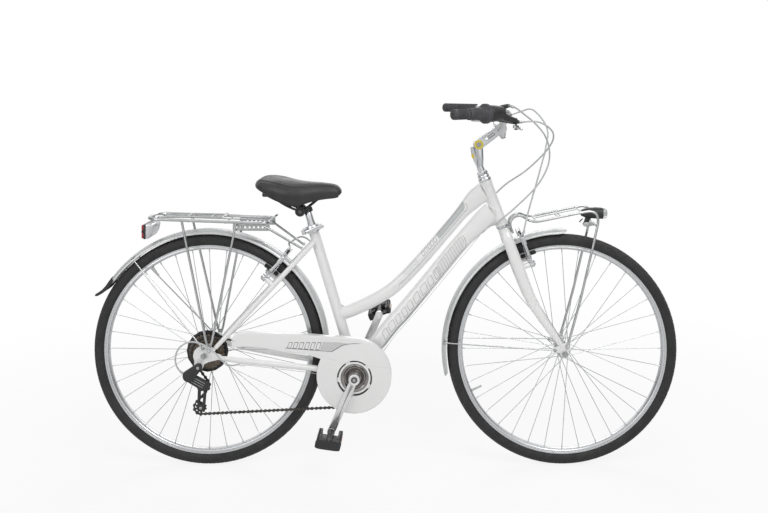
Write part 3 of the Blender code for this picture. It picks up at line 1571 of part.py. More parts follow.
FRONT_EYE_Y = FRONT_OVER_LOCKNUTS / 2 + DROPOUT_THICKNESS + GAP + 4.0
LAMP_PIVOT = front(72, 0, 378)
LAMP_LUG_HALF = 4.0


def front_rack():
    """Two bent side tubes from the axle over the wheel to the crown, with wires across."""
    shapes = []
    for side in (RIGHT, LEFT):
        eye = front(FRONT_RACK_EYE[0], side * FRONT_EYE_Y, FRONT_RACK_EYE[1])
        route = [
            eye,
            front(46, side * 59, 163),
            front(90, side * 57, 350),
            front(100, side * 56, 396),
            front(96, side * 55, 418),
            front(78, side * 55, 426),
            front(46, side * 55, 421),
            front(-84, side * 55, 394),
            front(-104, side * 47, 396),
            front(-118, side * 32, 404),
            front(-130, side * 22, 409),
            front(-146, side * 20, 404),
            front(-158, side * 20, 391),
            front(-159, side * 20, 374),
            fork(386, -16.4, side * 20),
        ]
        shapes.append(tube(route, 4.0, 1))
        shapes.append(rod(eye - Y * side * 4, eye + Y * side * 4, 6.0, sides=8))
    for x, z in ((46, 421), (-20, 407.3), (-84, 394)):
        shapes.append(rod(front(x, -55, z), front(x, 55, z), 2.5, sides=5))
    shapes.append(rod(fork(388, -16.4, -24), fork(388, -16.4, 24), 4.0, sides=6))
    shapes.append(rod(front(97, -57, 380), front(97, 57, 380), 3.0, sides=6))
    for side in (RIGHT, LEFT):
        place = LAMP_PIVOT + Y * side * (LAMP_LUG_HALF + GAP + 2)
        shapes.append(plate([hull((0, 0), (25, 2), 7, 5, 4), circle(2.8, 8)], 4.0, place))
    node("front_rack", union(shapes), "silver_paint", fork(0))


def headlight():
    profile = ((0, 138), (12, 138), (14.5, 127), (16, 122), (15, 100), (8.5, 58), (0, 58))
    shapes = [
        turned(profile, front(0, 0, 411), X, 12, closed=False),
        plate([hull((0, 0), (10, 24), 6, 8)], LAMP_LUG_HALF * 2, LAMP_PIVOT),
        rod(LAMP_PIVOT - Y * 11, LAMP_PIVOT + Y * 11, 2.5, sides=8),
        block(front(92, 0, 425.5), (68, 20, 5), 3),
    ]
    node("headlight", union(shapes), "black_plastic", LAMP_PIVOT)


ARM_LEAN = 6.0
NOODLE_PLACE = BRAKE_ARM_LENGTH - 6.0


def brake_arm(name, place, up, axis, hub, side, pivot_along, offset):
    """An arm on its stud, with the pad that meets the rim and a slot at its top for the cable."""
    root = place(pivot_along, offset, 0)
    flip = up.cross(axis).dot(Y)
    base = side * BRAKE_PIVOT_SPREAD * flip
    top = side * (BRAKE_PIVOT_SPREAD + ARM_LEAN) * flip
    pad_middle = RIM_WIDTH / 2 + PAD_GAP + PAD_DEPTH / 2
    pad = place(pivot_along + BRAKE_PIVOT_DROP, offset, side * pad_middle)
    heading = math.degrees(math.atan2(pad.z - hub.z, pad.x - hub.x))
    post_end = place(pivot_along + BRAKE_PIVOT_DROP, offset, side * (BRAKE_PIVOT_SPREAD + 10))
    shapes = [
        plate([hull((base, 0), (top, BRAKE_ARM_LENGTH), 9, 6, 4)], ARM_THICKNESS, root, axis, up),
        rod(pad, post_end, 4.0, sides=8),
        block(pad, (PAD_LENGTH, PAD_DEPTH, PAD_HEIGHT), -(heading + 90)),
    ]
    hole_start = root + Y * side * BRAKE_PIVOT_SPREAD
    cutters = [
        rod(hole_start - axis * 20, hole_start + axis * 20, bored(BRAKE_STUD_DIAMETER / 2, 10), sides=10),
        block(place(pivot_along + NOODLE_PLACE + 6, offset, side * 46), (8, 40, 19), -math.degrees(math.atan2(up.z, up.x)) + 90),
    ]
    node(name, cut(union(shapes), cutters), "black_plastic", hole_start)


def brakes():
    for side, word in ((RIGHT, "right"), (LEFT, "left")):
        pivot = REAR_PAD - BRAKE_PIVOT_DROP
        brake_arm(f"rear_brake_{word}_arm", stay, STAY_ALONG, STAY_BACK, REAR_HUB, side, pivot, REAR_ARM_BACK)
        pivot = FRONT_PAD - BRAKE_PIVOT_DROP
        brake_arm(f"front_brake_{word}_arm", fork, STEER_UP, STEER_AHEAD, FRONT_HUB, side, pivot, FRONT_ARM_AHEAD)


def cable(name, housing, wire, step=HOUSING_DIAMETER * 10.5, lead=(), tail=()):
    """A cable whose housing, straight in its stops, ends where its bare wire goes on."""
    covered = [*lead, *smooth(housing, step), *tail]
    bare = list(wire)
    thin = WIRE_DIAMETER / HOUSING_DIAMETER
    shoulder = [covered[-1].lerp(bare[0], 0.2)] if bare else []
    points = covered + shoulder + bare
    radii = [1.0] * len(covered) + [thin] * len(shoulder + bare)
    node(name, tube(points, CABLE_RADIUS, 1, radii), "housing_grey")


def cables():
    """Each housing along its route, from hand-chosen points in the frame of the whole bike."""
    noodle = fork(FRONT_PAD - BRAKE_PIVOT_DROP + NOODLE_PLACE, FRONT_ARM_AHEAD)
    front_housing = [
        Vector(point)
        for point in (
            (387.5, 166, 1046.4),
            (430, 160, 1063),
            (468, 130, 1070),
            (506, 90, 1015),
            (497, 60, 953),
            (481, 30, 911),
            (458, -5, 850),
            (432, -38, 780),
            (417, -60, 735),
        )
    ] + [noodle + Vector((2, -69, 6)), noodle - Y * 58]
    cable("front_brake_cable", front_housing, [noodle - Y * 50, noodle + Y * 56])
    tail = stay(REAR_PAD - BRAKE_PIVOT_DROP + NOODLE_PLACE, REAR_ARM_BACK)
    rear_housing = [
        Vector(point)
        for point in (
            (386.4, -166, 1046.4),
            (445, -155, 1045),
            (490, -118, 1013),
            (485, -78, 967),
            (430, -26, 898),
            (368, 20, 846),
            (318, 25, 800),
            (262, 23, 772),
            (201, 20, 718),
            (139, 20, 648),
            (98, 20, 602),
            (56, 20, 558),
            (10, 20, 518),
            (-47, 20, 485),
            (-102, 20.5, 468),
            (-142, 21.5, 478),
            (-166, 22, 520),
            (-182, 26, 575),
            (-202, 40, 625),
            (-232, 52, 662),
            (-266, 68, 676),
        )
    ] + [tail + Vector((-6, 74, 14)), tail + Vector((-2, 68, 3)), tail + Y * 58]
    cable("rear_brake_cable", rear_housing, [tail + Y * 50, tail - Y * 56])
    shift_housing = [
        Vector(point)
        for point in (
            (352, -186, 1094.5),
            (375, -172, 1087),
            (403, -150, 1067),
            (439, -120, 1039),
            (473, -80, 1001),
            (491, -50, 955),
            (487, -38, 905),
            (455, -32, 846),
            (390, -31, 781),
            (352, -30, 749),
            (336, -24, 733),
        )
    ] + [stop_point(30) + Vector((1.2, -2, -1)), stop_point(16)]
    under = [
        Vector(point)
        for point in (
            (254.8, -8, 656),
            (182, -8, 568),
            (109.8, -8, 481),
            (34, -8, 396),
            (-60, -12, 272),
            (-74, -12.5, 256.5),
            (-92, -14, 254.3),
            (-160, -31, 274),
            (-220, -38, 287),
            (-300, -46, 299.5),
            (-380, -55.5, 312.5),
            (-413, -59.8, 317.7),
            (-423, -60, 318.9),
        )
    ]
    cable("shift_cable", shift_housing, [stop_point(-1), stop_point(-12), *under], 28, tail=[stop_point(3)])
    loop = [
        Vector(point)
        for point in (
            (-433, -60, 320.1),
            (-439, -61, 320),
            (-450, -67, 319.5),
            (-463, -76, 324),
            (-480, -84, 340),
            (-502, -86, 364),
            (-529, -86, 384),
            (-560, -85, 394),
            (-583, -85, 392),
            (-606, -84, 376),
            (-617, -82, 350),
            (-616, -80, 326),
            (-607, -78.4, 308.6),
            (-596.6, -78.3, 300.5),
        )
    ]
    cable("rear_shift_cable", loop, [], 16, lead=[Vector((-425, -60, 319.1))])


def main():
    clear_scene()
    front_wheel()
    rear_wheel()
    freewheel()
    axles()
    frame_tubes()
    chain_stay("right_chain_stay", RIGHT)
    chain_stay("left_chain_stay", LEFT)
    seat_stays()
    headset()
    fork_body()
    chain()
    derailleur()
    chain_guard()
    cranks()
    rear_fender()
    front_fender()
    rear_rack()
    tail_light()
    rack_flap()
    saddle_cushion()
    saddle_base()
    seatpost()
    seat_clamp()
    stem()
    handlebar()
    grip("right_grip", RIGHT, SHORT_GRIP_START)
    grip("left_grip", LEFT, LONG_GRIP_START)
    twist_shifter()
    lever_bracket("right_lever_bracket", RIGHT)
    lever_bracket("left_lever_bracket", LEFT)
    brake_levers()
    front_rack()
    headlight()
    brakes()
    cables()


main()
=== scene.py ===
# %% [markdown]
# # A city bicycle
#
# This script dresses the model of a low-step city bicycle. The model's solids are
# right in size and they move, but they are plain. Each cell makes one piece finer
# or gives it its finish, and says which solid it stands for.
#
# ## Loading the frame
#
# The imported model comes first, because every later piece is placed against it.
# Its bounding box is kept, to compare with the dressed bike at the end.

# %% Load the frame
import math

import bmesh
import bpy
from mathutils import Matrix, Vector


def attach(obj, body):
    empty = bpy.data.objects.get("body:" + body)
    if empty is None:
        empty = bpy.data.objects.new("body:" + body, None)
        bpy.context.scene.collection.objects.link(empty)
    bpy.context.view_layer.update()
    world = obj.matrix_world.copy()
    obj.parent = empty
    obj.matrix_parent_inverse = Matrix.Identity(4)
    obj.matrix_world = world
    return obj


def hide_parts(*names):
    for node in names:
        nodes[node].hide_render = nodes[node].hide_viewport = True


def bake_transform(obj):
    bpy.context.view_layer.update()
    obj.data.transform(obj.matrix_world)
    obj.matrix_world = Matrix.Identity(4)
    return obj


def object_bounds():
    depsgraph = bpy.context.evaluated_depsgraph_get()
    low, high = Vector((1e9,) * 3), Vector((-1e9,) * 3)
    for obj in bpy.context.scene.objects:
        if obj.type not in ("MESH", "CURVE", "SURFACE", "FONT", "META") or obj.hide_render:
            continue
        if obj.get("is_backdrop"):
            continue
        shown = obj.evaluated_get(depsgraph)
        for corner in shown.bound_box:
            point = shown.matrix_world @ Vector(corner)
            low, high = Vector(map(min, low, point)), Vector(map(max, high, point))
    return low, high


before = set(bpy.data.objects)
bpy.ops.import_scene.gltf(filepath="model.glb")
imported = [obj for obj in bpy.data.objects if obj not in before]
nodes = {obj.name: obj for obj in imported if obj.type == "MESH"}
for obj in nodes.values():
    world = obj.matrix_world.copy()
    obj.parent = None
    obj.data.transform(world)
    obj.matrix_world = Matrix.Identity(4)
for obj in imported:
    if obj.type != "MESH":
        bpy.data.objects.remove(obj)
cad_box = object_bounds()

# %% [markdown]
# ## The places that everything hangs on
#
# A bicycle is laid out from a few points: the two axles, the bottom bracket that the
# cranks turn in, and the steering axis. The same few numbers place the finer pieces,
# in millimetres, so a piece lands on its solid without any fitting.

# %% The main points of the bicycle
MM = 0.001
X = Vector((1, 0, 0))
Y = Vector((0, 1, 0))
Z = Vector((0, 0, 1))
RIGHT = -1
LEFT = 1
SIDES = ((RIGHT, "right"), (LEFT, "left"))

REAR_HUB = Vector((-536, 0, 349))
FRONT_HUB = Vector((536, 0, 349))
BRACKET = Vector((-90.544, 0, 278.5))
RIM_RADIUS = 317.0
TYRE_RADIUS = 349.0
FENDER_RADIUS = 366.0
PAD_TRACK = RIM_RADIUS - 8.4
REAR_BRAKE_BACK = 27.0
FRONT_BRAKE_AHEAD = 4.0
BOSS_ACROSS = 40.0
REAR_END_ACROSS = 68.5
FRONT_END_ACROSS = 52.5
AXLE_HOLE = 4.95
EYE_HOLE = 2.6


def tilted(degrees):
    return Vector((-math.cos(math.radians(degrees)), 0, math.sin(math.radians(degrees))))


SEAT_UP = tilted(73.3)
STEER_UP = tilted(69.4)
STEER_AHEAD = Vector((STEER_UP.z, 0, -STEER_UP.x))
STAY_ALONG = tilted(180 - 46.8)
STAY_BACK = Vector((-STAY_ALONG.z, 0, STAY_ALONG.x))
HEAD_LOW = 416.7
HEAD_HIGH = 559.7
STEERER_HIGH = 594.7


def rear(x, y, z):
    return REAR_HUB + Vector((x, y, z))


def front(x, y, z):
    return FRONT_HUB + Vector((x, y, z))


def bracket(x, y, z):
    return BRACKET + Vector((x, y, z))


def fork(along, ahead=-38.0, y=0.0):
    """A point by its height above the front axle along the steering axis."""
    return FRONT_HUB + STEER_UP * along + STEER_AHEAD * ahead + Y * y


def stay(along, back=-9.0, y=0.0):
    """A point by its distance from the rear axle up the seat stay."""
    return REAR_HUB + STAY_ALONG * along + STAY_BACK * back + Y * y


def seat(along, y=0.0):
    """A point by its height above the bottom bracket along the seat tube."""
    return BRACKET + SEAT_UP * along + Y * y


def around(centre, radius, angle, y=0.0):
    """A point on a circle about an axle, by its angle from forward in degrees."""
    turn = math.radians(angle)
    return centre + Vector((radius * math.cos(turn), y, radius * math.sin(turn)))


print("head tube from", [round(c) for c in fork(HEAD_LOW)], "to", [round(c) for c in fork(HEAD_HIGH)])

# %% [markdown]
# ## The camera
#
# The picture is a side view from the height of the handlebar, with the lens shifted
# down so that the upright lines stay upright. That is how catalogue pictures are
# taken, and it is why the near side of the saddle and of the racks shows from above.

# %% The camera
def linked(name, data):
    """A new object in the scene."""
    obj = bpy.data.objects.new(name, data)
    bpy.context.scene.collection.objects.link(obj)
    return obj


camera_data = bpy.data.cameras.new("camera")
camera_data.lens = 39.70
camera_data.sensor_width = 36
camera_data.shift_x = -0.0361
camera_data.shift_y = -0.2302
camera_data.clip_end = 60
camera = linked("camera", camera_data)
camera.location = (0.0796, -2.5794, 1.1669)
camera.rotation_euler = (math.pi / 2, 0, 0)
bpy.context.scene.camera = camera
bpy.context.scene.view_settings.view_transform = "Standard"
print("camera at", tuple(round(place, 2) for place in camera.location))

# %% [markdown]
# ## Building node trees
#
# The world, every finish and every repeated shape is a tree of nodes. These helpers add
# one node at a time. A value that comes out of another node is linked, and anything
# else is set as a number.

# %% Helpers for node trees
def fill(tree, node, inputs):
    """Sets a node's inputs to values, or links them to what other nodes put out."""
    for key, value in inputs.items():
        if isinstance(value, bpy.types.NodeSocket):
            tree.links.new(value, node.inputs[key])
        else:
            node.inputs[key].default_value = value


def new_node(tree, kind, inputs=None, **settings):
    made = tree.nodes.new(kind)
    for name, value in settings.items():
        setattr(made, name, value)
    fill(tree, made, inputs or {})
    return made


def math_node(tree, operation, *values):
    return new_node(tree, "ShaderNodeMath", dict(enumerate(values)), operation=operation).outputs[0]


def between(tree, value, low, high, start=0.3, end=0.7, kind="LINEAR"):
    """Turns a value from start to end into one from low to high."""
    inputs = {"Value": value, "From Min": start, "From Max": end, "To Min": low, "To Max": high}
    return new_node(tree, "ShaderNodeMapRange", inputs, interpolation_type=kind).outputs["Result"]


# %% [markdown]
# ## The light and the floor
#
# White paint on a white ground is shown by its edges, so the light is soft and comes
# mainly from above and from one side. The world and the floor are white only to the
# camera. In reflections the world is dark at the left and the right, as the walls of a
# room are, which draws the shape of chrome tubes. The lamps stay low enough that the
# white paint keeps its shape instead of burning out.

# %% The world
WORLD_LIGHT = 0.36
WALL_START, WALL_END = 0.62, 0.97
WALL_DARKNESS = 0.78

world = bpy.data.worlds.new("studio")
bpy.context.scene.world = world
world.use_nodes = True
tree = world.node_tree
tree.nodes.clear()
path = new_node(tree, "ShaderNodeLightPath").outputs
seen = math_node(tree, "MAXIMUM", path["Is Camera Ray"], path["Is Glossy Ray"])
seen = math_node(tree, "MAXIMUM", seen, path["Is Transmission Ray"])
strength = between(tree, seen, WORLD_LIGHT, 1.0, 0.0, 1.0)
heading = new_node(tree, "ShaderNodeTexCoord").outputs["Generated"]
sideways = new_node(tree, "ShaderNodeSeparateXYZ", {0: heading}).outputs["X"]
sideways = math_node(tree, "ABSOLUTE", sideways)
wall = between(tree, sideways, 0.0, WALL_DARKNESS, WALL_START, WALL_END, "SMOOTHSTEP")
mirrored = math_node(tree, "MULTIPLY", wall, path["Is Glossy Ray"])
darkened = math_node(tree, "SUBTRACT", strength, mirrored)
sky = new_node(tree, "ShaderNodeBackground", {"Color": (1, 1, 1, 1), "Strength": darkened})
new_node(tree, "ShaderNodeOutputWorld", {0: sky.outputs[0]})
print("world nodes:", len(tree.nodes))


# %% The lamps
def lamp(name, place, target, size, watts):
    """A soft rectangular lamp that faces a point, in metres."""
    data = bpy.data.lights.new(name, "AREA")
    data.shape = "RECTANGLE"
    data.size, data.size_y = size
    data.energy = watts
    obj = linked(name, data)
    obj.location = place
    obj.rotation_euler = (Vector(target) - Vector(place)).to_track_quat("-Z", "Y").to_euler()


lamp("key_lamp", (1.4, -2.4, 3.4), (0, 0, 0.5), (2.2, 2.2), 62)
lamp("fill_lamp", (-2.8, -2.6, 1.8), (0, 0, 0.5), (2.0, 2.0), 26)
lamp("back_lamp", (0.2, 2.8, 2.6), (0, 0, 0.6), (2.6, 1.6), 32)
print("lamps:", len(bpy.data.lights))

# %% The floor
FLOOR_RADIUS = 14
PAPER_LIGHT = 0.86
PAPER_MIRRORED = 0.3
FADE_START, FADE_END = 0.9, 2.2

floor_shape = bmesh.new()
bmesh.ops.create_circle(floor_shape, cap_ends=True, radius=FLOOR_RADIUS, segments=64)
floor_mesh = bpy.data.meshes.new("floor")
floor_shape.to_mesh(floor_mesh)
floor_shape.free()
floor = linked("floor", floor_mesh)
paper = bpy.data.materials.new("white_paper")
paper.use_nodes = True
tree = paper.node_tree
tree.nodes.clear()
matt = new_node(tree, "ShaderNodeBsdfDiffuse", {"Color": (0.9, 0.9, 0.9, 1)})
glow = new_node(tree, "ShaderNodeEmission")
path = new_node(tree, "ShaderNodeLightPath").outputs
place = new_node(tree, "ShaderNodeTexCoord").outputs["Object"]
distance = new_node(tree, "ShaderNodeVectorMath", {0: place}, operation="LENGTH")
fade = between(tree, distance.outputs["Value"], PAPER_LIGHT, 1.0, FADE_START, FADE_END)
mirrored = math_node(tree, "MULTIPLY", path["Is Glossy Ray"], PAPER_MIRRORED)
seen = math_node(tree, "MAXIMUM", path["Is Camera Ray"], mirrored)
share = math_node(tree, "MULTIPLY", fade, seen)
mixed = new_node(tree, "ShaderNodeMixShader", {0: share, 1: matt.outputs[0], 2: glow.outputs[0]})
new_node(tree, "ShaderNodeOutputMaterial", {0: mixed.outputs[0]})
floor_mesh.materials.append(paper)
floor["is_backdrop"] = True
print("floor radius:", FLOOR_RADIUS, "m")

# %% [markdown]
# ## Finishes
#
# Few surfaces on a bicycle have one flat colour. Paint has a faint ripple, chrome has
# smudges, moulded plastic has a fine grain. One recipe makes them all: noise in the
# object's own coordinates changes the colour and the gloss a little, and finer noise
# lifts the surface. Each finish only states how strong and how fine that is.

# %% The recipe for a finish
finishes = {}


def shader_of(name):
    """A new material: its tree, its shader and the coordinates of the object."""
    finishes[name] = bpy.data.materials.new(name)
    finishes[name].use_nodes = True
    tree = finishes[name].node_tree
    place = new_node(tree, "ShaderNodeTexCoord").outputs["Object"]
    return tree, tree.nodes["Principled BSDF"], place


def noise(tree, place, scale, detail=3.0):
    inputs = {"Vector": place, "Scale": scale, "Detail": detail, "Roughness": 0.55}
    return new_node(tree, "ShaderNodeTexNoise", inputs).outputs["Fac"]


def ramp(tree, value, stops, constant=False):
    """Colours by a value from 0 to 1."""
    made = new_node(tree, "ShaderNodeValToRGB", {"Fac": value})
    made.color_ramp.interpolation = "CONSTANT" if constant else "LINEAR"
    for index, (at, colour) in enumerate(stops):
        stop = made.color_ramp.elements[index] if index < 2 else made.color_ramp.elements.new(at)
        stop.position = at
        stop.color = (*colour, 1)
    return made.outputs["Color"]


def lifted(tree, height, depth):
    """The surface raised by a height map, over a depth in millimetres."""
    inputs = {"Strength": 1.0, "Distance": depth * MM, "Height": height}
    return new_node(tree, "ShaderNodeBump", inputs).outputs["Normal"]


def shade(colour, amount):
    return tuple(min(1.0, channel * amount) for channel in colour)


def finish(
    name, colour, roughness, metallic=0.0, coat=0.0, mottle=0.08, patch=18.0, grain=900.0, depth=0.02
):
    """Mottle is how much the colour and the gloss vary, over patches of about 1/patch metre."""
    tree, shader, place = shader_of(name)
    stops = ((0.3, shade(colour, 1 - mottle)), (0.7, shade(colour, 1 + mottle)))
    glossiest, dullest = roughness * (1 - mottle * 2), roughness * (1 + mottle * 3)
    fill(tree, shader, {
        "Base Color": ramp(tree, noise(tree, place, patch), stops),
        "Roughness": between(tree, noise(tree, place, patch * 3), glossiest, dullest),
        "Metallic": metallic,
        "Coat Weight": coat,
        "Coat Roughness": 0.06,
        "Normal": lifted(tree, noise(tree, place, grain), depth),
    })
    finishes[name].diffuse_color = (*colour, 1)


# %% Paints, metals and plastics
finish(
    "white_enamel", (0.90, 0.90, 0.895), 0.3, coat=0.7, mottle=0.012, patch=6, grain=260, depth=0.012
)
finish(
    "silver_enamel", (0.62, 0.63, 0.635), 0.36, metallic=0.35, coat=0.3, mottle=0.03, grain=2600,
    depth=0.01
)
finish("chrome_plate", (0.66, 0.67, 0.69), 0.14, metallic=1.0, mottle=0.05, grain=60, depth=0.01)
finish(
    "bright_wire", (0.50, 0.505, 0.51), 0.2, metallic=1.0, mottle=0.08, patch=30, grain=300, depth=0.01
)
finish("bare_aluminium", (0.60, 0.61, 0.62), 0.30, metallic=1.0, mottle=0.06, grain=1400, depth=0.012)
finish("spoke_steel", (0.50, 0.51, 0.52), 0.25, metallic=1.0, mottle=0.06)
finish(
    "oiled_steel", (0.075, 0.07, 0.066), 0.42, metallic=0.8, mottle=0.25, patch=60, grain=700,
    depth=0.03
)
finish("dark_metal", (0.12, 0.12, 0.12), 0.34, metallic=0.9, mottle=0.15, patch=40)
# Painted shade: the grey of the strip down each crank's face, which stands for a shaded groove.
finish("painted_groove_shade", (0.34, 0.34, 0.345), 0.4, metallic=0.7, mottle=0.12, patch=60)
finish("polished_alloy", (0.82, 0.82, 0.82), 0.24, metallic=0.95, mottle=0.04, grain=500, depth=0.01)
finish(
    "smoked_chrome", (0.27, 0.26, 0.25), 0.16, metallic=1.0, mottle=0.1, patch=60, grain=60, depth=0.01
)
finish(
    "bronzed_steel", (0.15, 0.125, 0.10), 0.4, metallic=0.85, mottle=0.3, patch=70, grain=700,
    depth=0.03
)
finish("zinc_plate", (0.42, 0.43, 0.43), 0.36, metallic=1.0, mottle=0.1, patch=80)
finish("black_moulding", (0.022, 0.022, 0.024), 0.42, mottle=0.15, grain=1600, depth=0.03)
finish("grip_rubber", (0.065, 0.065, 0.07), 0.62, mottle=0.15, patch=40, grain=1100, depth=0.06)
finish("pad_rubber", (0.03, 0.03, 0.032), 0.8, mottle=0.2, patch=50, grain=900, depth=0.05)
finish("grey_sleeve", (0.56, 0.57, 0.58), 0.42, mottle=0.06, patch=60, grain=1200, depth=0.02)
finish("seam_shadow", (0.62, 0.62, 0.61), 0.5, mottle=0.02)
finish("grey_thread", (0.075, 0.075, 0.08), 0.7, mottle=0.1)
finish("pale_boot", (0.55, 0.56, 0.57), 0.6, mottle=0.06)
finish("yellow_ring", (0.75, 0.60, 0.06), 0.4, mottle=0.05)
print("finishes:", len(finishes))

# %% [markdown]
# ## Finishes that follow the shape
#
# A rim is polished while it turns, so its fine lines run round the hub. The noise is
# read by the distance from the hub, which gives rings. A tyre picks up pale dust
# where it meets the road, which is also a matter of that distance.

# %% Finishes that go round a wheel
def hub_distance(tree, place):
    """The distance from the nearer hub, and the place across the bike."""
    parts = new_node(tree, "ShaderNodeSeparateXYZ", {0: place}).outputs
    ahead = math_node(tree, "ABSOLUTE", parts["X"])
    flat = new_node(tree, "ShaderNodeCombineXYZ", {"X": ahead, "Z": parts["Z"]}).outputs[0]
    hub = FRONT_HUB * MM
    reach = new_node(tree, "ShaderNodeVectorMath", {0: flat, 1: hub}, operation="DISTANCE")
    return reach.outputs["Value"], parts["Y"]


tree, shader, place = shader_of("polished_rim")
reach, across = hub_distance(tree, place)
ringed = new_node(tree, "ShaderNodeCombineXYZ", {"X": reach, "Y": across}).outputs[0]
lines = noise(tree, ringed, 900, 4)
fill(tree, shader, {
    "Base Color": ramp(tree, lines, ((0.3, (0.50, 0.51, 0.52)), (0.7, (0.70, 0.71, 0.72)))),
    "Roughness": between(tree, lines, 0.2, 0.38),
    "Metallic": 1.0,
    "Normal": lifted(tree, lines, 0.01),
})

tree, shader, place = shader_of("tread_rubber")
reach, _ = hub_distance(tree, place)
dusty = between(tree, reach, 0.0, 1.0, 0.335, 0.3485)
cloudy = noise(tree, place, 35, 5)
dust = math_node(tree, "MULTIPLY", dusty, cloudy)
fill(tree, shader, {
    "Base Color": ramp(tree, dust, ((0.0, (0.022, 0.022, 0.023)), (0.8, (0.075, 0.072, 0.068)))),
    "Roughness": between(tree, cloudy, 0.62, 0.85),
    "Normal": lifted(tree, noise(tree, place, 1300), 0.05),
})
print("finishes:", len(finishes))

# %% [markdown]
# ## The saddle's cover and the lenses
#
# The cover is a thin black sheet pressed with a leather grain. Voronoi cells, with
# their borders sunk, look like that. A reflector or a lamp glass is moulded inside
# with small prisms, and larger cells under clear plastic stand for them.

# %% The saddle's cover and the lenses
def cells(tree, place, scale, feature="DISTANCE_TO_EDGE"):
    inputs = {"Vector": place, "Scale": scale}
    return new_node(tree, "ShaderNodeTexVoronoi", inputs, feature=feature).outputs["Distance"]


tree, shader, place = shader_of("saddle_cover")
pebbles = between(tree, cells(tree, place, 520), 0.0, 1.0, 0.0, 0.25)
stops = ((0.3, (0.018, 0.018, 0.019)), (0.7, (0.032, 0.032, 0.034)))
fill(tree, shader, {
    "Base Color": ramp(tree, noise(tree, place, 14), stops),
    "Roughness": between(tree, noise(tree, place, 30), 0.38, 0.55),
    "Normal": lifted(tree, pebbles, 0.12),
})


def lens(name, colour, through, scale):
    tree, shader, place = shader_of(name)
    prisms = cells(tree, place, scale, "F1")
    fill(tree, shader, {
        "Base Color": ramp(tree, prisms, ((0.0, shade(colour, 1.25)), (0.75, shade(colour, 0.6)))),
        "Roughness": 0.12,
        "Transmission Weight": through,
        "IOR": 1.49,
        "Coat Weight": 0.8,
        "Normal": lifted(tree, prisms, 0.25),
    })


lens("red_lens", (0.56, 0.012, 0.014), 0.15, 260)
lens("amber_reflector", (0.85, 0.26, 0.02), 0.2, 420)
lens("clear_lens", (0.86, 0.88, 0.90), 0.55, 180)
print("finishes:", len(finishes))

# %% [markdown]
# ## Stickers
#
# The frame carries pale panels with thin dark borders. Here they are plain hatched
# stripes, made by a wave running diagonally across the panel and cut hard into two
# tones of grey.

# %% The finish of the stickers
def sticker(name, light, dark, angle, scale):
    tree, shader, place = shader_of(name)
    turned = {"Vector": place, "Rotation": (0, math.radians(angle), 0)}
    slanted = new_node(tree, "ShaderNodeMapping", turned).outputs[0]
    stripes = {"Vector": slanted, "Scale": scale}
    wave = new_node(tree, "ShaderNodeTexWave", stripes, bands_direction="X").outputs["Fac"]
    fill(tree, shader, {
        "Base Color": ramp(tree, wave, ((0.0, dark), (0.45, light)), constant=True),
        "Roughness": between(tree, noise(tree, place, 40), 0.28, 0.36),
        "Coat Weight": 0.6,
    })


sticker("hatched_sticker", (0.84, 0.84, 0.835), (0.69, 0.69, 0.69), 28, 34)
sticker("dotted_sticker", (0.80, 0.80, 0.80), (0.46, 0.46, 0.47), 30, 95)
# grey_panel serves the grey sticker band on the top tube and the painted shade along the down tube's
# underside.
finish("grey_panel", (0.54, 0.56, 0.56), 0.35, coat=0.5, mottle=0.03)
finish("faint_panel", (0.79, 0.80, 0.80), 0.35, coat=0.5, mottle=0.02)
finish("dark_border", (0.12, 0.12, 0.125), 0.35, coat=0.5, mottle=0.03)
print("finishes:", len(finishes))

# %% [markdown]
# ## Helpers for shapes
#
# Most of a bicycle is bent tube, turned metal and flat plate, so a few helpers do
# most of the work. Each returns plain points and faces, and one function joins such
# parts into a piece, shades it, and says which body carries it and which solid it
# stands for.

# %% Joining parts into a piece
SHARP = 38
WELD = 0.002


def smoothed(obj, sharp):
    """Shades an object smoothly, apart from the edges that bend by more than an angle."""
    mesh = obj.data
    mesh.polygons.foreach_set("use_smooth", [True] * len(mesh.polygons))
    mesh.set_sharp_from_angle(angle=math.radians(sharp))
    return obj


def evaluated(obj):
    """A new mesh of the object with its modifiers applied."""
    bpy.context.view_layer.update()
    return bpy.data.meshes.new_from_object(obj.evaluated_get(bpy.context.evaluated_depsgraph_get()))


def meshed(name, parts, sharp=SHARP):
    """One mesh object at the origin from parts of (points, faces), in metres."""
    points = []
    faces = []
    for part_points, part_faces in parts:
        first = len(points)
        points += [point * MM for point in part_points]
        faces += [[first + index for index in face] for face in part_faces]
    mesh = bpy.data.meshes.new(name)
    mesh.from_pydata(points, [], faces)
    shape = bmesh.new()
    shape.from_mesh(mesh)
    shape.transform(Matrix.Scale(1 / MM, 4))
    bmesh.ops.remove_doubles(shape, verts=shape.verts, dist=WELD)
    shape.normal_update()
    bmesh.ops.recalc_face_normals(shape, faces=shape.faces)
    shape.transform(Matrix.Scale(MM, 4))
    shape.to_mesh(mesh)
    shape.free()
    return smoothed(linked(name, mesh), sharp)


stood_for = set()


def placed(obj, paint, body, *solids, slot):
    """Gives a piece its finish, its body, and the solids that it stands for."""
    obj.data.materials.clear()
    obj.data.materials.append(finishes[paint])
    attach(obj, body)
    if solids:
        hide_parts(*solids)
        stood_for.update(solids)
    return obj


def piece(name, parts, paint, body, *solids, slot, sharp=SHARP):
    return placed(meshed(name, parts, sharp), paint, body, *solids, slot=slot)


# %% Tubes and lofts
def skin(rings, closed_path=False):
    """Faces between rings of points, with flat caps unless the path is closed."""
    count = len(rings[0])
    points = [point for ring in rings for point in ring]
    faces = []
    pairs = len(rings) if closed_path else len(rings) - 1
    for row in range(pairs):
        low = row * count
        high = (row + 1) % len(rings) * count
        for index in range(count):
            after = (index + 1) % count
            faces.append((low + index, low + after, high + after, high + index))
    if not closed_path:
        faces.append(tuple(reversed(range(count))))
        faces.append(tuple(range(len(points) - count, len(points))))
    return points, faces


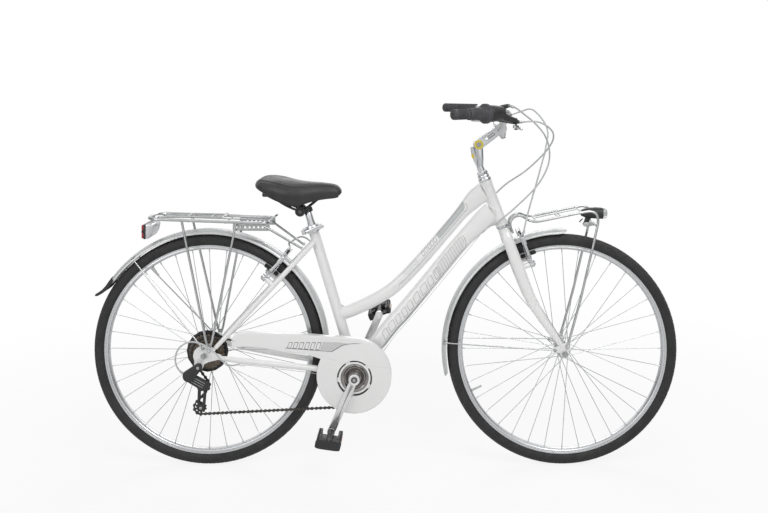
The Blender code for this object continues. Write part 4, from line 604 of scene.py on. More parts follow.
def curved(points, step):
    """Points about a step apart on a smooth curve through the given ones."""
    ends = [points[0] * 2 - points[1], *points, points[-1] * 2 - points[-2]]
    found = []
    for index in range(1, len(ends) - 2):
        before, start, end, after = ends[index - 1 : index + 3]
        count = max(1, round((end - start).length / step))
        for part in range(count):
            t = part / count
            straight = 2 * start + (end - before) * t
            square = (2 * before - 5 * start + 4 * end - after) * t**2
            cube = (3 * start - before - 3 * end + after) * t**3
            found.append((straight + square + cube) * 0.5)
    found.append(points[-1])
    return found


def rounded_corner(before, corner, after, radius, steps):
    """Points on a curve that cuts off a corner."""
    back, ahead = before - corner, after - corner
    cut = min(radius, back.length * 0.45, ahead.length * 0.45)
    start, end = corner + back.normalized() * cut, corner + ahead.normalized() * cut
    shares = [step / steps for step in range(steps + 1)]
    return [start * (1 - t) ** 2 + corner * 2 * t * (1 - t) + end * t**2 for t in shares]


def rounded_path(points, radius, steps=5):
    """A polyline with its corners rounded, as a bent tube has them."""
    found = [points[0]]
    for before, corner, after in zip(points, points[1:], points[2:]):
        found += rounded_corner(before, corner, after, radius, steps)
    found.append(points[-1])
    return found


def direction(points, index):
    """The direction of a path at one of its points."""
    ahead = points[min(index + 1, len(points) - 1)]
    behind = points[max(index - 1, 0)]
    return (ahead - behind).normalized()


def oval(centre, across, up, width, depth, sides):
    """Points on an oval from its centre, its two directions and its two full sizes."""
    turns = [2 * math.pi * side / sides for side in range(sides)]
    return [centre + across * math.cos(t) * width / 2 + up * math.sin(t) * depth / 2 for t in turns]


def pipe(points, radius, sides=16, radii=None):
    """A round bar along points, its rings carried along without a twist."""
    across = Y.copy()
    rings = []
    for index, point in enumerate(points):
        along = direction(points, index)
        flat = across - along * across.dot(along)
        if flat.length < 0.2:
            flat = along.cross(X if abs(along.x) < 0.8 else Z)
        across = flat.normalized()
        size = 2 * (radii[index] if radii else radius)
        rings.append(oval(point, across, along.cross(across), size, size, sides))
    return skin(rings)


def closed_pipe(points, radius, sides=14):
    """A round bar along a closed path."""
    rings = []
    for index, point in enumerate(points):
        along = (points[(index + 1) % len(points)] - points[index - 1]).normalized()
        flat = (Z - along * along.z).normalized()
        rings.append(oval(point, flat, along.cross(flat), 2 * radius, 2 * radius, sides))
    return skin(rings, closed_path=True)


def beam(stations, sides=32):
    """An oval tube through stations of centre, depth and width, the width across the bike."""
    centres = [centre for centre, _, _ in stations]
    rings = []
    for index, (centre, depth, width) in enumerate(stations):
        along = direction(centres, index)
        across = (Y - along * along.dot(Y)).normalized()
        rings.append(oval(centre, across, along.cross(across), width, depth, sides))
    return skin(rings)


def blended(stations, step):
    """Finer stations between the given ones, on smooth curves."""
    centres = curved([Vector(s[0]) for s in stations], step)
    sizes = curved([Vector((s[1], s[2], index)) for index, s in enumerate(stations)], 1e9)
    marks = [0.0]
    for first, second in zip(stations, stations[1:]):
        marks.append(marks[-1] + max(1, round((second[0] - first[0]).length / step)))
    found = []
    at = 0
    for index, centre in enumerate(centres):
        while at < len(marks) - 2 and index > marks[at + 1]:
            at += 1
        t = (index - marks[at]) / (marks[at + 1] - marks[at])
        t = t * t * (3 - 2 * t)
        size = sizes[at].lerp(sizes[at + 1], t)
        found.append((centre, size.x, size.y))
    return found


# %% Turned and flat parts
def lathe(profile, centre, axis=Y, steps=48, closed=False):
    """Points of (radius, place along the axis) turned about the axis."""
    z = axis.normalized()
    x = z.orthogonal().normalized()
    y = z.cross(x)
    rings = []
    for step in range(steps):
        turn = 2 * math.pi * step / steps
        out = x * math.cos(turn) + y * math.sin(turn)
        rings.append([centre + out * radius + z * along for radius, along in profile])
    count = len(profile)
    points = [point for ring in rings for point in ring]
    faces = []
    spans = count if closed else count - 1
    for row in range(steps):
        low = row * count
        high = (row + 1) % steps * count
        for index in range(spans):
            after = (index + 1) % count
            faces.append((low + index, low + after, high + after, high + index))
    return points, faces


def plate(outlines, thickness, origin, normal=-Y, up=Z, bevel=0.0):
    """A flat part from closed outlines of (across, up), where later outlines are holes."""
    curve = bpy.data.curves.new("outline", "CURVE")
    curve.dimensions = "2D"
    curve.fill_mode = "BOTH"
    curve.extrude = thickness / 2 - bevel
    curve.bevel_depth = bevel
    curve.bevel_resolution = 1
    curve.offset = -bevel
    for outline in outlines:
        spline = curve.splines.new("POLY")
        spline.points.add(len(outline) - 1)
        spline.use_cyclic_u = True
        for point, (across, along) in zip(spline.points, outline):
            point.co = (across, along, 0, 1)
    obj = linked("outline", curve)
    mesh = evaluated(obj)
    side = up.cross(normal).normalized()
    place = Matrix((side, up, side.cross(up))).transposed().to_4x4()
    place.translation = origin
    points = [place @ vert.co for vert in mesh.vertices]
    faces = [tuple(face.vertices) for face in mesh.polygons]
    bpy.data.objects.remove(obj)
    bpy.data.meshes.remove(mesh)
    return points, faces


def circle(radius, count, centre=(0, 0), start=0.0, end=360.0):
    """Points on an arc, without the last one where the arc is a full circle."""
    full = abs(end - start) >= 360
    found = []
    for index in range(count):
        turn = math.radians(start + (end - start) * index / (count if full else count - 1))
        found.append((centre[0] + radius * math.cos(turn), centre[1] + radius * math.sin(turn)))
    return found


def notched(reaches):
    """An outline through points at these distances from the middle, at even angles."""
    count = len(reaches)
    return [circle(reach, count)[index] for index, reach in enumerate(reaches)]


def hull(first, second, first_radius, second_radius, count=14):
    """The outline round two circles."""
    across, up = second[0] - first[0], second[1] - first[1]
    heading = math.degrees(math.atan2(up, across))
    lean = math.degrees(math.acos((first_radius - second_radius) / math.hypot(across, up)))
    near = circle(first_radius, count, first, heading + lean, heading + 360 - lean)
    far = circle(second_radius, count, second, heading - lean, heading + lean)
    return near + far


def softened(outline, radius, steps=4):
    """A flat outline with its corners rounded."""
    found = []
    count = len(outline)
    for index in range(count):
        near = [Vector(outline[place]) for place in (index - 1, index, (index + 1) % count)]
        found += [(point.x, point.y) for point in rounded_corner(*near, radius, steps)]
    return found


def pin(start, end, radius, sides=24, edge=0.6):
    """A short round bar with its ends eased."""
    axis = end - start
    length = axis.length
    ease = min(edge, radius * 0.4, length * 0.3)
    half = [(0, 0), (radius - ease, 0), (radius, ease)]
    profile = half + [(reach, length - place) for reach, place in reversed(half)]
    return lathe(profile, start, axis, sides)


def block(centre, size, tilt=0.0, ease=0.8):
    """A box with eased edges, turned about the crosswise axis."""
    shape = bmesh.new()
    bmesh.ops.create_cube(shape, size=1)
    bmesh.ops.scale(shape, vec=size, verts=shape.verts)
    bmesh.ops.bevel(
        shape, geom=list(shape.edges), offset=min(ease, min(size) * 0.3), segments=2, affect="EDGES"
    )
    turn = Matrix.Translation(centre) @ Matrix.Rotation(math.radians(tilt), 4, Y)
    points = [turn @ vert.co for vert in shape.verts]
    faces = [tuple(vert.index for vert in face.verts) for face in shape.faces]
    shape.free()
    return points, faces


print("helpers ready")

# %% [markdown]
# ## Trees that repeat a shape
#
# A wheel has thirty-six spokes and some hundred and eighty tread blocks, and a chain
# has over a hundred links. Drawing each one would be tedious, and copying them by hand
# is easy to get wrong. Geometry Nodes repeat one shape instead. One tree turns copies
# round an axle, another sets them along a path. Both end in Realize Instances, and the
# result is kept as a plain mesh, like any other piece.

# %% Helpers for Geometry Nodes trees
def new_tree(name, sockets):
    """A Geometry Nodes tree, its named inputs, and what they give inside the tree."""
    tree = bpy.data.node_groups.new(name, "GeometryNodeTree")
    found = {}
    for label, kind in {"Geometry": "Geometry", **sockets}.items():
        found[label] = tree.interface.new_socket(label, in_out="INPUT", socket_type="NodeSocket" + kind)
    tree.interface.new_socket("Geometry", in_out="OUTPUT", socket_type="NodeSocketGeometry")
    return tree, found, new_node(tree, "NodeGroupInput").outputs


def ended(tree, geometry, finish_input):
    """Ends a tree by making its copies real and giving them their finish."""
    real = new_node(tree, "GeometryNodeRealizeInstances", {0: geometry}).outputs[0]
    inputs = {"Geometry": real, "Material": finish_input}
    painted = new_node(tree, "GeometryNodeSetMaterial", inputs).outputs[0]
    new_node(tree, "NodeGroupOutput", {0: painted})


def grown(obj, tree, sockets, values, sharp=SHARP):
    """Runs a tree on an object and keeps the result as the object's own plain mesh."""
    modifier = obj.modifiers.new("grown", "NODES")
    modifier.node_group = tree
    for label, value in values.items():
        modifier[sockets[label].identifier] = value
    mesh = evaluated(obj)
    obj.modifiers.clear()
    obj.data = mesh
    return smoothed(obj, sharp)


# %% The tree that repeats a shape round an axle
round_inputs = {"Count": "Int", "Axle": "Vector", "Finish": "Material"}
round_tree, round_inputs, start = new_tree("repeat_round", round_inputs)
away = new_node(round_tree, "ShaderNodeVectorMath", {0: start["Axle"], "Scale": -1}, operation="SCALE")
inputs = {"Geometry": start["Geometry"], "Translation": away.outputs[0]}
centred = new_node(round_tree, "GeometryNodeTransform", inputs)
inputs = {"Count": start["Count"], "Start Location": start["Axle"], "Offset": (0, 0, 0)}
copies = new_node(round_tree, "GeometryNodeMeshLine", inputs)
order = new_node(round_tree, "GeometryNodeInputIndex").outputs[0]
share = math_node(round_tree, "DIVIDE", order, start["Count"])
turn = math_node(round_tree, "MULTIPLY", share, 2 * math.pi)
turn_about_y = new_node(round_tree, "ShaderNodeCombineXYZ", {"Y": turn}).outputs[0]
inputs = {"Points": copies.outputs[0], "Instance": centred.outputs[0], "Rotation": turn_about_y}
copied = new_node(round_tree, "GeometryNodeInstanceOnPoints", inputs)
ended(round_tree, copied.outputs[0], start["Finish"])


def repeated_round(name, parts, count, axle, paint, sharp=SHARP):
    values = {"Count": count, "Axle": axle * MM, "Finish": finishes[paint]}
    return grown(meshed(name, parts), round_tree, round_inputs, values, sharp)


# %% The tree that sets shapes along a path
path_inputs = {"Even Shape": "Object", "Odd Shape": "Object", "Count": "Int", "Finish": "Material"}
path_tree, path_inputs, start = new_tree("repeat_along", path_inputs)
as_curve = new_node(path_tree, "GeometryNodeMeshToCurve", {0: start["Geometry"]}).outputs[0]
inputs = {"Curve": as_curve, "Count": start["Count"]}
even_steps = new_node(path_tree, "GeometryNodeResampleCurve", inputs).outputs[0]
tangent = new_node(path_tree, "GeometryNodeInputTangent").outputs[0]
facing = new_node(path_tree, "FunctionNodeAlignRotationToVector", {"Vector": tangent}, axis="X")
order = new_node(path_tree, "GeometryNodeInputIndex").outputs[0]
odd = math_node(path_tree, "MODULO", order, 2.0)
even = math_node(path_tree, "SUBTRACT", 1.0, odd)
joined = new_node(path_tree, "GeometryNodeJoinGeometry")
for label, wanted in (("Even Shape", even), ("Odd Shape", odd)):
    shape_info = new_node(path_tree, "GeometryNodeObjectInfo", {"Object": start[label]})
    inputs = {"Points": even_steps, "Selection": wanted, "Instance": shape_info.outputs["Geometry"]}
    inputs["Rotation"] = facing.outputs[0]
    copied = new_node(path_tree, "GeometryNodeInstanceOnPoints", inputs)
    path_tree.links.new(copied.outputs[0], joined.inputs[0])
ended(path_tree, joined.outputs[0], start["Finish"])


def repeated_along(name, path, shapes, count, paint, closed=False, sharp=SHARP):
    """Sets the shapes, which face along X, in turn along a path of points."""
    mesh = bpy.data.meshes.new(name)
    links = [(index, index + 1) for index in range(len(path) - 1)]
    if closed:
        links.append((len(path) - 1, 0))
    mesh.from_pydata([point * MM for point in path], links, [])
    obj = linked(name, mesh)
    models = [meshed(name + "_shape", parts) for parts in shapes]
    values = {
        "Even Shape": models[0], "Odd Shape": models[-1], "Count": count, "Finish": finishes[paint]
    }
    grown(obj, path_tree, path_inputs, values, sharp)
    for model in models:
        bpy.data.objects.remove(model)
    return obj


print("trees:", round_tree.name, path_tree.name)

# %% [markdown]
# ## Tyres
#
# A city tyre has a smooth sidewall and a shallow tread of slanted blocks. The carcass
# is one profile turned round the hub. For the tread, four blocks are drawn at one
# place, and the tree repeats them ninety times. Each block follows the round of the
# section, so it sits on the carcass all along.

# %% Tyres with a slanted tread
SECTION_RADIUS = 19.0
FULLNESS = 1.09
TREAD_DEPTH = 0.9
TREAD_REPEATS = 90


def on_section(hub, radius, lean, turn):
    """A point of the tyre's section, lean degrees from its crown, turn degrees round the hub."""
    reach = TYRE_RADIUS - SECTION_RADIUS + radius * math.cos(math.radians(lean))
    return around(hub, reach, turn, FULLNESS * radius * math.sin(math.radians(lean)))


def tread_block(hub, leans, turns, width):
    """A raised strip from one lean and turn to another."""
    rings = []
    for step in range(5):
        share = step / 4
        lean = leans[0] + (leans[1] - leans[0]) * share
        turn = turns[0] + (turns[1] - turns[0]) * share
        top = SECTION_RADIUS if 0 < step < 4 else SECTION_RADIUS - 0.25
        ring = []
        for radius, half in (
            (17.6, width / 2), (top, width / 2 - 0.07), (top, 0.07 - width / 2), (17.6, -width / 2)
        ):
            ring.append(on_section(hub, radius, lean, turn + half))
        rings.append(ring)
    return skin(rings)


def tyre(name, hub, body):
    profile = []
    for radius, order, count in ((SECTION_RADIUS - TREAD_DEPTH, 1, 31), (15.6, -1, 9)):
        centre = TYRE_RADIUS - SECTION_RADIUS
        lowest = math.degrees(math.asin((centre - RIM_RADIUS - 0.2) / radius))
        arc = []
        for index in range(count):
            lean = -90 - lowest + (180 + 2 * lowest) * index / (count - 1)
            ridge = 0.45 if count > 9 and abs(abs(lean) - 112) < 4 else 0.0
            ridge = 0.3 if count > 9 and abs(abs(lean) - 76) < 3 else ridge
            reach = radius + ridge
            across = FULLNESS * reach * math.sin(math.radians(lean))
            arc.append((centre + reach * math.cos(math.radians(lean)), across))
        profile += arc[::order]
    carcass = piece(
        name + "_carcass", [
            lathe(profile, hub, Y, 120, closed=True)
        ], "tread_rubber", body, name, slot="tyre_rubber"
    )
    pitch = 360 / TREAD_REPEATS
    blocks = []
    for side in (RIGHT, LEFT):
        shift = pitch / 2 if side == LEFT else 0
        blocks.append(tread_block(hub, (side * 33, side * 60), (shift + 0.2, shift + 2.0), 2.7))
        blocks.append(tread_block(hub, (side * 3, side * 28), (shift - 1.4, shift + 0.2), 2.9))
    tread = repeated_round(name + "_tread", blocks, TREAD_REPEATS, hub, "tread_rubber", 30)
    placed(tread, "tread_rubber", body, slot="tyre_rubber")
    print(name, "faces:", len(carcass.data.polygons), "+", len(tread.data.polygons))


tyre("rear_tyre", REAR_HUB, "rear_wheel")
tyre("front_tyre", FRONT_HUB, "front_wheel")

# %% [markdown]
# ## Rims
#
# The rim is an aluminium channel with two flat tracks for the brake pads. A turned
# profile gives its rounded inner side, the hooked lips that hold the tyre and the fine
# groove that shows how far the track has worn.

# %% Rims
def rim(name, hub, body):
    half = [
        (317.0, 11.3), (316.4, 12.0), (311.6, 12.0), (311.3, 11.7), (310.9, 12.0), (307.0, 12.0),
        (305.8, 11.3), (303.6, 7.5), (302.1, 3.6)
    ]
    lip = [(309.2, 3.0), (310.0, 8.0), (312.5, 10.3), (315.2, 10.2), (316.8, 10.5)]
    profile = [*lip, *half, (301.6, 0)]
    profile += [(reach, -across) for reach, across in reversed([*lip, *half])]
    made = piece(
        name + "_channel", [lathe(profile, hub, Y, 144, closed=True)], "polished_rim", body, name,
        slot="bare_aluminium"
    )
    print(name, "faces:", len(made.data.polygons))


rim("rear_rim", REAR_HUB, "rear_wheel")
rim("front_rim", FRONT_HUB, "front_wheel")

# %% [markdown]
# ## Spokes and nipples
#
# Thirty-six spokes run from the hub's flanges to the rim, each crossing three others.
# They leave the flange by turns forwards and backwards, and by turns from its two
# faces, so the pattern comes back every four spokes. Four spokes are drawn and
# repeated nine times. A spoke ends in a bend at the flange and in a nipple at the rim.

# %% Spokes, nipples and valves
def spoked(name, hub, flanges, flange_radius, body):
    wires = []
    nipples = []
    for index in range(4):
        flange = flanges[index % 2]
        trailing = -1 if index % 4 < 2 else 1
        turn = index * 10 + trailing * 60
        hole = flange_radius - 4.0
        bend = around(hub, hole, turn, flange + trailing * 4.4)
        head = around(hub, hole, turn, flange - trailing * 4.6)
        end = around(hub, 303.0, index * 10, math.copysign(2.0, flange))
        along = (end - bend).normalized()
        route = [head, head.lerp(bend, 0.8), bend + along * 1.6, bend + along * 6, end - along * 3]
        wires.append(pipe(route, 1.0, 8))
        wires.append(pin(head + Y * trailing * 0.4, head - Y * trailing * 1.2, 2.0, 10, 0.4))
        profile = ((0, 0), (1.35, 0), (1.75, 1.0), (1.75, 8.0), (2.6, 9.4), (2.6, 10.6), (0, 10.6))
        nipples.append(lathe(profile, end - along * 10.5, along, 10))
    made = repeated_round(name + "_spokes", wires, 9, hub, "spoke_steel", 50)
    placed(made, "spoke_steel", body, slot="bright_chrome")
    made = repeated_round(name + "_nipples", nipples, 9, hub, "bare_aluminium", 50)
    placed(made, "bare_aluminium", body, slot="bright_chrome")


spoked("rear", REAR_HUB, (34.0, -18.0), 22.5, "rear_wheel")
spoked("front", FRONT_HUB, (33.0, -33.0), 19.5, "front_wheel")


def valve(name, hub, angle, body):
    """A rubber-covered valve with a cap, pointing at the hub."""
    out = around(Vector(), 1, angle)
    stem = ((0, 302), (4.6, 302), (4.6, 300), (3.4, 299), (3.2, 284), (2.6, 283), (2.6, 276), (0, 276))
    cap = ((0, 277.5), (3.0, 277.5), (3.1, 271), (2.4, 269.6), (0, 269.4))
    parts = [lathe(stem, hub, out, 16), lathe(cap, hub, out, 16)]
    piece(name, parts, "pale_boot", body, slot="tyre_rubber")


valve("rear_valve", REAR_HUB, 125, "rear_wheel")
valve("front_valve", FRONT_HUB, 205, "front_wheel")

# %% [markdown]
# ## Hubs
#
# A hub shell is turned metal: a slim barrel between two flanges that carry the spokes.
# The axle stays a separate solid, because it stands still while the shell turns.

# %% Hubs
def flange(place, barrel, radius, side):
    """The profile of one flange, in the order from the outer face to the inner for a positive side."""
    points = [
        (barrel - 3, place + side * 6), (barrel, place + side * 3.5), (radius - 2, place + side * 2.6),
        (radius - 0.6, place + side * 2.0), (radius, place), (radius - 0.6, place - side * 2.0),
        (radius - 2, place - side * 2.6), (barrel + 1, place - side * 3.6), (barrel, place - side * 6)
    ]
    return points


def hub_shell(name, hub, left, right, barrel, radius, half, body):
    profile = [
        (AXLE_HOLE, half), (8.2, half), (8.5, half - 0.6), (8.5, half - 5), (10.5, left + 8),
        (12.4, left + 7.6)
    ]
    profile += flange(left, barrel, radius, 1)
    profile += [(barrel - 2.4, left - 14), (barrel - 3, (left + right) / 2), (barrel - 2.4, right + 14)]
    profile += [(reach, place) for reach, place in reversed(flange(right, barrel, radius, -1))]
    if name == "rear_hub":
        profile += [(14, right - 8), (14, -49), (8.5, -52), (8.5, 0.6 - half)]
    else:
        profile += [(12.4, right - 7.6), (10.5, right - 8), (8.5, 5 - half), (8.5, 0.6 - half)]
    profile += [(8.2, -half), (AXLE_HOLE, -half)]
    shell = piece(
        name + "_shell", [lathe(profile, hub, Y, 56, closed=True)], "chrome_plate", body, name,
        slot="bright_chrome"
    )
    print(name, "faces:", len(shell.data.polygons))


hub_shell("rear_hub", REAR_HUB, 34.0, -18.0, 13.5, 22.5, 65.7, "rear_wheel")
hub_shell("front_hub", FRONT_HUB, 33.0, -33.0, 13.5, 19.5, 49.7, "front_wheel")

# %% [markdown]
# ## Frame tubes
#
# The frame is low in the middle, so that a rider can step through. Its down tube and
# top tube are oval and bend on the way, and both reach the head tube by widening. Each
# is a row of ovals on a smooth curve through the places where the tube bends.

# %% The down tube and the top tube
def tube_stations(points, step, depth_at, width_at):
    """Ovals on a smooth path, their sizes given by the share of the length from the head."""
    route = curved(points, step)
    lengths = [0.0]
    for first, second in zip(route, route[1:]):
        lengths.append(lengths[-1] + (second - first).length)
    return [
        (point, depth_at(length / lengths[-1]), width_at(length / lengths[-1])) for point,
        length in zip(route, lengths)
    ]


def eased(value):
    value = min(1.0, max(0.0, value))
    return value * value * (3 - 2 * value)


down_points = [
    fork(HEAD_LOW + 50) + Vector((-12, 0, -9)),
    front(-221, 0, 408),
    front(-302, 0, 328),
    front(-411, 0, 196),
    front(-484, 0, 109),
    bracket(104, 0, 137),
    bracket(20, 0, 28),
    bracket(11, 0, 17),
]
down_stations = tube_stations(
    down_points,
    8,
    lambda t: 50.0 - 9.0 * eased((t - 0.86) / 0.14) + 14.0 * eased(1 - t / 0.2),
    lambda t: 40.0 - 7.0 * eased(1 - t / 0.12),
)
piece(
    "down_tube_beam", [beam(down_stations, 40)], "white_enamel", "frame", "down_tube",
    slot="painted_frame"
)

top_points = [
    fork(HEAD_HIGH - 28) + Vector((-14, 0, -9)),
    front(-257, 0, 462),
    front(-298, 0, 420),
    front(-335, 0, 376.5),
    front(-397, 0, 304),
    front(-438, 0, 258),
    bracket(146.4, 0, 284.5),
    bracket(100.4, 0, 244.5),
    bracket(43.4, 0, 211.5),
    bracket(-11.6, 0, 186.5),
    bracket(-30, 0, 180),
]
top_stations = tube_stations(
    top_points, 8, lambda t: 38.0 + 22.0 * eased(1 - t / 0.2), lambda t: 30.0
)


def coped(part, count, centre, axis, reach):
    """Slides the last ring of a beam along it until each point is this far from a round tube's axis."""
    points, faces = part
    first = len(points) - count
    along = (points[first] - points[first - count]).normalized()
    for index in range(first, len(points)):
        point = points[index]
        flat = Vector((-axis.z, 0, axis.x))
        ahead = abs(along.dot(flat))
        wanted = math.sqrt(max(0.0, reach**2 - (point - centre).dot(Y) ** 2))
        gap = (centre - point).dot(flat) * (1 if along.dot(flat) > 0 else -1)
        points[index] = point + along * ((gap - wanted) / ahead)
    return points, faces


gusset = [(-8, 4), (47, -11), (44, -6), (10, 12), (-8, 38), (-16, 42)]
parts = [
    coped(beam(top_stations, 40), 40, BRACKET, SEAT_UP, 14.9),
    plate([gusset], 7, bracket(-50, 0, 180), bevel=1.2)
]
piece("top_tube_beam", parts, "white_enamel", "frame", "top_tube", slot="painted_frame")
print("stations:", len(down_stations), len(top_stations))

# %% [markdown]
# ## Head tube, seat tube and bottom bracket
#
# These three are round tubes. Turned profiles give the head tube its collars, the seat
# tube its open top, and the bracket its shell with the rings that lock the bearings.

# %% Round tubes of the frame
head_profile = [
    (13.4, HEAD_LOW), (19.0, HEAD_LOW), (19.2, HEAD_LOW + 0.8), (19.2, HEAD_LOW + 11),
    (18.0, HEAD_LOW + 14), (18.0, HEAD_HIGH - 14), (19.2, HEAD_HIGH - 11), (19.2, HEAD_HIGH - 0.8),
    (19.0, HEAD_HIGH), (13.4, HEAD_HIGH)
]
piece(
    "head_tube_shell", [lathe(head_profile, fork(0), STEER_UP, 56, closed=True)], "white_enamel",
    "frame", "head_tube", slot="painted_frame"
)

seat_profile = [(13.9, 120), (13.9, 459), (15.4, 459), (15.9, 458.4), (15.9, 15), (0, 15), (0, 120)]
piece(
    "seat_tube_shell", [lathe(seat_profile, BRACKET, SEAT_UP, 48)], "white_enamel", "frame",
    "seat_tube", slot="painted_frame"
)

shell_profile = [(9.2, 34), (19.4, 34), (20.0, 33.4), (20.0, -33.4), (19.4, -34), (9.2, -34)]
piece(
    "bracket_shell", [lathe(shell_profile, BRACKET, Y, 56, closed=True)], "white_enamel", "frame",
    "bottom_bracket_shell", slot="painted_frame"
)


def lock_ring(side):
    """A notched ring that holds a bearing cup in the bracket."""
    outline = notched([21.4, 21.4, 21.4, 21.4, 19.6, 19.6] * 6)
    ring_part = plate([outline, circle(9.4, 28)], 4.0, bracket(0, side * 36.2, 0), bevel=0.5)
    cup = lathe(
        [(9.4, 34), (17.5, 34), (17.5, 40), (16.0, 41), (9.4, 41)], BRACKET, Y * side, 40, closed=True
    )
    return [ring_part, cup]


piece("bearing_cups", lock_ring(RIGHT) + lock_ring(LEFT), "zinc_plate", "frame", slot="painted_frame")


# %% [markdown]
# ## Weld beads
#
# Where two tubes meet, the real frame has a bead of weld under the paint. A thin
# rounded collar on the line where the surfaces cross gives that soft step. Its points
# come from sliding along one tube's wall until the other tube's wall is reached.

# %% Beads along the joints
BEAD_POINTS = 40
BEAD_RADIUS = 1.9


def bead(start, along, depth, width, centre, axis, radius):
    """A rounded rope where an oval tube from start along a direction meets a round tube."""
    across = (Y - along * along.dot(Y)).normalized()
    up = along.cross(across)
    route = []
    for point in oval(start, across, up, width, depth, BEAD_POINTS):
        offset = point - centre
        offset -= axis * offset.dot(axis)
        slope = along - axis * along.dot(axis)
        square = slope.dot(slope)
        middle = offset.dot(slope)
        reach = middle * middle - square * (offset.dot(offset) - radius * radius)
        if reach < 0:
            return None
        route.append(point + along * (-middle - math.sqrt(reach)) / square)
    rings = []
    for index, point in enumerate(route):
        ahead = (route[(index + 1) % BEAD_POINTS] - route[index - 1]).normalized()
        outward = (point - centre - axis * (point - centre).dot(axis)).normalized()
        flat = (outward - ahead * outward.dot(ahead)).normalized()
        rings.append(oval(point, flat, ahead.cross(flat), 2 * BEAD_RADIUS, 2 * BEAD_RADIUS, 8))
    return skin(rings, closed_path=True)


head_axis = (fork(0), STEER_UP, 18.0)
seat_axis = (BRACKET, SEAT_UP, 15.9)
beads = []
for stations, (centre, axis, radius), near_end in (
    (down_stations, head_axis, True), (top_stations, head_axis, True), (top_stations, seat_axis, False)
):
    picked = stations[3] if near_end else stations[-4]
    other = stations[0] if near_end else stations[-1]
    along = (other[0] - picked[0]).normalized()
    found = bead(picked[0], along, picked[1], picked[2], centre, axis, radius)
    if found:
        beads.append(found)
piece("weld_beads", beads, "white_enamel", "frame", slot="painted_frame", sharp=60)
print("beads:", len(beads))

# %% [markdown]
# ## Stays and fork ends
#
# The stays are thin round tubes. Each narrows towards the fork end, a flat plate with a
# slot or a hole for the axle and small eyes for the fender and the rack. The plates
# are flat outlines with holes, given a thickness and an eased edge.

# %% Stays
def stay_tube(points, step, thick, thin, narrow_from):
    """A round tube that narrows over its last stretch."""
    route = curved(points, step)
    radii = []
    for index in range(len(route)):
        share = index / (len(route) - 1)
        radii.append(thick + (thin - thick) * eased((share - narrow_from) / (1 - narrow_from)))
    return pipe(route, thick, 24, radii)


def fork_end(side):
    outline = [
        (-28, -17), (-33, -2), (-29, 14), (-19, 25), (-7, 29), (8, 30), (24, 26), (30, 8), (52, 2),
        (52, -10), (16, -18)
    ]
    if side == RIGHT:
        outline += [(0, -25), (-4, -40), (-24, -42), (-30, -27)]
    holes = [circle(AXLE_HOLE, 24), circle(EYE_HOLE, 14, (-3, 23)), circle(EYE_HOLE, 14, (16, 17))]
    if side == RIGHT:
        holes.append(circle(4.0, 16, (-15, -32)))
    return plate([softened(outline, 6), *holes], 5.0, rear(0, side * REAR_END_ACROSS, 0), bevel=0.7)


BOSS_DROP = 24.0
STUD_PLACE = math.sqrt(PAD_TRACK**2 - REAR_BRAKE_BACK**2) - BOSS_DROP
for side, label in SIDES:
    points = [
        bracket(-17, side * 24, 4), bracket(-60, side * 29, 10), bracket(-120, side * 37, 22),
        rear(236, side * 46, -36), rear(96, side * 61, -16), rear(40, side * 68, -6)
    ]
    parts = [stay_tube(points, 14, 9.0, 6.6, 0.72), fork_end(side)]
    if side == RIGHT:
        stop = rear(112, side * 60, -30)
        ahead = Vector((8, 0, -1.0))
        parts.append(
            lathe(
                [(2.9, -8), (4.4, -8), (4.8, -7.4), (4.8, 7.4), (4.4, 8), (2.9, 8)], stop, ahead, 20,
                closed=True
            )
        )
        parts.append(pin(rear(112, side * 60, -28), rear(112, side * 60, -20), 2.6, 12))
    piece(
        label + "_chain_stay_tube", parts, "white_enamel", "frame", label + "_chain_stay",
        slot="painted_frame"
    )

parts = []
for side, label in SIDES:
    points = [
        stay(40, y=side * 68.2), stay(62, y=side * 65), stay(150, y=side * 56), stay(245, y=side * 46),
        stay(330, y=side * 39.5), stay(378, y=side * 36), stay(430, y=side * 27), stay(458, y=side * 20)
    ]
    parts.append(stay_tube(points[::-1], 14, 8.0, 6.4, 0.8))
    parts.append(block(stay(33, y=side * REAR_END_ACROSS), (36, 4.6, 10), -46.8, 1.5))
print("stays ready, stud at", round(STUD_PLACE, 1))


# %% Brake bosses and the bridge
def boss(place, root, face, side):
    """A welded boss with the pin that a brake arm turns on and the bolt at its end."""
    across = side * BOSS_ACROSS
    base = place(STUD_PLACE, root, across)
    foot = place(STUD_PLACE, face - 7.3, across)
    tip = place(STUD_PLACE, face + 10.3, across)
    along = (tip - foot).normalized()
    length = (foot - base).length
    profile = [(0, 0), (8, 0), (8, length - 1), (7.4, length), (0, length)]
    parts = [lathe(profile, base, along, 28), pin(foot - along, tip - along * 2, 5.0, 24)]
    bolt = lathe(
        [(0, 0), (6.6, 0), (7.0, 0.5), (7.0, 2.4), (6.2, 3.0), (2.6, 3.0), (2.4, 1.4), (0, 1.4)],
        tip - along * 3, along, 28
    )
    return parts, bolt


bolts = []
for side, label in SIDES:
    more, bolt = boss(stay, -9.0, REAR_BRAKE_BACK, side)
    parts += more
    bolts.append(bolt)
bridge = FENDER_RADIUS + 19.0
parts.append(pipe([stay(bridge, y=y) for y in (-36, -20, 20, 36)], 7.0, 24))
piece("seat_stay_tubes", parts, "white_enamel", "frame", "seat_stays", slot="painted_frame")
piece("rear_boss_bolts", bolts, "chrome_plate", "frame", slot="painted_frame")

# %% [markdown]
# ## Fork
#
# The fork is one welded part: a steerer inside the head tube, a crown across the wheel
# and two blades that narrow and bend forward to the axle. A blade is a row of ovals
# through the same places as the solid, on a smoother curve.

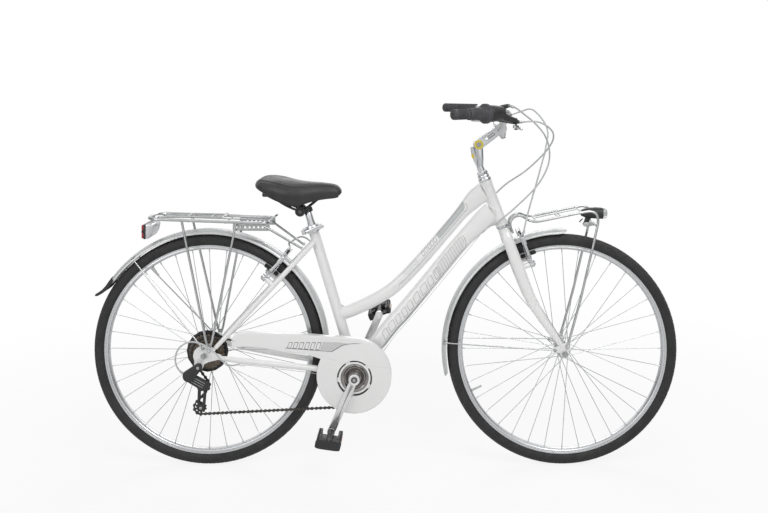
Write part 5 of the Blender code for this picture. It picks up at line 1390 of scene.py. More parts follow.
# %% The fork
CROWN_LOW = FENDER_RADIUS + 9.0
CROWN_HIGH = CROWN_LOW + 33.0
blade_rows = [
    (CROWN_LOW + 22, -38.0, 30.0, 30, 24), (CROWN_LOW + 2, -38.0, 41.0, 33, 23),
    (300, -38.6, 43.6, 35, 22), (190, -37.0, 46.5, 33, 20), (131, -27.0, 48.0, 28, 17),
    (88, -17.0, 50.0, 23, 14), (42, -4.0, 52.0, 17.5, 11), (22, 0.0, 52.5, 14, 8)
]
end_outline = [
    (-8, -11), (8, -11), (13, 2), (15, 25), (8, 31), (-4, 32), (-14, 23), (-34, 17), (-36, 9), (-30, 6),
    (-13, 2)
]
steerer_profile = [
    (11.4, HEAD_LOW), (11.4, STEERER_HIGH - 2), (12.7, STEERER_HIGH - 2), (12.7, CROWN_HIGH),
    (11.4, CROWN_HIGH)
]
parts = [lathe(steerer_profile, fork(0), STEER_UP, 40, closed=True)]
crown = [
    (0, CROWN_LOW + 4), (14, CROWN_LOW + 4), (17.2, CROWN_LOW + 8), (17.4, CROWN_HIGH - 6),
    (16.4, CROWN_HIGH - 1), (15.2, CROWN_HIGH), (0, CROWN_HIGH)
]
parts.append(lathe(crown, fork(0), STEER_UP, 48))
shoulder = []
for index in range(17):
    share = index / 8 - 1
    shoulder.append((fork(CROWN_LOW + 16 - 4 * share * share, y=37 * share), 29 - 1.5 * abs(share), 29))
parts.append(
    skin([oval(centre, STEER_AHEAD, STEER_UP, depth, width, 28) for centre, depth, width in shoulder])
)
bolts = []
for side, label in SIDES:
    stations = blended(
        [(fork(a, b, side * y), depth, width) for a, b, y, depth, width in blade_rows], 10
    )
    top = fork(CROWN_LOW + 31, y=side * 25)
    parts.append(beam([(top, 20, 15), (top.lerp(stations[0][0], 0.45), 27, 21), *stations], 32))
    plate_holes = [
        circle(AXLE_HOLE, 24), circle(EYE_HOLE, 14, (8.5, 24)), circle(EYE_HOLE, 14, (-30, 12))
    ]
    parts.append(
        plate(
            [softened(end_outline, 5), *plate_holes], 5.0, front(0, side * FRONT_END_ACROSS, 0),
            bevel=0.7
        )
    )
    more, bolt = boss(fork, -30.0, FRONT_BRAKE_AHEAD, side)
    parts += more
    bolts.append(bolt)
piece("fork_tubes", parts, "white_enamel", "steering", "fork", slot="painted_frame")
piece("front_boss_bolts", bolts, "chrome_plate", "steering", slot="painted_frame")

# %% [markdown]
# ## Headset
#
# The bearings of the steering sit in two turned races. Below is one plain ring. Above
# are a race, a knurled cup and a lock nut with six flats.

# %% The headset
lower = [
    (12.9, CROWN_HIGH + 0.4), (18.2, CROWN_HIGH + 0.4), (18.8, CROWN_HIGH + 1.2),
    (18.8, CROWN_HIGH + 3.2), (17.6, CROWN_HIGH + 3.8), (19.3, CROWN_HIGH + 4.4),
    (19.4, HEAD_LOW - 1.0), (18.9, HEAD_LOW - 0.4), (12.9, HEAD_LOW - 0.4)
]
piece(
    "lower_race", [lathe(lower, fork(0), STEER_UP, 56, closed=True)], "chrome_plate", "frame",
    "lower_headset", slot="bright_chrome"
)

low = HEAD_HIGH + 0.4
upper = [
    (12.9, low), (19.6, low), (19.9, low + 0.6), (19.9, low + 7.6), (19.2, low + 8.8),
    (17.2, low + 9.4), (17.4, low + 10.4), (17.9, low + 11), (17.9, low + 18), (17.4, low + 18.8),
    (13.4, low + 19.2), (12.9, low + 19.2)
]
nut = [
    (
        17.4 / math.cos(math.radians(((index * 10 + 5) % 60) - 30)) - 1.4, math.radians(index * 10 + 5)
    ) for index in range(36)
]
nut_outline = [(reach * math.cos(turn), reach * math.sin(turn)) for reach, turn in nut]
nut_part = plate(
    [nut_outline, circle(13.0, 32)], 9.0, fork(low + 26.2), STEER_UP, STEER_AHEAD, bevel=0.8
)
washer = [
    (13.0, low + 19.4), (16.4, low + 19.4), (16.6, low + 20.0), (16.6, low + 21.0), (16.2, low + 21.4),
    (13.0, low + 21.4)
]
parts = [
    lathe(upper, fork(0), STEER_UP, 56, closed=True), nut_part,
    lathe(washer, fork(0), STEER_UP, 40, closed=True)
]
piece("upper_race", parts, "chrome_plate", "frame", "upper_headset", slot="bright_chrome")
print("frame and fork done")

# %% [markdown]
# ## Fenders
#
# A fender is a strip of thin sheet rolled to an arch and painted silver. Its section is
# half an oval with two shallow grooves and beaded edges. The section is carried round
# the hub by angle, and draws in over the last degrees so that the ends are rounded.

# %% Fender sheets
FENDER_HALF = 26.0
FENDER_DROP = 13.0


def fender_section(share):
    """The closed section of the sheet as (radius, place across), drawn in to a share of its width."""
    outer, inner = [], []
    for step in range(29):
        lean = math.radians(90 * (step / 14 - 1)) * share
        groove = 0.5 * max(0.0, 1 - abs(abs(math.degrees(lean)) - 38) / 7)
        bead_size = 1.0 * max(0.0, 1 - abs(abs(step / 14 - 1) - 0.97) / 0.08)
        radius = FENDER_RADIUS - 0.2 - FENDER_DROP * (1 - math.cos(lean))
        across = (FENDER_HALF - 0.8) * math.sin(lean)
        outward = Vector((math.cos(lean), math.sin(lean)))
        outer.append(Vector((radius - groove, across)) + outward * bead_size * 0.3)
        inner.append(Vector((radius - 1.2 - groove, across)) - outward * bead_size)
    return outer + inner[::-1]


def fender_sheet(hub, start, end, step=1.5):
    rings = []
    count = round((end - start) / step)
    for index in range(count + 1):
        angle = start + (end - start) * index / count
        inside = min(angle - start, end - angle) / 5.0
        share = 1.0 if inside >= 1 else 0.45 + 0.55 * math.sqrt(max(0.0, 1 - (1 - inside) ** 2))
        rings.append([around(hub, radius, angle, across) for radius, across in fender_section(share)])
    return skin(rings)


def eye_screw(end, side, reach=4.6):
    """The loop at the end of a wire, with the screw and washer that hold it."""
    out = Y * side
    loop = [(2.7, -2.0), (4.4, -2.0), (5.0, -1.2), (5.0, 1.2), (4.4, 2.0), (2.7, 2.0)]
    screw = [
        (0, -6), (2.4, -6), (2.4, 2.0), (4.2, 2.1), (4.2, 2.9), (3.6, 3.2), (3.6, reach),
        (3.0, reach + 0.6), (0, reach + 0.6)
    ]
    return lathe(loop, end, out, 20, closed=True), lathe(screw, end, out, 20)


def fender_stays(hub, angle, eye, face):
    """The wires from the fender's edge to the eyes beside the axle, their screws and their clips."""
    wires, screws = [], []
    for side in (RIGHT, LEFT):
        beside = side * (face + 0.3 + 2.2)
        end = hub + Vector((eye[0], beside, eye[1]))
        edge = FENDER_RADIUS - FENDER_DROP + 3
        top = around(hub, edge, angle, side * (FENDER_HALF - 3))
        bend = around(hub, edge - 14, angle, side * (FENDER_HALF + 3))
        before = end + (bend - end).normalized() * 14
        before.y = beside
        route = rounded_path([top, bend, before, end + (before - end).normalized() * 4.4], 8)
        wires.append(pipe(route, 2.0, 12))
        loop, screw = eye_screw(end, side)
        wires.append(loop)
        screws.append(screw)
        clip = around(hub, edge + 4, angle, side * (FENDER_HALF - 1.6))
        screws.append(pin(clip - Y * side * 5, clip + Y * side * 3.0, 3.4, 6, 0.5))
    rings = []
    for offset in (-1.3, -0.9, 0.9, 1.3):
        size = 1.0 if abs(offset) < 1.2 else 0.7
        arc = []
        for step in range(17):
            lean = math.radians(84 * (step / 8 - 1))
            arc.append(
                (
                    FENDER_RADIUS - FENDER_DROP * (1 - math.cos(lean)),
                    (FENDER_HALF - 0.2) * math.sin(lean)
                )
            )
        ring = [around(hub, radius - 0.2, angle + offset, across) for radius, across in arc]
        ring += [
            around(hub, radius - 2.2 - size, angle + offset, across * 0.93) for radius,
            across in reversed(arc)
        ]
        rings.append(ring)
    return wires, screws, [skin(rings)]


sheet = fender_sheet(REAR_HUB, -3.0, 147.5)
piece(
    "rear_fender_sheet", [sheet], "silver_enamel", "frame", "rear_fender", slot="painted_silver",
    sharp=50
)
wires, screws, clips = fender_stays(REAR_HUB, 129.0, (-3.0, 23.0), REAR_END_ACROSS + 2.5)
piece("rear_fender_wires", wires + clips, "bright_wire", "frame", slot="painted_silver")
mount = pin(stay(FENDER_RADIUS - 4), stay(FENDER_RADIUS + 11.5), 6.0, 24)
piece("rear_fender_screws", [*screws, mount], "zinc_plate", "frame", slot="painted_silver")

sheet = fender_sheet(FRONT_HUB, 88.0, 192.5)
piece(
    "front_fender_sheet", [sheet], "silver_enamel", "steering", "front_fender", slot="painted_silver",
    sharp=50
)
wires, screws, clips = fender_stays(FRONT_HUB, 176.0, (-30.0, 12.0), FRONT_END_ACROSS + 2.5)
piece("front_fender_wires", wires + clips, "bright_wire", "steering", slot="painted_silver")
mount = pin(fork(FENDER_RADIUS - 4), fork(CROWN_LOW + 3.5), 6.5, 24)
piece("front_fender_screws", [*screws, mount], "zinc_plate", "steering", slot="painted_silver")


# %% The mudflap
def flap_ring(centre, along, half, drop, thick):
    """A section of a crowned sheet, across a direction in the bike's plane."""
    out = Vector((along.z, 0, -along.x)).normalized()
    top, low = [], []
    for step in range(13):
        lean = math.radians(90 * (step / 6 - 1))
        point = centre + Y * half * math.sin(lean) - out * drop * (1 - math.cos(lean))
        top.append(point)
        low.append(point - out * thick)
    return top + low[::-1]


along = (around(REAR_HUB, 366, 147) - around(REAR_HUB, 366, 146)).normalized()
flap_rows = [
    (around(REAR_HUB, 367.6, 143.4), along, 26.8, 13.0, 1.6),
    (around(REAR_HUB, 368.2, 146.0), along, 26.9, 12.5, 2.6),
    (around(REAR_HUB, 368.6, 148.6), (along + Vector((-0.1, 0, 0.05))).normalized(), 26.5, 10.5, 3.2),
    (Vector((-861, 0, 529.5)), Vector((-0.80, 0, -0.60)), 25.0, 7.0, 3.2),
    (Vector((-873, 0, 520.5)), Vector((-0.86, 0, -0.50)), 22.0, 5.0, 3.0),
    (Vector((-881, 0, 516.0)), Vector((-0.88, 0, -0.46)), 15.0, 3.0, 2.2),
]
piece(
    "mudflap", [skin([flap_ring(*row) for row in flap_rows])], "pad_rubber", "frame",
    slot="painted_silver", sharp=50
)
print("fenders done")

# %% [markdown]
# ## Racks
#
# Both racks are bent from chromed tube and wire. The solid has a corner at each bend, so
# here the same routes are rounded. The rear one also has two stays drilled with a row
# of holes, and its wire clip is closed by a coiled spring on the hinge.

# %% The rear rack
def rail_height(x):
    return 403.0 + (390.0 - 403.0) * (x + 176.0) / (191.0 + 176.0)


def on_rail(x, y, above=0.0):
    return rear(x, y, rail_height(x) + above)


RAIL_SPAN = (-58, -30, 30, 58)
corners = [(186, 50), (172, 58), (-150, 58), (-172, 40), (-176, 20)]
hoop = [on_rail(x, -y) for x, y in corners] + [on_rail(x, y) for x, y in reversed(corners)]
hoop = rounded_path([hoop[0].lerp(hoop[-1], 0.5), *hoop, hoop[0].lerp(hoop[-1], 0.5)], 16, 5)[:-1]
tubes = [closed_pipe(hoop, 4.5)]
for x in (60.0, -50.0):
    tubes.append(pipe([on_rail(x, y, -3.4) for y in RAIL_SPAN], 2.5, 12))
for y in (-20.0, 20.0):
    tubes.append(
        pipe([on_rail(x, y, 3.4 if x > -100 else 0) for x in (184, 100, 0, -60, -140)], 2.3, 12)
    )
tubes.append(pipe([on_rail(-145, y) for y in RAIL_SPAN], 2.5, 12))
stop = [
    on_rail(186, -15), on_rail(190, -15, 4), on_rail(206, -11, 17), on_rail(206, 11, 17),
    on_rail(190, 15, 4), on_rail(186, 15)
]
tubes.append(pipe(rounded_path(stop, 5), 3.0, 14))
plates, screws = [], []
for side in (RIGHT, LEFT):
    leg = side * 75.3
    eye = rear(16.0, leg, 17.0)
    for x in (-70, 93):
        spread = 8 if x < 0 else 24
        route = [on_rail(x, side * 58), rear(spread, leg, 41), eye + Vector((0, 0, 2))]
        tubes.append(pipe(rounded_path(route, 12), 3.6, 14))
    flat_eye = plate([hull((0, 0), (0, 16), 6.5, 4.5)], 3.4, eye)
    tubes.append(flat_eye)
    loop, screw = eye_screw(eye, side, 5.2)
    screws.append(screw)
    low = stay(421, -9 + 8 + 4.3, side * 28.5)
    high = on_rail(184, side * 54, -14)
    plates.append(pipe([high + Vector((-8, 0, 4)), high, high.lerp(low, 0.5), low], 3.6, 14))
    screws.append(
        pin(low - Y * side * 3 + Vector((-2, 0, 3)), low + Y * side * 6 + Vector((-2, 0, 3)), 4.0, 6)
    )
    outline = softened([(-55, -11), (-55, 11), (55, 9), (55, -12)], 4)
    holes = [circle(3.2, 18, (x, -1)) for x in (-44, -31, -18, -5, 8, 21, 34, 46)]
    plates.append(plate([outline, *holes], 2.4, rear(137, side * 54, rail_height(137) - 13), bevel=0.4))
    screws.append(
        pin(
            rear(180, side * 50, rail_height(180) - 15), rear(180, side * 59, rail_height(180) - 15),
            4.2, 6
        )
    )
plates.append(block(rear(-173, 0, 394), (2.4, 42, 17), 0, 0.6))
piece("rear_rack_tubes", tubes, "bright_wire", "frame", "rear_rack", slot="painted_silver")
piece("rear_rack_plates", plates, "zinc_plate", "frame", slot="painted_silver")
piece("rear_rack_screws", screws, "chrome_plate", "frame", slot="painted_silver")

# %% The wire clip with its springs
hinge = on_rail(-145, 0)
lift = 3.6
half = [
    on_rail(-141, RIGHT * 31, 2.2), on_rail(-120, RIGHT * 31, lift + 2),
    on_rail(36, RIGHT * 31, lift + 4.4), on_rail(50, RIGHT * 28, lift + 8),
    on_rail(53, RIGHT * 20, lift + 8.6)
]
route = half + [Vector((point.x, -point.y, point.z)) for point in reversed(half)]
wires = [pipe(rounded_path(route, 10), 2.5, 12)]
for x in (-60, 10):
    wires.append(pipe([on_rail(x, y, lift + 3.6) for y in (-31, 0, 31)], 1.9, 10))
for side in (RIGHT, LEFT):
    coil = []
    for step in range(73):
        turn = 2 * math.pi * step / 12
        coil.append(
            hinge + Vector((4.4 * math.cos(turn), side * (35.5 - step * 0.145), 4.4 * math.sin(turn)))
        )
    wires.append(pipe(coil, 0.85, 6))
    wires.append(
        lathe(
            [(2.7, -3), (4.6, -3), (5.0, -2.4), (5.0, 2.4), (4.6, 3), (2.7, 3)], hinge + Y * side * 21,
            Y, 20, closed=True
        )
    )
    wires.append(
        pipe(
            [
                hinge + Vector((3.6, side * 23, 1.5)), on_rail(-138, side * 27, 3.4),
                on_rail(-133, side * 31, 4.4)
            ],
            1.8, 10
        )
    )
piece("rack_clip", wires, "bright_wire", "rack_flap", "rack_flap", slot="painted_silver")

# %% The front rack
tubes, screws = [], []
for side in (RIGHT, LEFT):
    eye = front(8.5, side * 59.3, 24.0)
    places = [
        (46, 59, 163), (90, 57, 350), (100, 56, 396), (96, 55, 418), (78, 55, 426), (46, 55, 421),
        (-84, 55, 394), (-104, 47, 396), (-118, 32, 404), (-130, 22, 409), (-146, 20, 404),
        (-158, 20, 391), (-159, 20, 374)
    ]
    route = [
        eye + Vector((2, 0, 12)), *[front(x, side * y, z) for x, y, z in places],
        fork(386, -16.4, side * 20)
    ]
    tubes.append(pipe(curved(rounded_path(route, 14, 3), 12), 3.8, 14))
    tubes.append(plate([hull((0, 0), (3, 16), 6.2, 4.0)], 3.2, eye))
    loop, screw = eye_screw(eye, side, 5.2)
    screws.append(screw)
for x, z in ((50, 421.8), (-11, 409.2), (-20, 407.3), (-84, 394)):
    tubes.append(pipe([front(x, y, z + 1.2) for y in (-55, -20, 20, 55)], 2.3, 12))
tubes.append(
    pipe([front(x, 0, z) for x, z in ((44, 423.8), (0, 415), (-50, 404.4), (-84, 397))], 2.3, 12)
)
tubes.append(pipe([fork(388, -16.4, y) for y in (-24, 0, 24)], 4.0, 14))
tubes.append(pipe([front(97, y, 380) for y in (-57, 0, 57)], 3.0, 12))
for side in (RIGHT, LEFT):
    lug = plate(
        [hull((0, 0), (25, 2), 7, 5), circle(2.8, 18)], 3.4, front(72, side * 6.3, 378), bevel=0.4
    )
    tubes.append(lug)
piece("front_rack_tubes", tubes, "bright_wire", "steering", "front_rack", slot="painted_silver")
piece("front_rack_screws", screws, "chrome_plate", "steering", slot="painted_silver")
print("racks done")

# %% [markdown]
# ## The saddle
#
# The saddle has a wide raised tail, a narrow nose and wings that droop at the middle.
# A soft cover is stretched over foam on a plastic shell. The pad is lofted through
# crowned sections, whose sides swell and then tuck in at the hem. A cloth simulation
# would round it evenly and lose this drawn shape, so the swelling is drawn as well.

# %% The pad's sections
SEAT_TOP = seat(459.0 + 62.0)
PAD_ROWS = (
    (
        -150, 80, 72, 40, 4
    ), (-144, 88, 67, 62, 5), (-128, 96, 59, 84, 6), (-104, 98, 47, 95, 6), (-80, 96, 35, 95, 5),
    (-56, 91, 24, 87, 4), (-34, 86, 16, 74, 3), (-10, 82, 18, 58, 1), (15, 79, 25, 45, 0), (
        40, 77.5, 30, 35, 0
    ),
    (66, 75, 33, 29, 0), (88, 71, 35, 26, 0), (99, 64, 38, 22, 0), (106, 54, 44, 13, 0),
)


def saddle(x, y, z):
    return SEAT_TOP + Vector((x, y, z))


def pad_row(x):
    """The top, the hem, the half width and the depth of the groove at a place along the saddle."""
    rows = PAD_ROWS
    index = 0
    while index < len(rows) - 2 and x > rows[index + 1][0]:
        index += 1
    span = rows[index + 1][0] - rows[index][0]
    t = min(1.0, max(0.0, (x - rows[index][0]) / span))
    before, after = rows[max(index - 1, 0)], rows[min(index + 2, len(rows) - 1)]
    found = []
    for column in range(1, 5):
        low, high = rows[index][column], rows[index + 1][column]
        slope = (high - before[column]) / max(1, rows[index + 1][0] - before[0]) * span
        next_slope = (after[column] - low) / max(1, after[0] - rows[index][0]) * span
        square, cube = t * t, t * t * t
        value = low * (2 * cube - 3 * square + 1) + slope * (cube - 2 * square + t)
        found.append(value + high * (3 * square - 2 * cube) + next_slope * (cube - square))
    return found


def pad_point(x, across, lift=0.0):
    """A point on the pad's upper side, across from -1 to 1 between its widest lines."""
    top, hem, half, groove = pad_row(x)
    widest = hem + (top - hem) * 0.38
    height = widest + (top - widest) * (1 - abs(across) ** 2.3) ** 0.62
    channel = groove * math.exp(-((across * half / 11.0) ** 2))
    return saddle(x, across * half, height - channel + lift)


def pad_ring(x, count=22):
    top, hem, half, _ = pad_row(x)
    upper = [
        pad_point(x, math.sin(math.pi / 2 * (index / count * 2 - 1))) for index in range(count + 1)
    ]
    widest = hem + (top - hem) * 0.38
    under = []
    for share, height in ((0.995, 0.7), (0.975, 0.35), (0.945, 0.08), (0.91, 0.0), (0.87, 0.12)):
        under.append((share, hem + (widest - hem) * height))
    inner = hem + min(16.0, (top - hem) * 0.35)
    under += [(0.8, hem + (inner - hem) * 0.7), (0.5, inner)]
    right_side = [saddle(x, half * share, height) for share, height in under]
    left_side = [saddle(x, -half * share, height) for share, height in reversed(under)]
    return upper + right_side + left_side


# %% The pad
places = [-150, -147.5, -144, -139, -133]
places += [-126 + index * 8.0 for index in range(27)]
places += [88, 93, 97.5, 101, 103.5, 105.2, 106]
rings = [pad_ring(x) for x in places]
pad = meshed("saddle_pad", [skin(rings)], sharp=70)
subdivision = pad.modifiers.new("rounded", "SUBSURF")
subdivision.levels = 1
subdivision.render_levels = 1
placed(pad, "saddle_cover", "seat", "saddle_cushion", slot="saddle_cover")
print("pad faces:", len(pad.data.polygons))

# %% [markdown]
# Piping runs along each side, where the cover's top panel meets the side panels, and a
# line of stitches lies just outside it. The piping is a thin rope on the pad's surface.
# The stitches are one small shape that the path tree repeats.

# %% Piping and stitches
ropes = []
stitch_lines = []
for side in (RIGHT, LEFT):
    route = []
    for step in range(58):
        x = -146 + step * 4.3
        share = 0.66 + 0.10 * math.sin(min(1.0, (x + 146) / 240) * math.pi)
        route.append(pad_point(x, side * share, 0.1))
    ropes.append(pipe(curved(route, 3), 0.8, 8))
    stitch_lines.append([pad_point(-140 + step * 4.0, side * 0.86, 0.35) for step in range(60)])
piece("saddle_piping", ropes, "saddle_cover", "seat", slot="saddle_cover", sharp=70)
stitch = [lathe([(0, -1.5), (0.45, -1.2), (0.55, 0), (0.45, 1.2), (0, 1.5)], Vector(), X, 6)]
for side, line in zip((RIGHT, LEFT), stitch_lines):
    label = "right" if side == RIGHT else "left"
    row = repeated_along(label + "_stitches", line, [stitch], 62, "grey_thread")
    placed(row, "grey_thread", "seat", slot="saddle_cover")

# %% The shell and the rails
rings = []
for x in [-118 + index * 9 for index in range(25)]:
    _, hem, half, _ = pad_row(x)
    inner = hem + 8
    edge = half * 0.9
    ring = [
        (edge, hem + 1.0), (edge + 0.6, hem - 1.5), (edge - 1.0, hem - 3.6), (edge - 5, hem - 3.0),
        (edge * 0.62, inner - 6)
    ]
    middle = max(inner - 5, 30.0) if x < 60 else inner - 5
    ring += [(edge * 0.3, middle)]
    upper = [(edge * 0.3, middle + 4), (edge * 0.62, inner)]
    right_side = [saddle(x, y, z) for y, z in ring]
    left_side = [saddle(x, -y, z) for y, z in reversed(ring)]
    top_left = [saddle(x, -y, z) for y, z in reversed(upper)]
    top_right = [saddle(x, y, z) for y, z in upper]
    rings.append(right_side + left_side + top_left + top_right)
socket = block(saddle(-119, 0, 44), (20, 78, 13), 0, 2)
piece("saddle_shell", [skin(rings), socket], "black_moulding", "seat", slot="black_plastic", sharp=50)

parts = []
for side in (RIGHT, LEFT):
    points = [
        (58, 9, 39), (36, 12, 27), (12, 18, 8), (-6, 21.5, -4.5), (-28, 22, -3.5), (-50, 23, 5),
        (-72, 24, 17), (-95, 27, 33), (-118, 32, 44)
    ]
    parts.append(pipe(curved([saddle(x, side * y, z) for x, y, z in points], 6), 3.5, 14))
piece("saddle_rails", parts, "black_moulding", "seat", slot="black_plastic")

middle = SEAT_TOP + Vector((-17.0, 0, -8.5))
parts = []
for side in (RIGHT, LEFT):
    out = Y * side
    disc = [
        (0, 6), (12.0, 6), (15.0, 9), (15.6, 12), (15.6, 24), (14.6, 26), (9.6, 26.4), (9.2, 25),
        (0, 25)
    ]
    parts.append(lathe(disc, middle, out, 40))
    parts.append(plate([notched([14.8, 15.6] * 20)], 3.4, middle + out * 16, bevel=0.3))
collar = [(11.5, -14), (15.2, -14), (15.8, -13.2), (15.8, -3), (15.0, -1.6), (11.5, -1.6)]
parts.append(lathe(collar, SEAT_TOP, SEAT_UP, 40, closed=True))
parts.append(block(SEAT_TOP + Vector((-15, 0, -8)), (16, 26, 16), 16.7, 3))
piece("saddle_clamp", parts, "black_moulding", "seat", "saddle_base", slot="black_plastic")
nut = [(0, 0), (6.4, 0), (6.9, 0.6), (6.9, 4.4), (6.3, 5.2), (3.6, 5.4), (3.4, 7.2), (0, 7.4)]
nuts = [lathe(nut, middle + Y * side * 25.0, Y * side, 6) for side in (RIGHT, LEFT)]
piece("saddle_clamp_nuts", nuts, "dark_metal", "seat", slot="black_plastic", sharp=30)
post = [
    (0, -299), (12.4, -299), (12.7, -298), (12.7, -54), (12.2, -49), (11.2, -43), (11.2, -1), (10.6, 0),
    (0, 0)
]
piece(
    "seatpost_tube", [lathe(post, SEAT_TOP, SEAT_UP, 48)], "chrome_plate", "seat", "seatpost",
    slot="bright_chrome"
)
print("saddle done")

# %% [markdown]
# ## Seat clamp and quick release
#
# A split collar squeezes the seat tube round the post. Its skewer passes two ears behind
# the tube, and a cam lever on the right tightens it.

# %% The seat clamp
back = Vector((-SEAT_UP.z, 0, SEAT_UP.x))
bolt = seat(455) + back * 25
profile = [
    (16.3, 445), (20.2, 445), (20.9, 445.8), (20.9, 464.6), (20.3, 465.6), (13.3, 465.6), (13.3, 459.8),
    (16.3, 459.4)
]
parts = [lathe(profile, BRACKET, SEAT_UP, 48, closed=True)]
for side in (RIGHT, LEFT):
    ear = [(-9, 8), (6, 8), (10, 4), (10, -5), (6, -8.6), (-9, -8.6)]
    parts.append(
        plate(
            [softened(ear, 3)], 7.4, bolt + back * 0.6 + Y * side * 5.2 - back * 3, -Y, SEAT_UP,
            bevel=0.6
        )
    )
parts.append(pin(bolt - Y * 20.3, bolt + Y * 14, 3.0, 20))
parts.append(
    lathe([(0, 0), (6.4, 0), (7.0, 1), (7.0, 5.4), (6.0, 6.6), (0, 6.8)], bolt + Y * 11.5, Y, 28)
)
piece("seat_collar", parts, "chrome_plate", "frame", "seat_clamp", slot="bright_chrome")
pivot = seat(455, -27.6) + back * 25
route = [
    pivot, pivot + Vector((9, -2, 2.6)), pivot + Vector((18, -3.4, 6)), pivot + Vector((40, -5, 14)),
    pivot + Vector((60, -4, 22))
]
stations = []
for index, point in enumerate(curved(route, 4)):
    share = index / 16
    depth = 7 + 7 * eased(share * 1.3)
    stations.append((point, depth, 5.4 - 1.6 * eased(share)))
stations[-1] = (stations[-1][0], 7, 2.4)
cam = lathe([(0, -7), (6.4, -7), (7.0, -6.4), (7.0, 6.4), (6.4, 7), (0, 7)], pivot, SEAT_UP, 32)
piece(
    "quick_release_lever", [cam, beam(stations, 20)], "chrome_plate", "seat_quick_release",
    "seat_quick_release", slot="bright_chrome"
)
print("seat clamp done")

# %% [markdown]
# ## The chain
#
# Roller chain alternates inner and outer links, each 12.7 mm long. The belt that the
# chain follows is worked out from its four wheels: two link plates are drawn for each
# kind, and the path tree sets them in turn along the belt. The plates stand outside
# the teeth, and the teeth stay below the rollers, so the wheels can turn.

# %% The path of the chain
PITCH = 12.7
CHAIN_LINE = Y * -45
GUIDE = REAR_HUB + Vector((-10.2, 0, -96.0))
TENSION = REAR_HUB + Vector((-14.2, 0, -161.7))


def pitch_radius(teeth):
    return PITCH / 2 / math.sin(math.pi / teeth)


def belt(wheels):
    """A closed path round (centre, radius, sense) wheels, from the lines that touch two of them."""
    headings = []
    for index, (centre, radius, sense) in enumerate(wheels):
        other, other_radius, other_sense = wheels[(index + 1) % len(wheels)]
        run = other - centre
        lean = math.asin((radius * sense - other_radius * other_sense) / run.length)
        headings.append(math.atan2(run.z, run.x) + lean)
    found = []
    for index, (centre, radius, sense) in enumerate(wheels):
        start = headings[index - 1] - sense * math.pi / 2
        turn = (headings[index] - headings[index - 1]) * sense % (2 * math.pi)
        steps = max(6, round(turn * radius / 3))
        for step in range(steps + 1):
            angle = math.degrees(start + sense * turn * step / steps)
            found.append(around(centre, radius, angle, CHAIN_LINE.y))
    return found


wheels = [
    (BRACKET, pitch_radius(44), -1), (TENSION, pitch_radius(10), -1), (GUIDE, pitch_radius(10), 1)
]
route = belt([*wheels, (REAR_HUB, pitch_radius(22), -1)])
length = sum((route[index] - route[index - 1]).length for index in range(len(route)))
links = round(length / PITCH / 2) * 2
print("chain:", round(length), "mm,", links, "links of", round(length / links, 2), "mm")

# %% The links
half = 6.3
link_outline = circle(3.9, 9, (half, 0), 110, -110) + [(1.2, -1.9), (-1.2, -1.9)]
link_outline += circle(3.9, 9, (-half, 0), 290, 70) + [(-1.2, 1.9), (1.2, 1.9)]
outer_link = []
inner_link = []
for side in (RIGHT, LEFT):
    outer_link.append(plate([link_outline], 0.9, Y * side * 2.9, bevel=0.15))
    inner_link.append(plate([link_outline], 0.9, Y * side * 1.95, bevel=0.15))
for place in (-half, half):
    outer_link.append(pin(Vector((place, -3.6, 0)), Vector((place, 3.6, 0)), 1.7, 10, 0.3))
    inner_link.append(pin(Vector((place, -1.6, 0)), Vector((place, 1.6, 0)), 2.8, 12, 0.2))
chain = repeated_along(
    "chain_links", route, [outer_link, inner_link], links, "oiled_steel", closed=True, sharp=35
)
placed(chain, "oiled_steel", "frame", "chain", slot="dark_steel")
print("chain faces:", len(chain.data.polygons))

# %% [markdown]
# ## Sprockets
#
# One tooth form serves every wheel: a low rounded tooth with a wide round root, where
# the roller lies. Four sprockets sit on the ratchet body behind a spoke protector.

# %% Sprockets, the ratchet body and the chainring
def toothed(teeth):
    """The outline of a sprocket whose tips stay below the rollers' middle."""
    tip = pitch_radius(teeth) - 2.95
    return notched([tip - depth for depth in (3.3, 2.3, 0.4, 0, 0.4, 2.3)] * teeth)


parts = []
for teeth, place in ((28, -35), (25, -40), (22, -45), (18, -50)):
    holes = [circle(15.0, 28)]
    inner = pitch_radius(teeth) - 9
    if inner > 30:
        for index in range(5):
            angle = index * 72 + teeth * 4
            middle = 25 + (inner - 25) / 2
            spot = (middle * math.cos(math.radians(angle)), middle * math.sin(math.radians(angle)))
            holes.append(circle((inner - 26) / 2.3, 16, spot))
    parts.append(plate([toothed(teeth), *holes], 1.9, REAR_HUB + Y * place, bevel=0.2))
body = [
    (14.8, -57.6), (20.5, -57.6), (21.4, -56.8), (21.4, -54.6), (23.6, -53.6), (23.6, -33.4),
    (20.8, -32), (20.8, -27.2), (19.8, -26.4), (14.8, -26.4)
]
parts.append(lathe(body, REAR_HUB, Y, 48, closed=True))
for index in range(8):
    groove = around(REAR_HUB, 18.2, index * 45, -57.9)
    parts.append(pin(groove, groove - Y * 0.5, 1.4, 10, 0.1))
piece(
    "ratchet_and_sprockets", parts, "bronzed_steel", "freewheel", "freewheel", slot="dark_steel",
    sharp=32
)

holes = [circle(60, 60)]
parts = [plate([toothed(44), *holes], 2.2, BRACKET + CHAIN_LINE, bevel=0.25)]
profile = [(57, -44.0), (64, -44.0), (64, -46.2), (60, -47.0), (57, -47.0)]
parts.append(lathe(profile, BRACKET, Y, 72, closed=True))
piece("chainring", parts, "chrome_plate", "crankset", slot="bright_chrome")
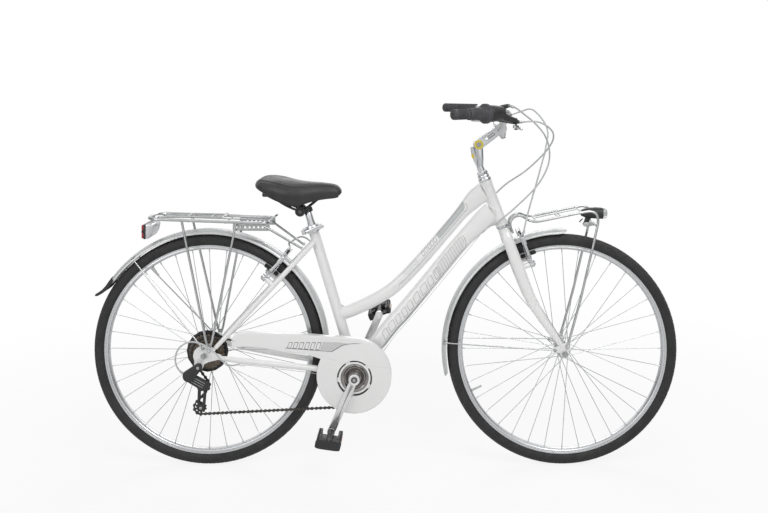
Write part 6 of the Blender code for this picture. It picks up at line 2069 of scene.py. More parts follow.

# %% [markdown]
# ## Cranks
#
# Each crank is a forged arm: wide at the spindle, slim along its length, round at the
# pedal. A grey strip down its face is painted shade, where a fluted groove would lie in
# shade, and a dark disc in the middle of the boss is painted shade in its hollow. The
# right one carries a stepped disc and a white cover with five long slots, which turns
# inside the guard's opening. A dark ring behind the slots is painted shade.

# %% The cranks
CRANK_LENGTH = 168
CRANK_ALONG = around(Vector(), 1, 246)
CRANK_UP = Vector((-CRANK_ALONG.z, 0, CRANK_ALONG.x))


def crank_side(side):
    """The directions along and across the arm at this side."""
    return (CRANK_ALONG, CRANK_UP) if side == RIGHT else (-CRANK_ALONG, -CRANK_UP)


def on_crank(side, outline):
    """An outline of (along, across) on the arm at this side, in the bicycle's own axes."""
    reach, rise = crank_side(side)
    return [
        (reach.x * along + rise.x * across, reach.z * along + rise.z * across) for along,
        across in outline
    ]


def crank_outline():
    boss = circle(16.8, 18, (0, 0), 42, 318)
    lower = [(16, -11.8), (30, -12.4), (60, -12.2), (110, -11.4), (146, -11.2), (158, -11.4)]
    eye = circle(11.9, 16, (CRANK_LENGTH, 0), -112, 112)
    upper = [(along, -across) for along, across in reversed(lower)]
    return boss + lower + eye + upper


for side, label in SIDES:
    out = Y * side
    eye = BRACKET + crank_side(side)[0] * CRANK_LENGTH
    parts = [plate([on_crank(side, crank_outline())], 12.6, BRACKET + out * 69.6, bevel=2.6)]
    boss = [
        (0, 63.4), (17.4, 63.4), (17.8, 68), (17.0, 76.0), (16.2, 78.0), (14.4, 78.8), (11.2, 78.8),
        (10, 77.8), (0, 77.8)
    ]
    parts.append(lathe(boss, BRACKET, out, 40))
    parts.append(
        lathe([(0, 62.8), (10.5, 62.8), (11, 63.4), (11, 76.2), (10.4, 77), (0, 77)], eye, out, 32)
    )
    parts.append(pin(eye + out * 75, eye + out * 161.6, 4.4, 20, 1.2))
    parts.append(lathe([(0, 75.8), (7.6, 75.8), (7.6, 77.4), (0, 77.4)], eye, out, 6))
    if side == RIGHT:
        disc = [
            (0, -62.8), (13, -62.8), (16.6, -59.4), (19.4, -59.2), (20.4, -57.4), (22.4, -58.6),
            (24.6, -55.2), (26.8, -56.4), (28.6, -52.8), (31.0, -52.6), (37.6, -57.0), (40.8, -57.2),
            (41.4, -56.0), (41.4, -51.6), (20, -47), (0, -46)
        ]
        piece(
            "bracket_rings", [lathe(disc, BRACKET, Y, 90)], "smoked_chrome", "crankset",
            slot="bright_chrome"
        )
        for index in range(5):
            angle = 42 + index * 72
            spot = around(BRACKET, 60, angle, -46.0)
            parts.append(pin(spot, spot - Y * 8.4, 3.6, 16))
        parts.append(pin(BRACKET - Y * 63, BRACKET + Y * 72, 8.3, 32))
    else:
        parts[1] = lathe(
            [(9.2, 63.4), (16.6, 63.4), (16.6, 68), (14.8, 76.2), (14.8, 78), (9.2, 78)], BRACKET, out,
            40, closed=True
        )
        parts[0] = plate(
            [on_crank(side, crank_outline()), circle(9.2, 32)], 12.6, BRACKET + out * 69.6, bevel=0.4
        )
        parts.append(
            lathe([(0, 76.2), (12.6, 76.2), (13.2, 77), (12.4, 78.8), (0, 79.2)], BRACKET, out, 32)
        )
    piece(
        label + "_crank_arm", parts, "polished_alloy", "crankset", label + "_crank",
        slot="bright_chrome", sharp=40
    )
    # Painted shade: a thin grey strip on the arm's face, wider near the pedal, stands for the shade in
    # a fluted groove.
    groove = [
        (18, -4.4), (40, -2.6), (74, -0.6), (110, 0.4), (134, -2.4), (152, -7.6), (156, -7.6),
        (156, 7.6), (152, 7.6), (134, 4.4), (110, 2.6), (74, 1.6), (40, 3.0), (18, 5.2)
    ]
    parts = [plate([on_crank(side, softened(groove, 2.4))], 0.6, BRACKET + out * 75.8)]
    # Painted shade: a thin dark disc in the middle of the boss stands for the shade in its hollow.
    recess_shade = [
        (0, 77.6), (9.2, 77.6), (9.2, 78.4), (0, 78.4)
    ] if side == RIGHT else [(0, 78.9), (5.4, 78.9), (5.4, 79.4), (0, 79.4)]
    parts.append(lathe(recess_shade, BRACKET, out, 28))
    piece(label + "_crank_groove", parts[:1], "painted_groove_shade", "crankset", slot="bright_chrome")
    piece(label + "_crank_recess", parts[1:], "dark_metal", "crankset", slot="bright_chrome")
bolt = lathe(
    [(0, 78.0), (4.4, 78.0), (4.8, 78.5), (4.8, 79.2), (4.2, 79.6), (0, 79.6)], BRACKET, Y * RIGHT, 6
)
piece("crank_bolt", [bolt], "zinc_plate", "crankset", slot="bright_chrome", sharp=30)
# Painted shade: a dark ring fills the gap behind the cover's slots, where the space between the cover
# and the chainring is in shade.
shade_backing = [(30, -50.4), (58.5, -50.4), (58.5, -49.0), (30, -49.0)]
piece(
    "slot_backing", [lathe(shade_backing, BRACKET, Y, 72, closed=True)], "dark_metal", "crankset",
    slot="dark_steel"
)
rim_line = []
for index in range(5):
    angle = 78 + index * 72
    rim_line += circle(
        47.6, 15, (0, 0), angle - 27, angle + 27
    ) + circle(52.0, 6, (0, 0), angle + 29, angle + 43)
window = circle(41.8, 60)
disc = plate([rim_line, window], 1.6, BRACKET - Y * 57.0, bevel=0.3)
piece("chainring_cover", [disc], "white_enamel", "crankset", slot="painted_frame")

# %% [markdown]
# ## Pedals
#
# A pedal is a moulded cage round an axle tube, with upright side plates, toothed treads
# and an amber reflector at its front and back.

# %% The pedals
for side, label in SIDES:
    centre = BRACKET + crank_side(side)[0] * CRANK_LENGTH + Y * side * 124
    tilt = 8.0 if side == RIGHT else -22.0
    turn = Matrix.Rotation(math.radians(tilt), 3, Y)
    parts = []
    for end in (-1, 1):
        bar = centre + turn @ Vector((end * 29.6, 0, 0))
        parts.append(block(bar, (12.4, 88, 10), tilt, 1.5))
        for height in (-8.4, 8.4):
            rail = centre + turn @ Vector((end * 29.2, 0, height))
            parts.append(block(rail, (12, 88, 4.4), tilt, 1.2))
        rib = [
            centre + turn @ Vector((end * 7, side * 28, 2)),
            centre + turn @ Vector((end * 26, side * -6, 2))
        ]
        parts.append(pipe(rib, 3.6, 8))
        deck = centre + turn @ Vector((end * 19, side * 29, 0))
        parts.append(block(deck, (22, 28, 19), tilt, 1.5))
        for across in (-42, -14, 14, 42):
            post = centre + turn @ Vector((end * 32.4, across, 0))
            parts.append(block(post, (5.4, 4.2, 20), tilt, 0.8))
    parts.append(block(centre + turn @ Vector((0, 0, -7)), (52, 84, 5), tilt, 1.5))
    cheek = [(-36.4, -7), (-36.4, 7), (-33, 10.4), (-20, 11.6), (20, 11.6), (33, 10.4), (36.4, 7)]
    cheek += [(x, -z) for x, z in reversed(cheek[1:-1])]
    parts.append(plate([softened(cheek, 3)], 4.6, centre + Y * side * 43.6, -Y, turn @ Z, bevel=0.8))
    tube = [(5.3, -44), (11.0, -44), (9.4, -36), (8.4, -10), (8.4, 30), (9.6, 40), (5.3, 40)]
    parts.append(lathe(tube, centre, Y * side, 28, closed=True))
    piece(
        label + "_pedal_cage", parts, "black_moulding", label + "_pedal", label + "_pedal",
        slot="black_plastic"
    )
    teeth = []
    for end in (-1, 1):
        for face in (-1, 1):
            row = [centre + turn @ Vector((end * 31.0, across, face * 10.8)) for across in (-38, 38)]
            tooth = [block(Vector(), (2.6, 4.4, 1.8), 0, 0.5)]
            made = repeated_along(label + "_tread_row", row, [tooth], 11, "black_moulding")
            teeth.append(made)
    with bpy.context.temp_override(active_object=teeth[0], selected_editable_objects=teeth):
        bpy.ops.object.join()
    teeth[0].name = label + "_pedal_teeth"
    placed(teeth[0], "black_moulding", label + "_pedal", slot="black_plastic")
    glass = []
    for end in (-1, 1):
        glass.append(block(centre + turn @ Vector((end * 35.6, 0, 0)), (1.6, 50, 8.5), tilt, 0.5))
    piece(label + "_pedal_reflectors", glass, "amber_reflector", label + "_pedal", slot="black_plastic")
print("pedals done")

# %% [markdown]
# ## The chain guard
#
# The guard is a white moulding: a flat face with a rounded rim, and walls that reach
# inwards over the chain. One section is carried round the outline. Where the chain and
# the stay leave the guard, the section's wall is drawn short, as if cut away.

# %% The chain guard
GUARD_CENTRE = BRACKET + Vector((-1.6, 0, 5.9))


def guard_outline():
    """The outline from the side: the disc, then the arm along the chain's upper run."""
    disc = circle(111.7, 90, (GUARD_CENTRE.x, GUARD_CENTRE.z), 88, -207)
    arm = [
        bracket(-140.5, 0, 69.5), rear(134.6, 0, 23.3), rear(84, 0, 19.5), rear(78, 0, 27),
        rear(84, 0, 54), rear(94, 0, 64.5), rear(270, 0, 61), bracket(-83, 0, 124),
        bracket(-40, 0, 122.3)
    ]
    arm = [(point.x, point.z) for point in arm]
    return disc + softened([disc[-1], *arm, disc[0]], 9, 5)[6:-6]


outline = guard_outline()
count = len(outline)
rings = []
for index in range(count):
    before, after = Vector(outline[index - 1]), Vector(outline[(index + 1) % count])
    along = (after - before).normalized()
    inward = Vector((-along.y, along.x)) * -1
    spot = Vector(outline[index])
    lower = abs(spot.x - (BRACKET.x - 89)) < 64 and abs(spot.y - (BRACKET.z - 30)) < 76
    tail = abs(spot.x - (REAR_HUB.x + 80)) < 20 and abs(spot.y - (REAR_HUB.z + 38)) < 21
    deep = -57.2 if lower or tail else -41.0
    section = (
        (0, deep), (0, -57.4), (0.7, -59.0), (2.2, -59.9), (4.4, -60), (4.4, -58.6), (1.5, -58.2),
        (1.5, deep)
    )
    rings.append([Vector((spot.x + inward.x * a, b, spot.y + inward.y * a)) for a, b in section])
inner = []
for index in range(count):
    face = rings[index][4]
    outward = Vector(outline[index]) - Vector((face.x, face.z))
    inner.append((face.x + outward.x * 0.1, face.z + outward.y * 0.1))
opening = circle(52.4, 72, (BRACKET.x, BRACKET.z))
face = plate([inner, opening], 1.4, Vector((0, -59.3, 0)))
arm = pin(rear(90, -59, 41), stay(88, -10, -59), 3.6, 20)
parts = [skin(rings, closed_path=True), face, arm]
piece("guard_shell", parts, "white_enamel", "frame", "chain_guard", slot="painted_frame", sharp=50)
seams = []
for start, end in (
    ((bracket(-124, 0, 74)), (bracket(-54, 0, 52))), ((bracket(50, 0, 36)), (bracket(110, 0, 30)))
):
    along = (end - start).normalized()
    edge = Vector((-along.z, 0, along.x)) * 0.25
    corners = [start - edge, end - edge, end + edge, start + edge]
    seams.append(plate([[(point.x, point.z) for point in corners]], 0.1, Vector((0, -60.0, 0))))
piece("guard_seams", seams, "seam_shadow", "frame", slot="painted_frame")

# %% [markdown]
# ## The derailleur
#
# The changer hangs from the fork end: a pivot bolt, a parallelogram of two links, and a
# cage of two windowed plates that holds the guide and tension wheels in the chain's
# plane. The wheels turn with the chain, so each is a piece of its own.

# %% The derailleur
body_place = rear(-46, 0, -60)
hanger_place = rear(-15, 0, -32)
guide_flat, tension_flat = (GUIDE.x, GUIDE.z), (TENSION.x, TENSION.z)
parts = [lathe([(0, -13.6), (7, -13.6), (8.4, -12), (8.4, 0), (0, 0)], hanger_place - Y * 71.4, Y, 28)]
knuckle = hull((hanger_place.x, hanger_place.z), (body_place.x + 3, body_place.z + 3), 11.5, 17.5, 16)
parts.append(plate([knuckle], 10.6, Vector((0, -78.3, 0)), bevel=1.6))
knee = rear(-18, -60, -90)
for offset in (Vector((-5.5, 0, 3)), Vector((5.5, 0, -3))):
    start, end = body_place + offset - Y * 72, Vector((knee.x, -60, knee.z)) + offset
    parts.append(beam([(start, 6, 8), (start.lerp(end, 0.5), 5, 7), (end, 6, 8)], 14))
parts.append(
    lathe([(0, -10), (8.6, -10), (10.8, -8), (10.8, 8), (9.4, 9.6), (0, 9.6)], GUIDE - Y * 59, Y, 28)
)
outer_link = [rear(-38, 0, -68), rear(-2, 0, -88)]
shield = hull((outer_link[0].x, outer_link[0].z), (outer_link[1].x, outer_link[1].z), 15, 16.5, 16)
parts.append(plate([shield], 7, Vector((0, -67.5, 0)), bevel=2.4))
parts.append(pin(rear(-46, -73, -60), rear(-60, -73, -49), 3.6, 16))
parts.append(
    lathe([(0, 0), (4.6, 0), (4.6, 6), (3.4, 8), (0, 8)], rear(-52, -73, -55), Vector((-14, 0, 11)), 12)
)
cage = hull(guide_flat, tension_flat, 12.6, 10.8, 16)
slots = []
for low, high in ((0.28, 0.50), (0.56, 0.76)):
    ends = [GUIDE.lerp(TENSION, share) for share in (low, high)]
    slots.append(hull((ends[0].x, ends[0].z), (ends[1].x, ends[1].z), 5.0, 4.6, 8))
for place in (-50.6, -39.4):
    parts.append(plate([cage, *slots], 1.6, Vector((0, place, 0)), bevel=0.3))
for centre in (GUIDE, TENSION):
    parts.append(pin(centre - Y * 52.6, centre - Y * 38.0, 2.5, 16))
piece("gear_changer", parts, "black_moulding", "frame", "derailleur", slot="black_plastic", sharp=34)
screws = [pin(centre - Y * 52.2, centre - Y * 54.0, 4.4, 18, 0.4) for centre in (GUIDE, TENSION)]
screws.append(pin(hanger_place - Y * 84.6, hanger_place - Y * 85.8, 4.6, 18, 0.4))
# Painted highlights: three thin pale ribs along the outer link stand for glossy stripes of light on its
# black face.
slope = (outer_link[1] - outer_link[0]).normalized()
for across in (-7, 0, 7):
    start = outer_link[0].lerp(outer_link[1], 0.5) + Vector((-slope.z, 0, slope.x)) * across - Y * 71.2
    screws.append(pipe([start - slope * 20, start + slope * 22], 0.8, 8))
piece("gear_changer_screws", screws, "zinc_plate", "frame", slot="black_plastic")
for name, centre in (("guide", GUIDE), ("tension", TENSION)):
    wheel = notched([17.3 - depth for depth in (3.6, 2.2, 0.5, 0, 0.5, 2.2)] * 10)
    ribs = [circle(2.0, 10, spot) for spot in circle(8.4, 6)]
    parts = [plate([wheel, circle(3.4, 20), *ribs], 2.2, centre + CHAIN_LINE, bevel=0.2)]
    hub = [(3.0, -2.5), (5.6, -2.5), (5.6, 2.5), (3.0, 2.5)]
    parts.append(lathe(hub, centre + CHAIN_LINE, Y, 24, closed=True))
    body = name + "_pulley"
    piece(name + "_wheel", parts, "black_moulding", body, body, slot="black_plastic")
print("changer done")

# %% [markdown]
# ## The stem and the handlebar
#
# The stem can be set at an angle: its arm turns on a bolt through the head of the
# quill, marked by a yellow ring. The handlebar is one tube bent outwards, up and back.

# %% The stem
STEM_PIVOT = fork(STEERER_HIGH) + Vector((-8.6, 0, 78.1))
BAR_CENTRE = fork(STEERER_HIGH) + Vector((57.7, 0, 126.3))
foot = fork(STEERER_HIGH)
rise = STEM_PIVOT - foot
stations = [
    (fork(STEERER_HIGH - 60), 22, 22), (foot + STEER_UP * 4, 22, 22), (foot + STEER_UP * 10, 20.4, 21),
    (foot + rise * 0.5, 22.6, 20.4), (foot + rise * 0.8, 26, 19), (STEM_PIVOT, 27, 17.6)
]
parts = [
    beam(blended(stations, 6), 36),
    lathe(
        [(0, -8.8), (14.6, -8.8), (15.6, -7.8), (15.6, 7.8), (14.6, 8.8), (0, 8.8)], STEM_PIVOT, Y, 44
    )
]
fin = [
    (foot + STEER_UP * 6 + Vector((-6, 0, 0)), 9, 9),
    (foot + rise * 0.55 + Vector((-17, 0, 0)), 14, 14), (STEM_PIVOT + Vector((-19, 0, -8)), 12, 15)
]
parts.append(beam(blended(fin, 6), 20))
piece("stem_quill", parts, "chrome_plate", "steering", "quill_stem", slot="bright_chrome")

reach = BAR_CENTRE - STEM_PIVOT
parts = []
for side in (RIGHT, LEFT):
    cheek = hull((0, 0), (reach.x, reach.z), 15.6, 13.5, 18)
    window = hull((reach.x * 0.36, reach.z * 0.36), (reach.x * 0.66, reach.z * 0.66), 4.6, 5.0, 8)
    parts.append(plate([cheek, window], 8.6, STEM_PIVOT + Y * side * 13.6, bevel=1.8))
web = [(STEM_PIVOT.lerp(BAR_CENTRE, 0.42), 13, 20), (STEM_PIVOT.lerp(BAR_CENTRE, 0.82), 17, 24)]
parts.append(beam(web, 24))
clamp = [(11.2, -21), (17.4, -21), (18.4, -20), (19.6, 0), (18.4, 20), (17.4, 21), (11.2, 21)]
parts.append(lathe(clamp, BAR_CENTRE, Y, 48, closed=True))
chin = [
    (BAR_CENTRE + Vector((4, 0, -9)), 26, 34), (BAR_CENTRE + Vector((7, 0, -20)), 23, 30),
    (BAR_CENTRE + Vector((9, 0, -26)), 17, 22)
]
parts.append(beam(chin, 30))
piece("stem_cheeks", parts, "bare_aluminium", "steering", "stem_arm", slot="bright_chrome")
bolts = [
    lathe(
        [(0, 0), (6.2, 0), (6.8, 0.6), (6.8, 5.6), (3.4, 6.4), (3.4, 3), (0, 3)],
        BAR_CENTRE + Vector((9, 0, -25)), Vector((0.35, 0, -1)), 24
    )
]
bolts.append(
    lathe(
        [(0, -18), (7.4, -18), (7.4, -19.4), (6.6, -20.4), (3.6, -20.4), (3.2, -18.8), (0, -18.8)],
        STEM_PIVOT, Y, 28
    )
)
bolts.append(lathe([(0, 18), (7.4, 18), (7.4, 19.4), (6.6, 20.4), (0, 20.4)], STEM_PIVOT, Y, 28))
piece("stem_bolts", bolts, "zinc_plate", "steering", slot="bright_chrome")
rings = [
    lathe(
        [(8.0, s * 17.8), (13.8, s * 17.8), (13.8, s * 18.5), (8.0, s * 18.5)], STEM_PIVOT, Y, 44,
        closed=True
    ) for s in (RIGHT, LEFT)
]
mark = hull((0, -4), (0, 4), 3.6, 3.6, 10)
rings.append(plate([mark], 2.0, Vector((265, -7.6, 934.5)), -Y, STEER_UP, bevel=0.3))
piece("stem_marks", rings, "yellow_ring", "steering", slot="bright_chrome")


# %% The handlebar
def bar(x, y, z):
    return BAR_CENTRE + Vector((x, y, z))


def grip_axis(side):
    sweep = math.radians(54)
    return Vector((-math.sin(sweep), side * math.cos(sweep), 0))


def grip_start(side):
    return bar(-9.3, side * 189.3, 54)


def bar_half(side):
    bend = [
        bar(0, side * 35, 0), bar(-3, side * 70, 7), bar(-1, side * 120, 33), bar(1, side * 165, 51),
        bar(0, side * 178, 53.4), bar(-4, side * 185.5, 54), grip_start(side),
        grip_start(side) + grip_axis(side) * 182
    ]
    return curved(bend, 7)


centre_line = bar_half(RIGHT)[::-1] + [bar(0, y, 0) for y in (-18, 0, 18)] + bar_half(LEFT)
piece(
    "bar_tube", [pipe(centre_line, 11.0, 28)], "bare_aluminium", "steering", "handlebar",
    slot="bare_aluminium"
)


def nearest(side, across):
    """The place on the bar this far across, and the bar's direction there."""
    line = bar_half(side)
    index = min(range(1, len(line) - 1), key=lambda i: abs(abs(line[i].y) - across))
    return line[index], (line[index + 1] - line[index - 1]).normalized()


# %% [markdown]
# ## Grips and the twist shifter
#
# The grips are soft rubber with a fine row of rings, which the path tree repeats. The
# shifter is a sleeve with flutes along it and a wide flange, and it turns on the bar
# next to the short grip.

# %% Grips
for side, label in SIDES:
    begin = 131.0 if side == RIGHT else 55.0
    place, out = grip_start(side), grip_axis(side)
    sleeve = [
        (11.15, begin), (14.0, begin), (14.5, begin + 0.8), (14.5, begin + 5), (13.6, begin + 6),
        (13.6, 172), (14.6, 173.2), (14.6, 180.6), (13.9, 183.2), (12.4, 184.4), (4, 184.6), (4, 183.8),
        (0, 183.8), (0, 182.4), (11.15, 182.4)
    ]
    piece(
        label + "_grip_sleeve", [lathe(sleeve, place, out, 40)], "grip_rubber", "steering",
        label + "_grip", slot="grip_rubber"
    )
    ring = [
        lathe(
            [(13.2, -0.9), (14.1, -0.9), (14.5, -0.4), (14.5, 0.4), (14.1, 0.9), (13.2, 0.9)], Vector(),
            X, 36, closed=True
        )
    ]
    row = [place + out * (begin + 8.6), place + out * 170.4]
    rings = repeated_along(
        label + "_grip_rings", row, [ring], round((162 - begin) / 3.1), "grip_rubber", sharp=30
    )
    placed(rings, "grip_rubber", "steering", slot="grip_rubber")


def fluted(rows, place, axis, flutes, steps):
    """A closed sleeve turned about an axis, where rows of (radius, along, flute) may be fluted."""
    across = axis.cross(Z).normalized()
    up = across.cross(axis)
    rings = []
    for step in range(steps):
        turn = 2 * math.pi * step / steps
        out = across * math.cos(turn) + up * math.sin(turn)
        wave = 0.5 + 0.5 * math.cos(turn * flutes)
        rings.append(
            [place + axis * along + out * (radius - flute * wave) for radius, along, flute in rows]
        )
    return skin(rings, closed_path=True)


rows = [
    (11.5, 62, 0), (20, 62, 0), (27.2, 63.4, 0), (28, 64.6, 0), (28, 73, 0), (27, 74.4, 0),
    (20, 75.6, 0), (17.6, 78, 0), (17.5, 80, 0.2), (17.5, 84, 1.1), (17.2, 104, 1.1), (16.8, 123, 1.1),
    (16.6, 126, 0.2), (16.5, 129.4, 0), (15.6, 130.4, 0), (11.5, 130.4, 0)
]
sleeve = fluted(rows, grip_start(RIGHT), grip_axis(RIGHT), 22, 132)
piece(
    "shifter_sleeve", [sleeve], "grip_rubber", "twist_shifter", "twist_shifter", slot="grip_rubber",
    sharp=50
)

# %% [markdown]
# ## Brake levers
#
# A clamp, a body and a pivot pin hold each lever. The blades are rounded bars of bare
# aluminium that thin towards a ball end.

# %% Lever brackets
for side, label in SIDES:
    centre, along = nearest(side, 150)
    pivot = bar(27, side * 172, 16)
    clamp = [(11.2, -8), (15.6, -8), (16.4, -7), (16.4, 7), (15.6, 8), (11.2, 8)]
    parts = [lathe(clamp, centre, along, 40, closed=True)]
    body = [
        (bar(-28, side * 166, 33), 9, 15), (bar(-16, side * 166, 34.5), 14, 22),
        (bar(4, side * 166, 31.5), 15, 24), (bar(24, side * 166, 28.5), 15, 23),
        (bar(34, side * 166, 28), 11, 16), (bar(37, side * 166, 27.8), 9, 12)
    ]
    stations = blended(body, 4)
    parts.append(beam(stations, 28))
    parts.append(pin(pivot + Z * 13, pivot - Z * 7.2, 2.8, 20))
    parts.append(lathe([(0, -10.2), (4.6, -10.2), (5.4, -9.4), (5.4, -7.4), (0, -7.4)], pivot, Z, 24))
    if side == RIGHT:
        cover = [
            (11.4, 61.6), (16, 61.6), (21.2, 60.4), (23.6, 54), (23.4, 40), (21.6, 24), (20.4, 12),
            (18.4, 7.6), (11.4, 7.2)
        ]
        parts.append(lathe(cover, grip_start(RIGHT), grip_axis(RIGHT), 44, closed=True))
        neck = [
            (bar(28, side * 172, 33), 13, 17), (bar(4, side * 182, 38), 20, 24),
            (grip_start(RIGHT) + grip_axis(RIGHT) * 22, 32, 30)
        ]
        parts.append(beam(blended(neck, 5), 26))
        nose = [
            (bar(-16, side * 178, 68), 16, 15), (bar(-2, side * 182, 73), 13, 12),
            (bar(8, side * 185, 75.4), 9, 8)
        ]
        parts.append(beam(blended(nose, 3), 20))
    piece(
        label + "_lever_body", parts, "black_moulding", "steering", label + "_lever_bracket",
        slot="black_plastic"
    )
    barrel = [(0, 0), (3.4, 0), (3.4, 2), (4.6, 2.6), (4.6, 7), (3.4, 7.6), (3.4, 13), (0, 13)]
    parts = [lathe(barrel, bar(35, side * 166, 27.8), X, 18)]
    parts.append(lathe([(0, 0), (3.4, 0), (3.8, 0.5), (3.8, 2.2), (0, 2.4)], pivot + Z * 12.6, Z, 6))
    if side == RIGHT:
        parts.append(
            lathe(
                barrel, bar(-7, -184.5, 75.3),
                (Vector((375, -172, 1087)) - Vector((352, -186, 1094.5))), 16
            )
        )
    piece(label + "_lever_screws", parts, "zinc_plate", "steering", slot="black_plastic")
print("brackets done")

# %% Lever blades
blades = {
    RIGHT: ((0, 0, -1.5), (2, -24, -2), (4, -52, -3), (5, -78, -3), (3, -95, -4)),
    LEFT: ((0, 0, -1.5), (-2, 20, -2), (-22, 38, -3), (-60, 64, -4), (-96, 88, -5)),
}
for side, label in SIDES:
    pivot = bar(27, side * 172, 16)
    line = curved([pivot + Vector(step) for step in blades[side]], 5)
    first = next(index for index, point in enumerate(line) if (point - pivot).length > 6.5)
    line = line[first:]
    rings = []
    for index, point in enumerate(line):
        share = index / (len(line) - 1)
        size = 0.55 if index == len(line) - 1 else 1
        tall, thick = (9.2 - 2.6 * share) * size, (8.6 - 1.2 * share) * size
        rings.append(oval(point, direction(line, index).cross(Z).normalized(), Z, thick, tall, 16))
    head = [(3.4, -6.0), (7.8, -6.0), (8.8, -5.2), (8.8, 2.4), (8.0, 3.1), (3.4, 3.1)]
    parts = [skin(rings), lathe(head, pivot, Z, 28, closed=True)]
    name = label + "_brake_lever"
    piece(label + "_lever_blade", parts, "bare_aluminium", name, name, slot="black_plastic")
print("levers done")

# %% [markdown]
# ## Rim brakes
#
# Each brake has two slim arms on bosses, with rubber pads level with the rim. A cable
# crosses between the arms' tops: a bent metal guide brings it to the one arm, and its
# wire goes through a rubber boot to the other. A spring stands behind each arm.

# %% The brake arms
PAD_HEIGHT = math.sqrt(PAD_TRACK**2 - REAR_BRAKE_BACK**2)
ARM_PIVOT = PAD_HEIGHT - 26
NOODLE = ARM_PIVOT + 94


def brake_arm(name, place, up, axis, hub, side, offset):
    root = place(ARM_PIVOT, offset, 0)
    flip = up.cross(axis).dot(Y)
    base, top = side * BOSS_ACROSS * flip, side * 46 * flip
    main = hull((base, 0), (base + (top - base) * 0.86, 84), 8.2, 5.4, 14)
    lean = (top - base) / 100
    parts = [plate([main, circle(5.35, 24, (base, 0))], 8.6, root, axis, up, bevel=1.2)]
    for level in (-5.5, 5.5):
        ear = hull((base + lean * 68, 68), (base + lean * 97, 97), 5.2, 4.6, 10)
        parts.append(plate([ear], 2.6, root + axis * level, axis, up, bevel=0.5))
    collar = [(5.35, -7), (7.6, -7), (8.8, -6), (8.8, 6), (7.6, 7), (5.35, 7)]
    stud = place(ARM_PIVOT, offset, side * BOSS_ACROSS)
    parts.append(lathe(collar, stud, axis, 32, closed=True))
    pad_height = place(PAD_HEIGHT, offset, 0)
    pad = pad_height + Y * side * 18.7
    post_end = pad_height + Y * side * 52
    slot = place(PAD_HEIGHT, offset, side * 42)
    parts.append(block(slot, (10, 9, 17), math.degrees(math.atan2(axis.z, axis.x)) * -1, 2.5))
    piece(name + "_forging", parts, "bare_aluminium", name, name, slot="black_plastic")
    heading = math.degrees(math.atan2(pad.z - hub.z, pad.x - hub.x))
    tilt = -(heading + 90)
    rubber = [
        block(pad - Y * side * 1.0, (50, 6.4, 9.6), tilt, 1.6),
        block(pad + Y * side * 3.0, (36, 3.4, 7.4), tilt, 1.2)
    ]
    piece(name + "_pad", rubber, "pad_rubber", name, slot="black_plastic")
    bolts = [pin(pad + Y * side * 2, post_end, 3.0, 18, 0.8)]
    nut = [(0, 0), (5.0, 0), (5.6, 0.6), (5.6, 4.6), (5.0, 5.2), (0, 5.2)]
    bolts.append(lathe(nut, pad_height + Y * side * 47.4, Y * side, 6))
    for reach in (27, 33):
        bolts.append(
            pin(pad_height + Y * side * reach, pad_height + Y * side * (reach + 3), 6.4, 24, 0.8)
        )
    hook = root + up * 86 + Y * side * 45.2
    bolts.append(pin(hook - axis * 7.4, hook + axis * 7.4, 2.6, 16))
    piece(name + "_bolts", bolts, "zinc_plate", name, slot="black_plastic")
    spring = [
        stud + up * 6 + Y * side * 2 - axis * 8, stud + up * 22 + Y * side * 7 - axis * 8.4,
        stud + up * 48 + Y * side * 9 - axis * 8.2, stud + up * 62 + Y * side * 8.6 - axis * 6
    ]
    piece(
        name + "_spring", [pipe(curved(spring, 5), 0.9, 8)], "spoke_steel", name, slot="black_plastic"
    )


for side, label in SIDES:
    name = "rear_brake_" + label + "_arm"
    brake_arm(name, stay, STAY_ALONG, STAY_BACK, REAR_HUB, side, REAR_BRAKE_BACK)
    name = "front_brake_" + label + "_arm"
    brake_arm(name, fork, STEER_UP, STEER_AHEAD, FRONT_HUB, side, FRONT_BRAKE_AHEAD)
print("brake arms done")

# %% [markdown]
# ## Cables
#
# A cable is a grey sleeve with a metal cap at each end and a bare wire where it runs
# free. Two of them cross from the turning bar to the frame. They stay where they are
# drawn and are carried by no body.

# %% Housings and wires
front_noodle = fork(NOODLE, FRONT_BRAKE_AHEAD)
rear_noodle = stay(NOODLE, REAR_BRAKE_BACK)


def stop_point(along):
    return front(-244.2 + 0.655 * along, -8, 351.2 + 0.756 * along)


def housing(points, lead=()):
    """A sleeve through points, and the metal caps over its two ends."""
    line = [*lead, *curved(points, 6)]
    caps = []
    for end, inner in ((line[0], line[1]), (line[-1], line[-2])):
        along = (inner - end).normalized()
        caps.append(
            lathe(
                [(0, 0), (2.9, 0), (3.1, 0.4), (3.1, 8), (2.7, 8.6), (0, 8.6)], end - along * 0.3,
                along, 16
            )
        )
    return pipe(line, 2.45, 14), caps


def bellows(start, end, radius, folds):
    length = (end - start).length
    profile = [(0, 0), (radius * 0.6, 0)]
    for index in range(folds):
        at = length * (index + 0.3) / (folds + 0.6)
        profile += [(radius, at), (radius * 0.68, at + length / folds * 0.45)]
    profile += [(radius * 0.5, length), (0, length)]
    return lathe(profile, start, end - start, 20)


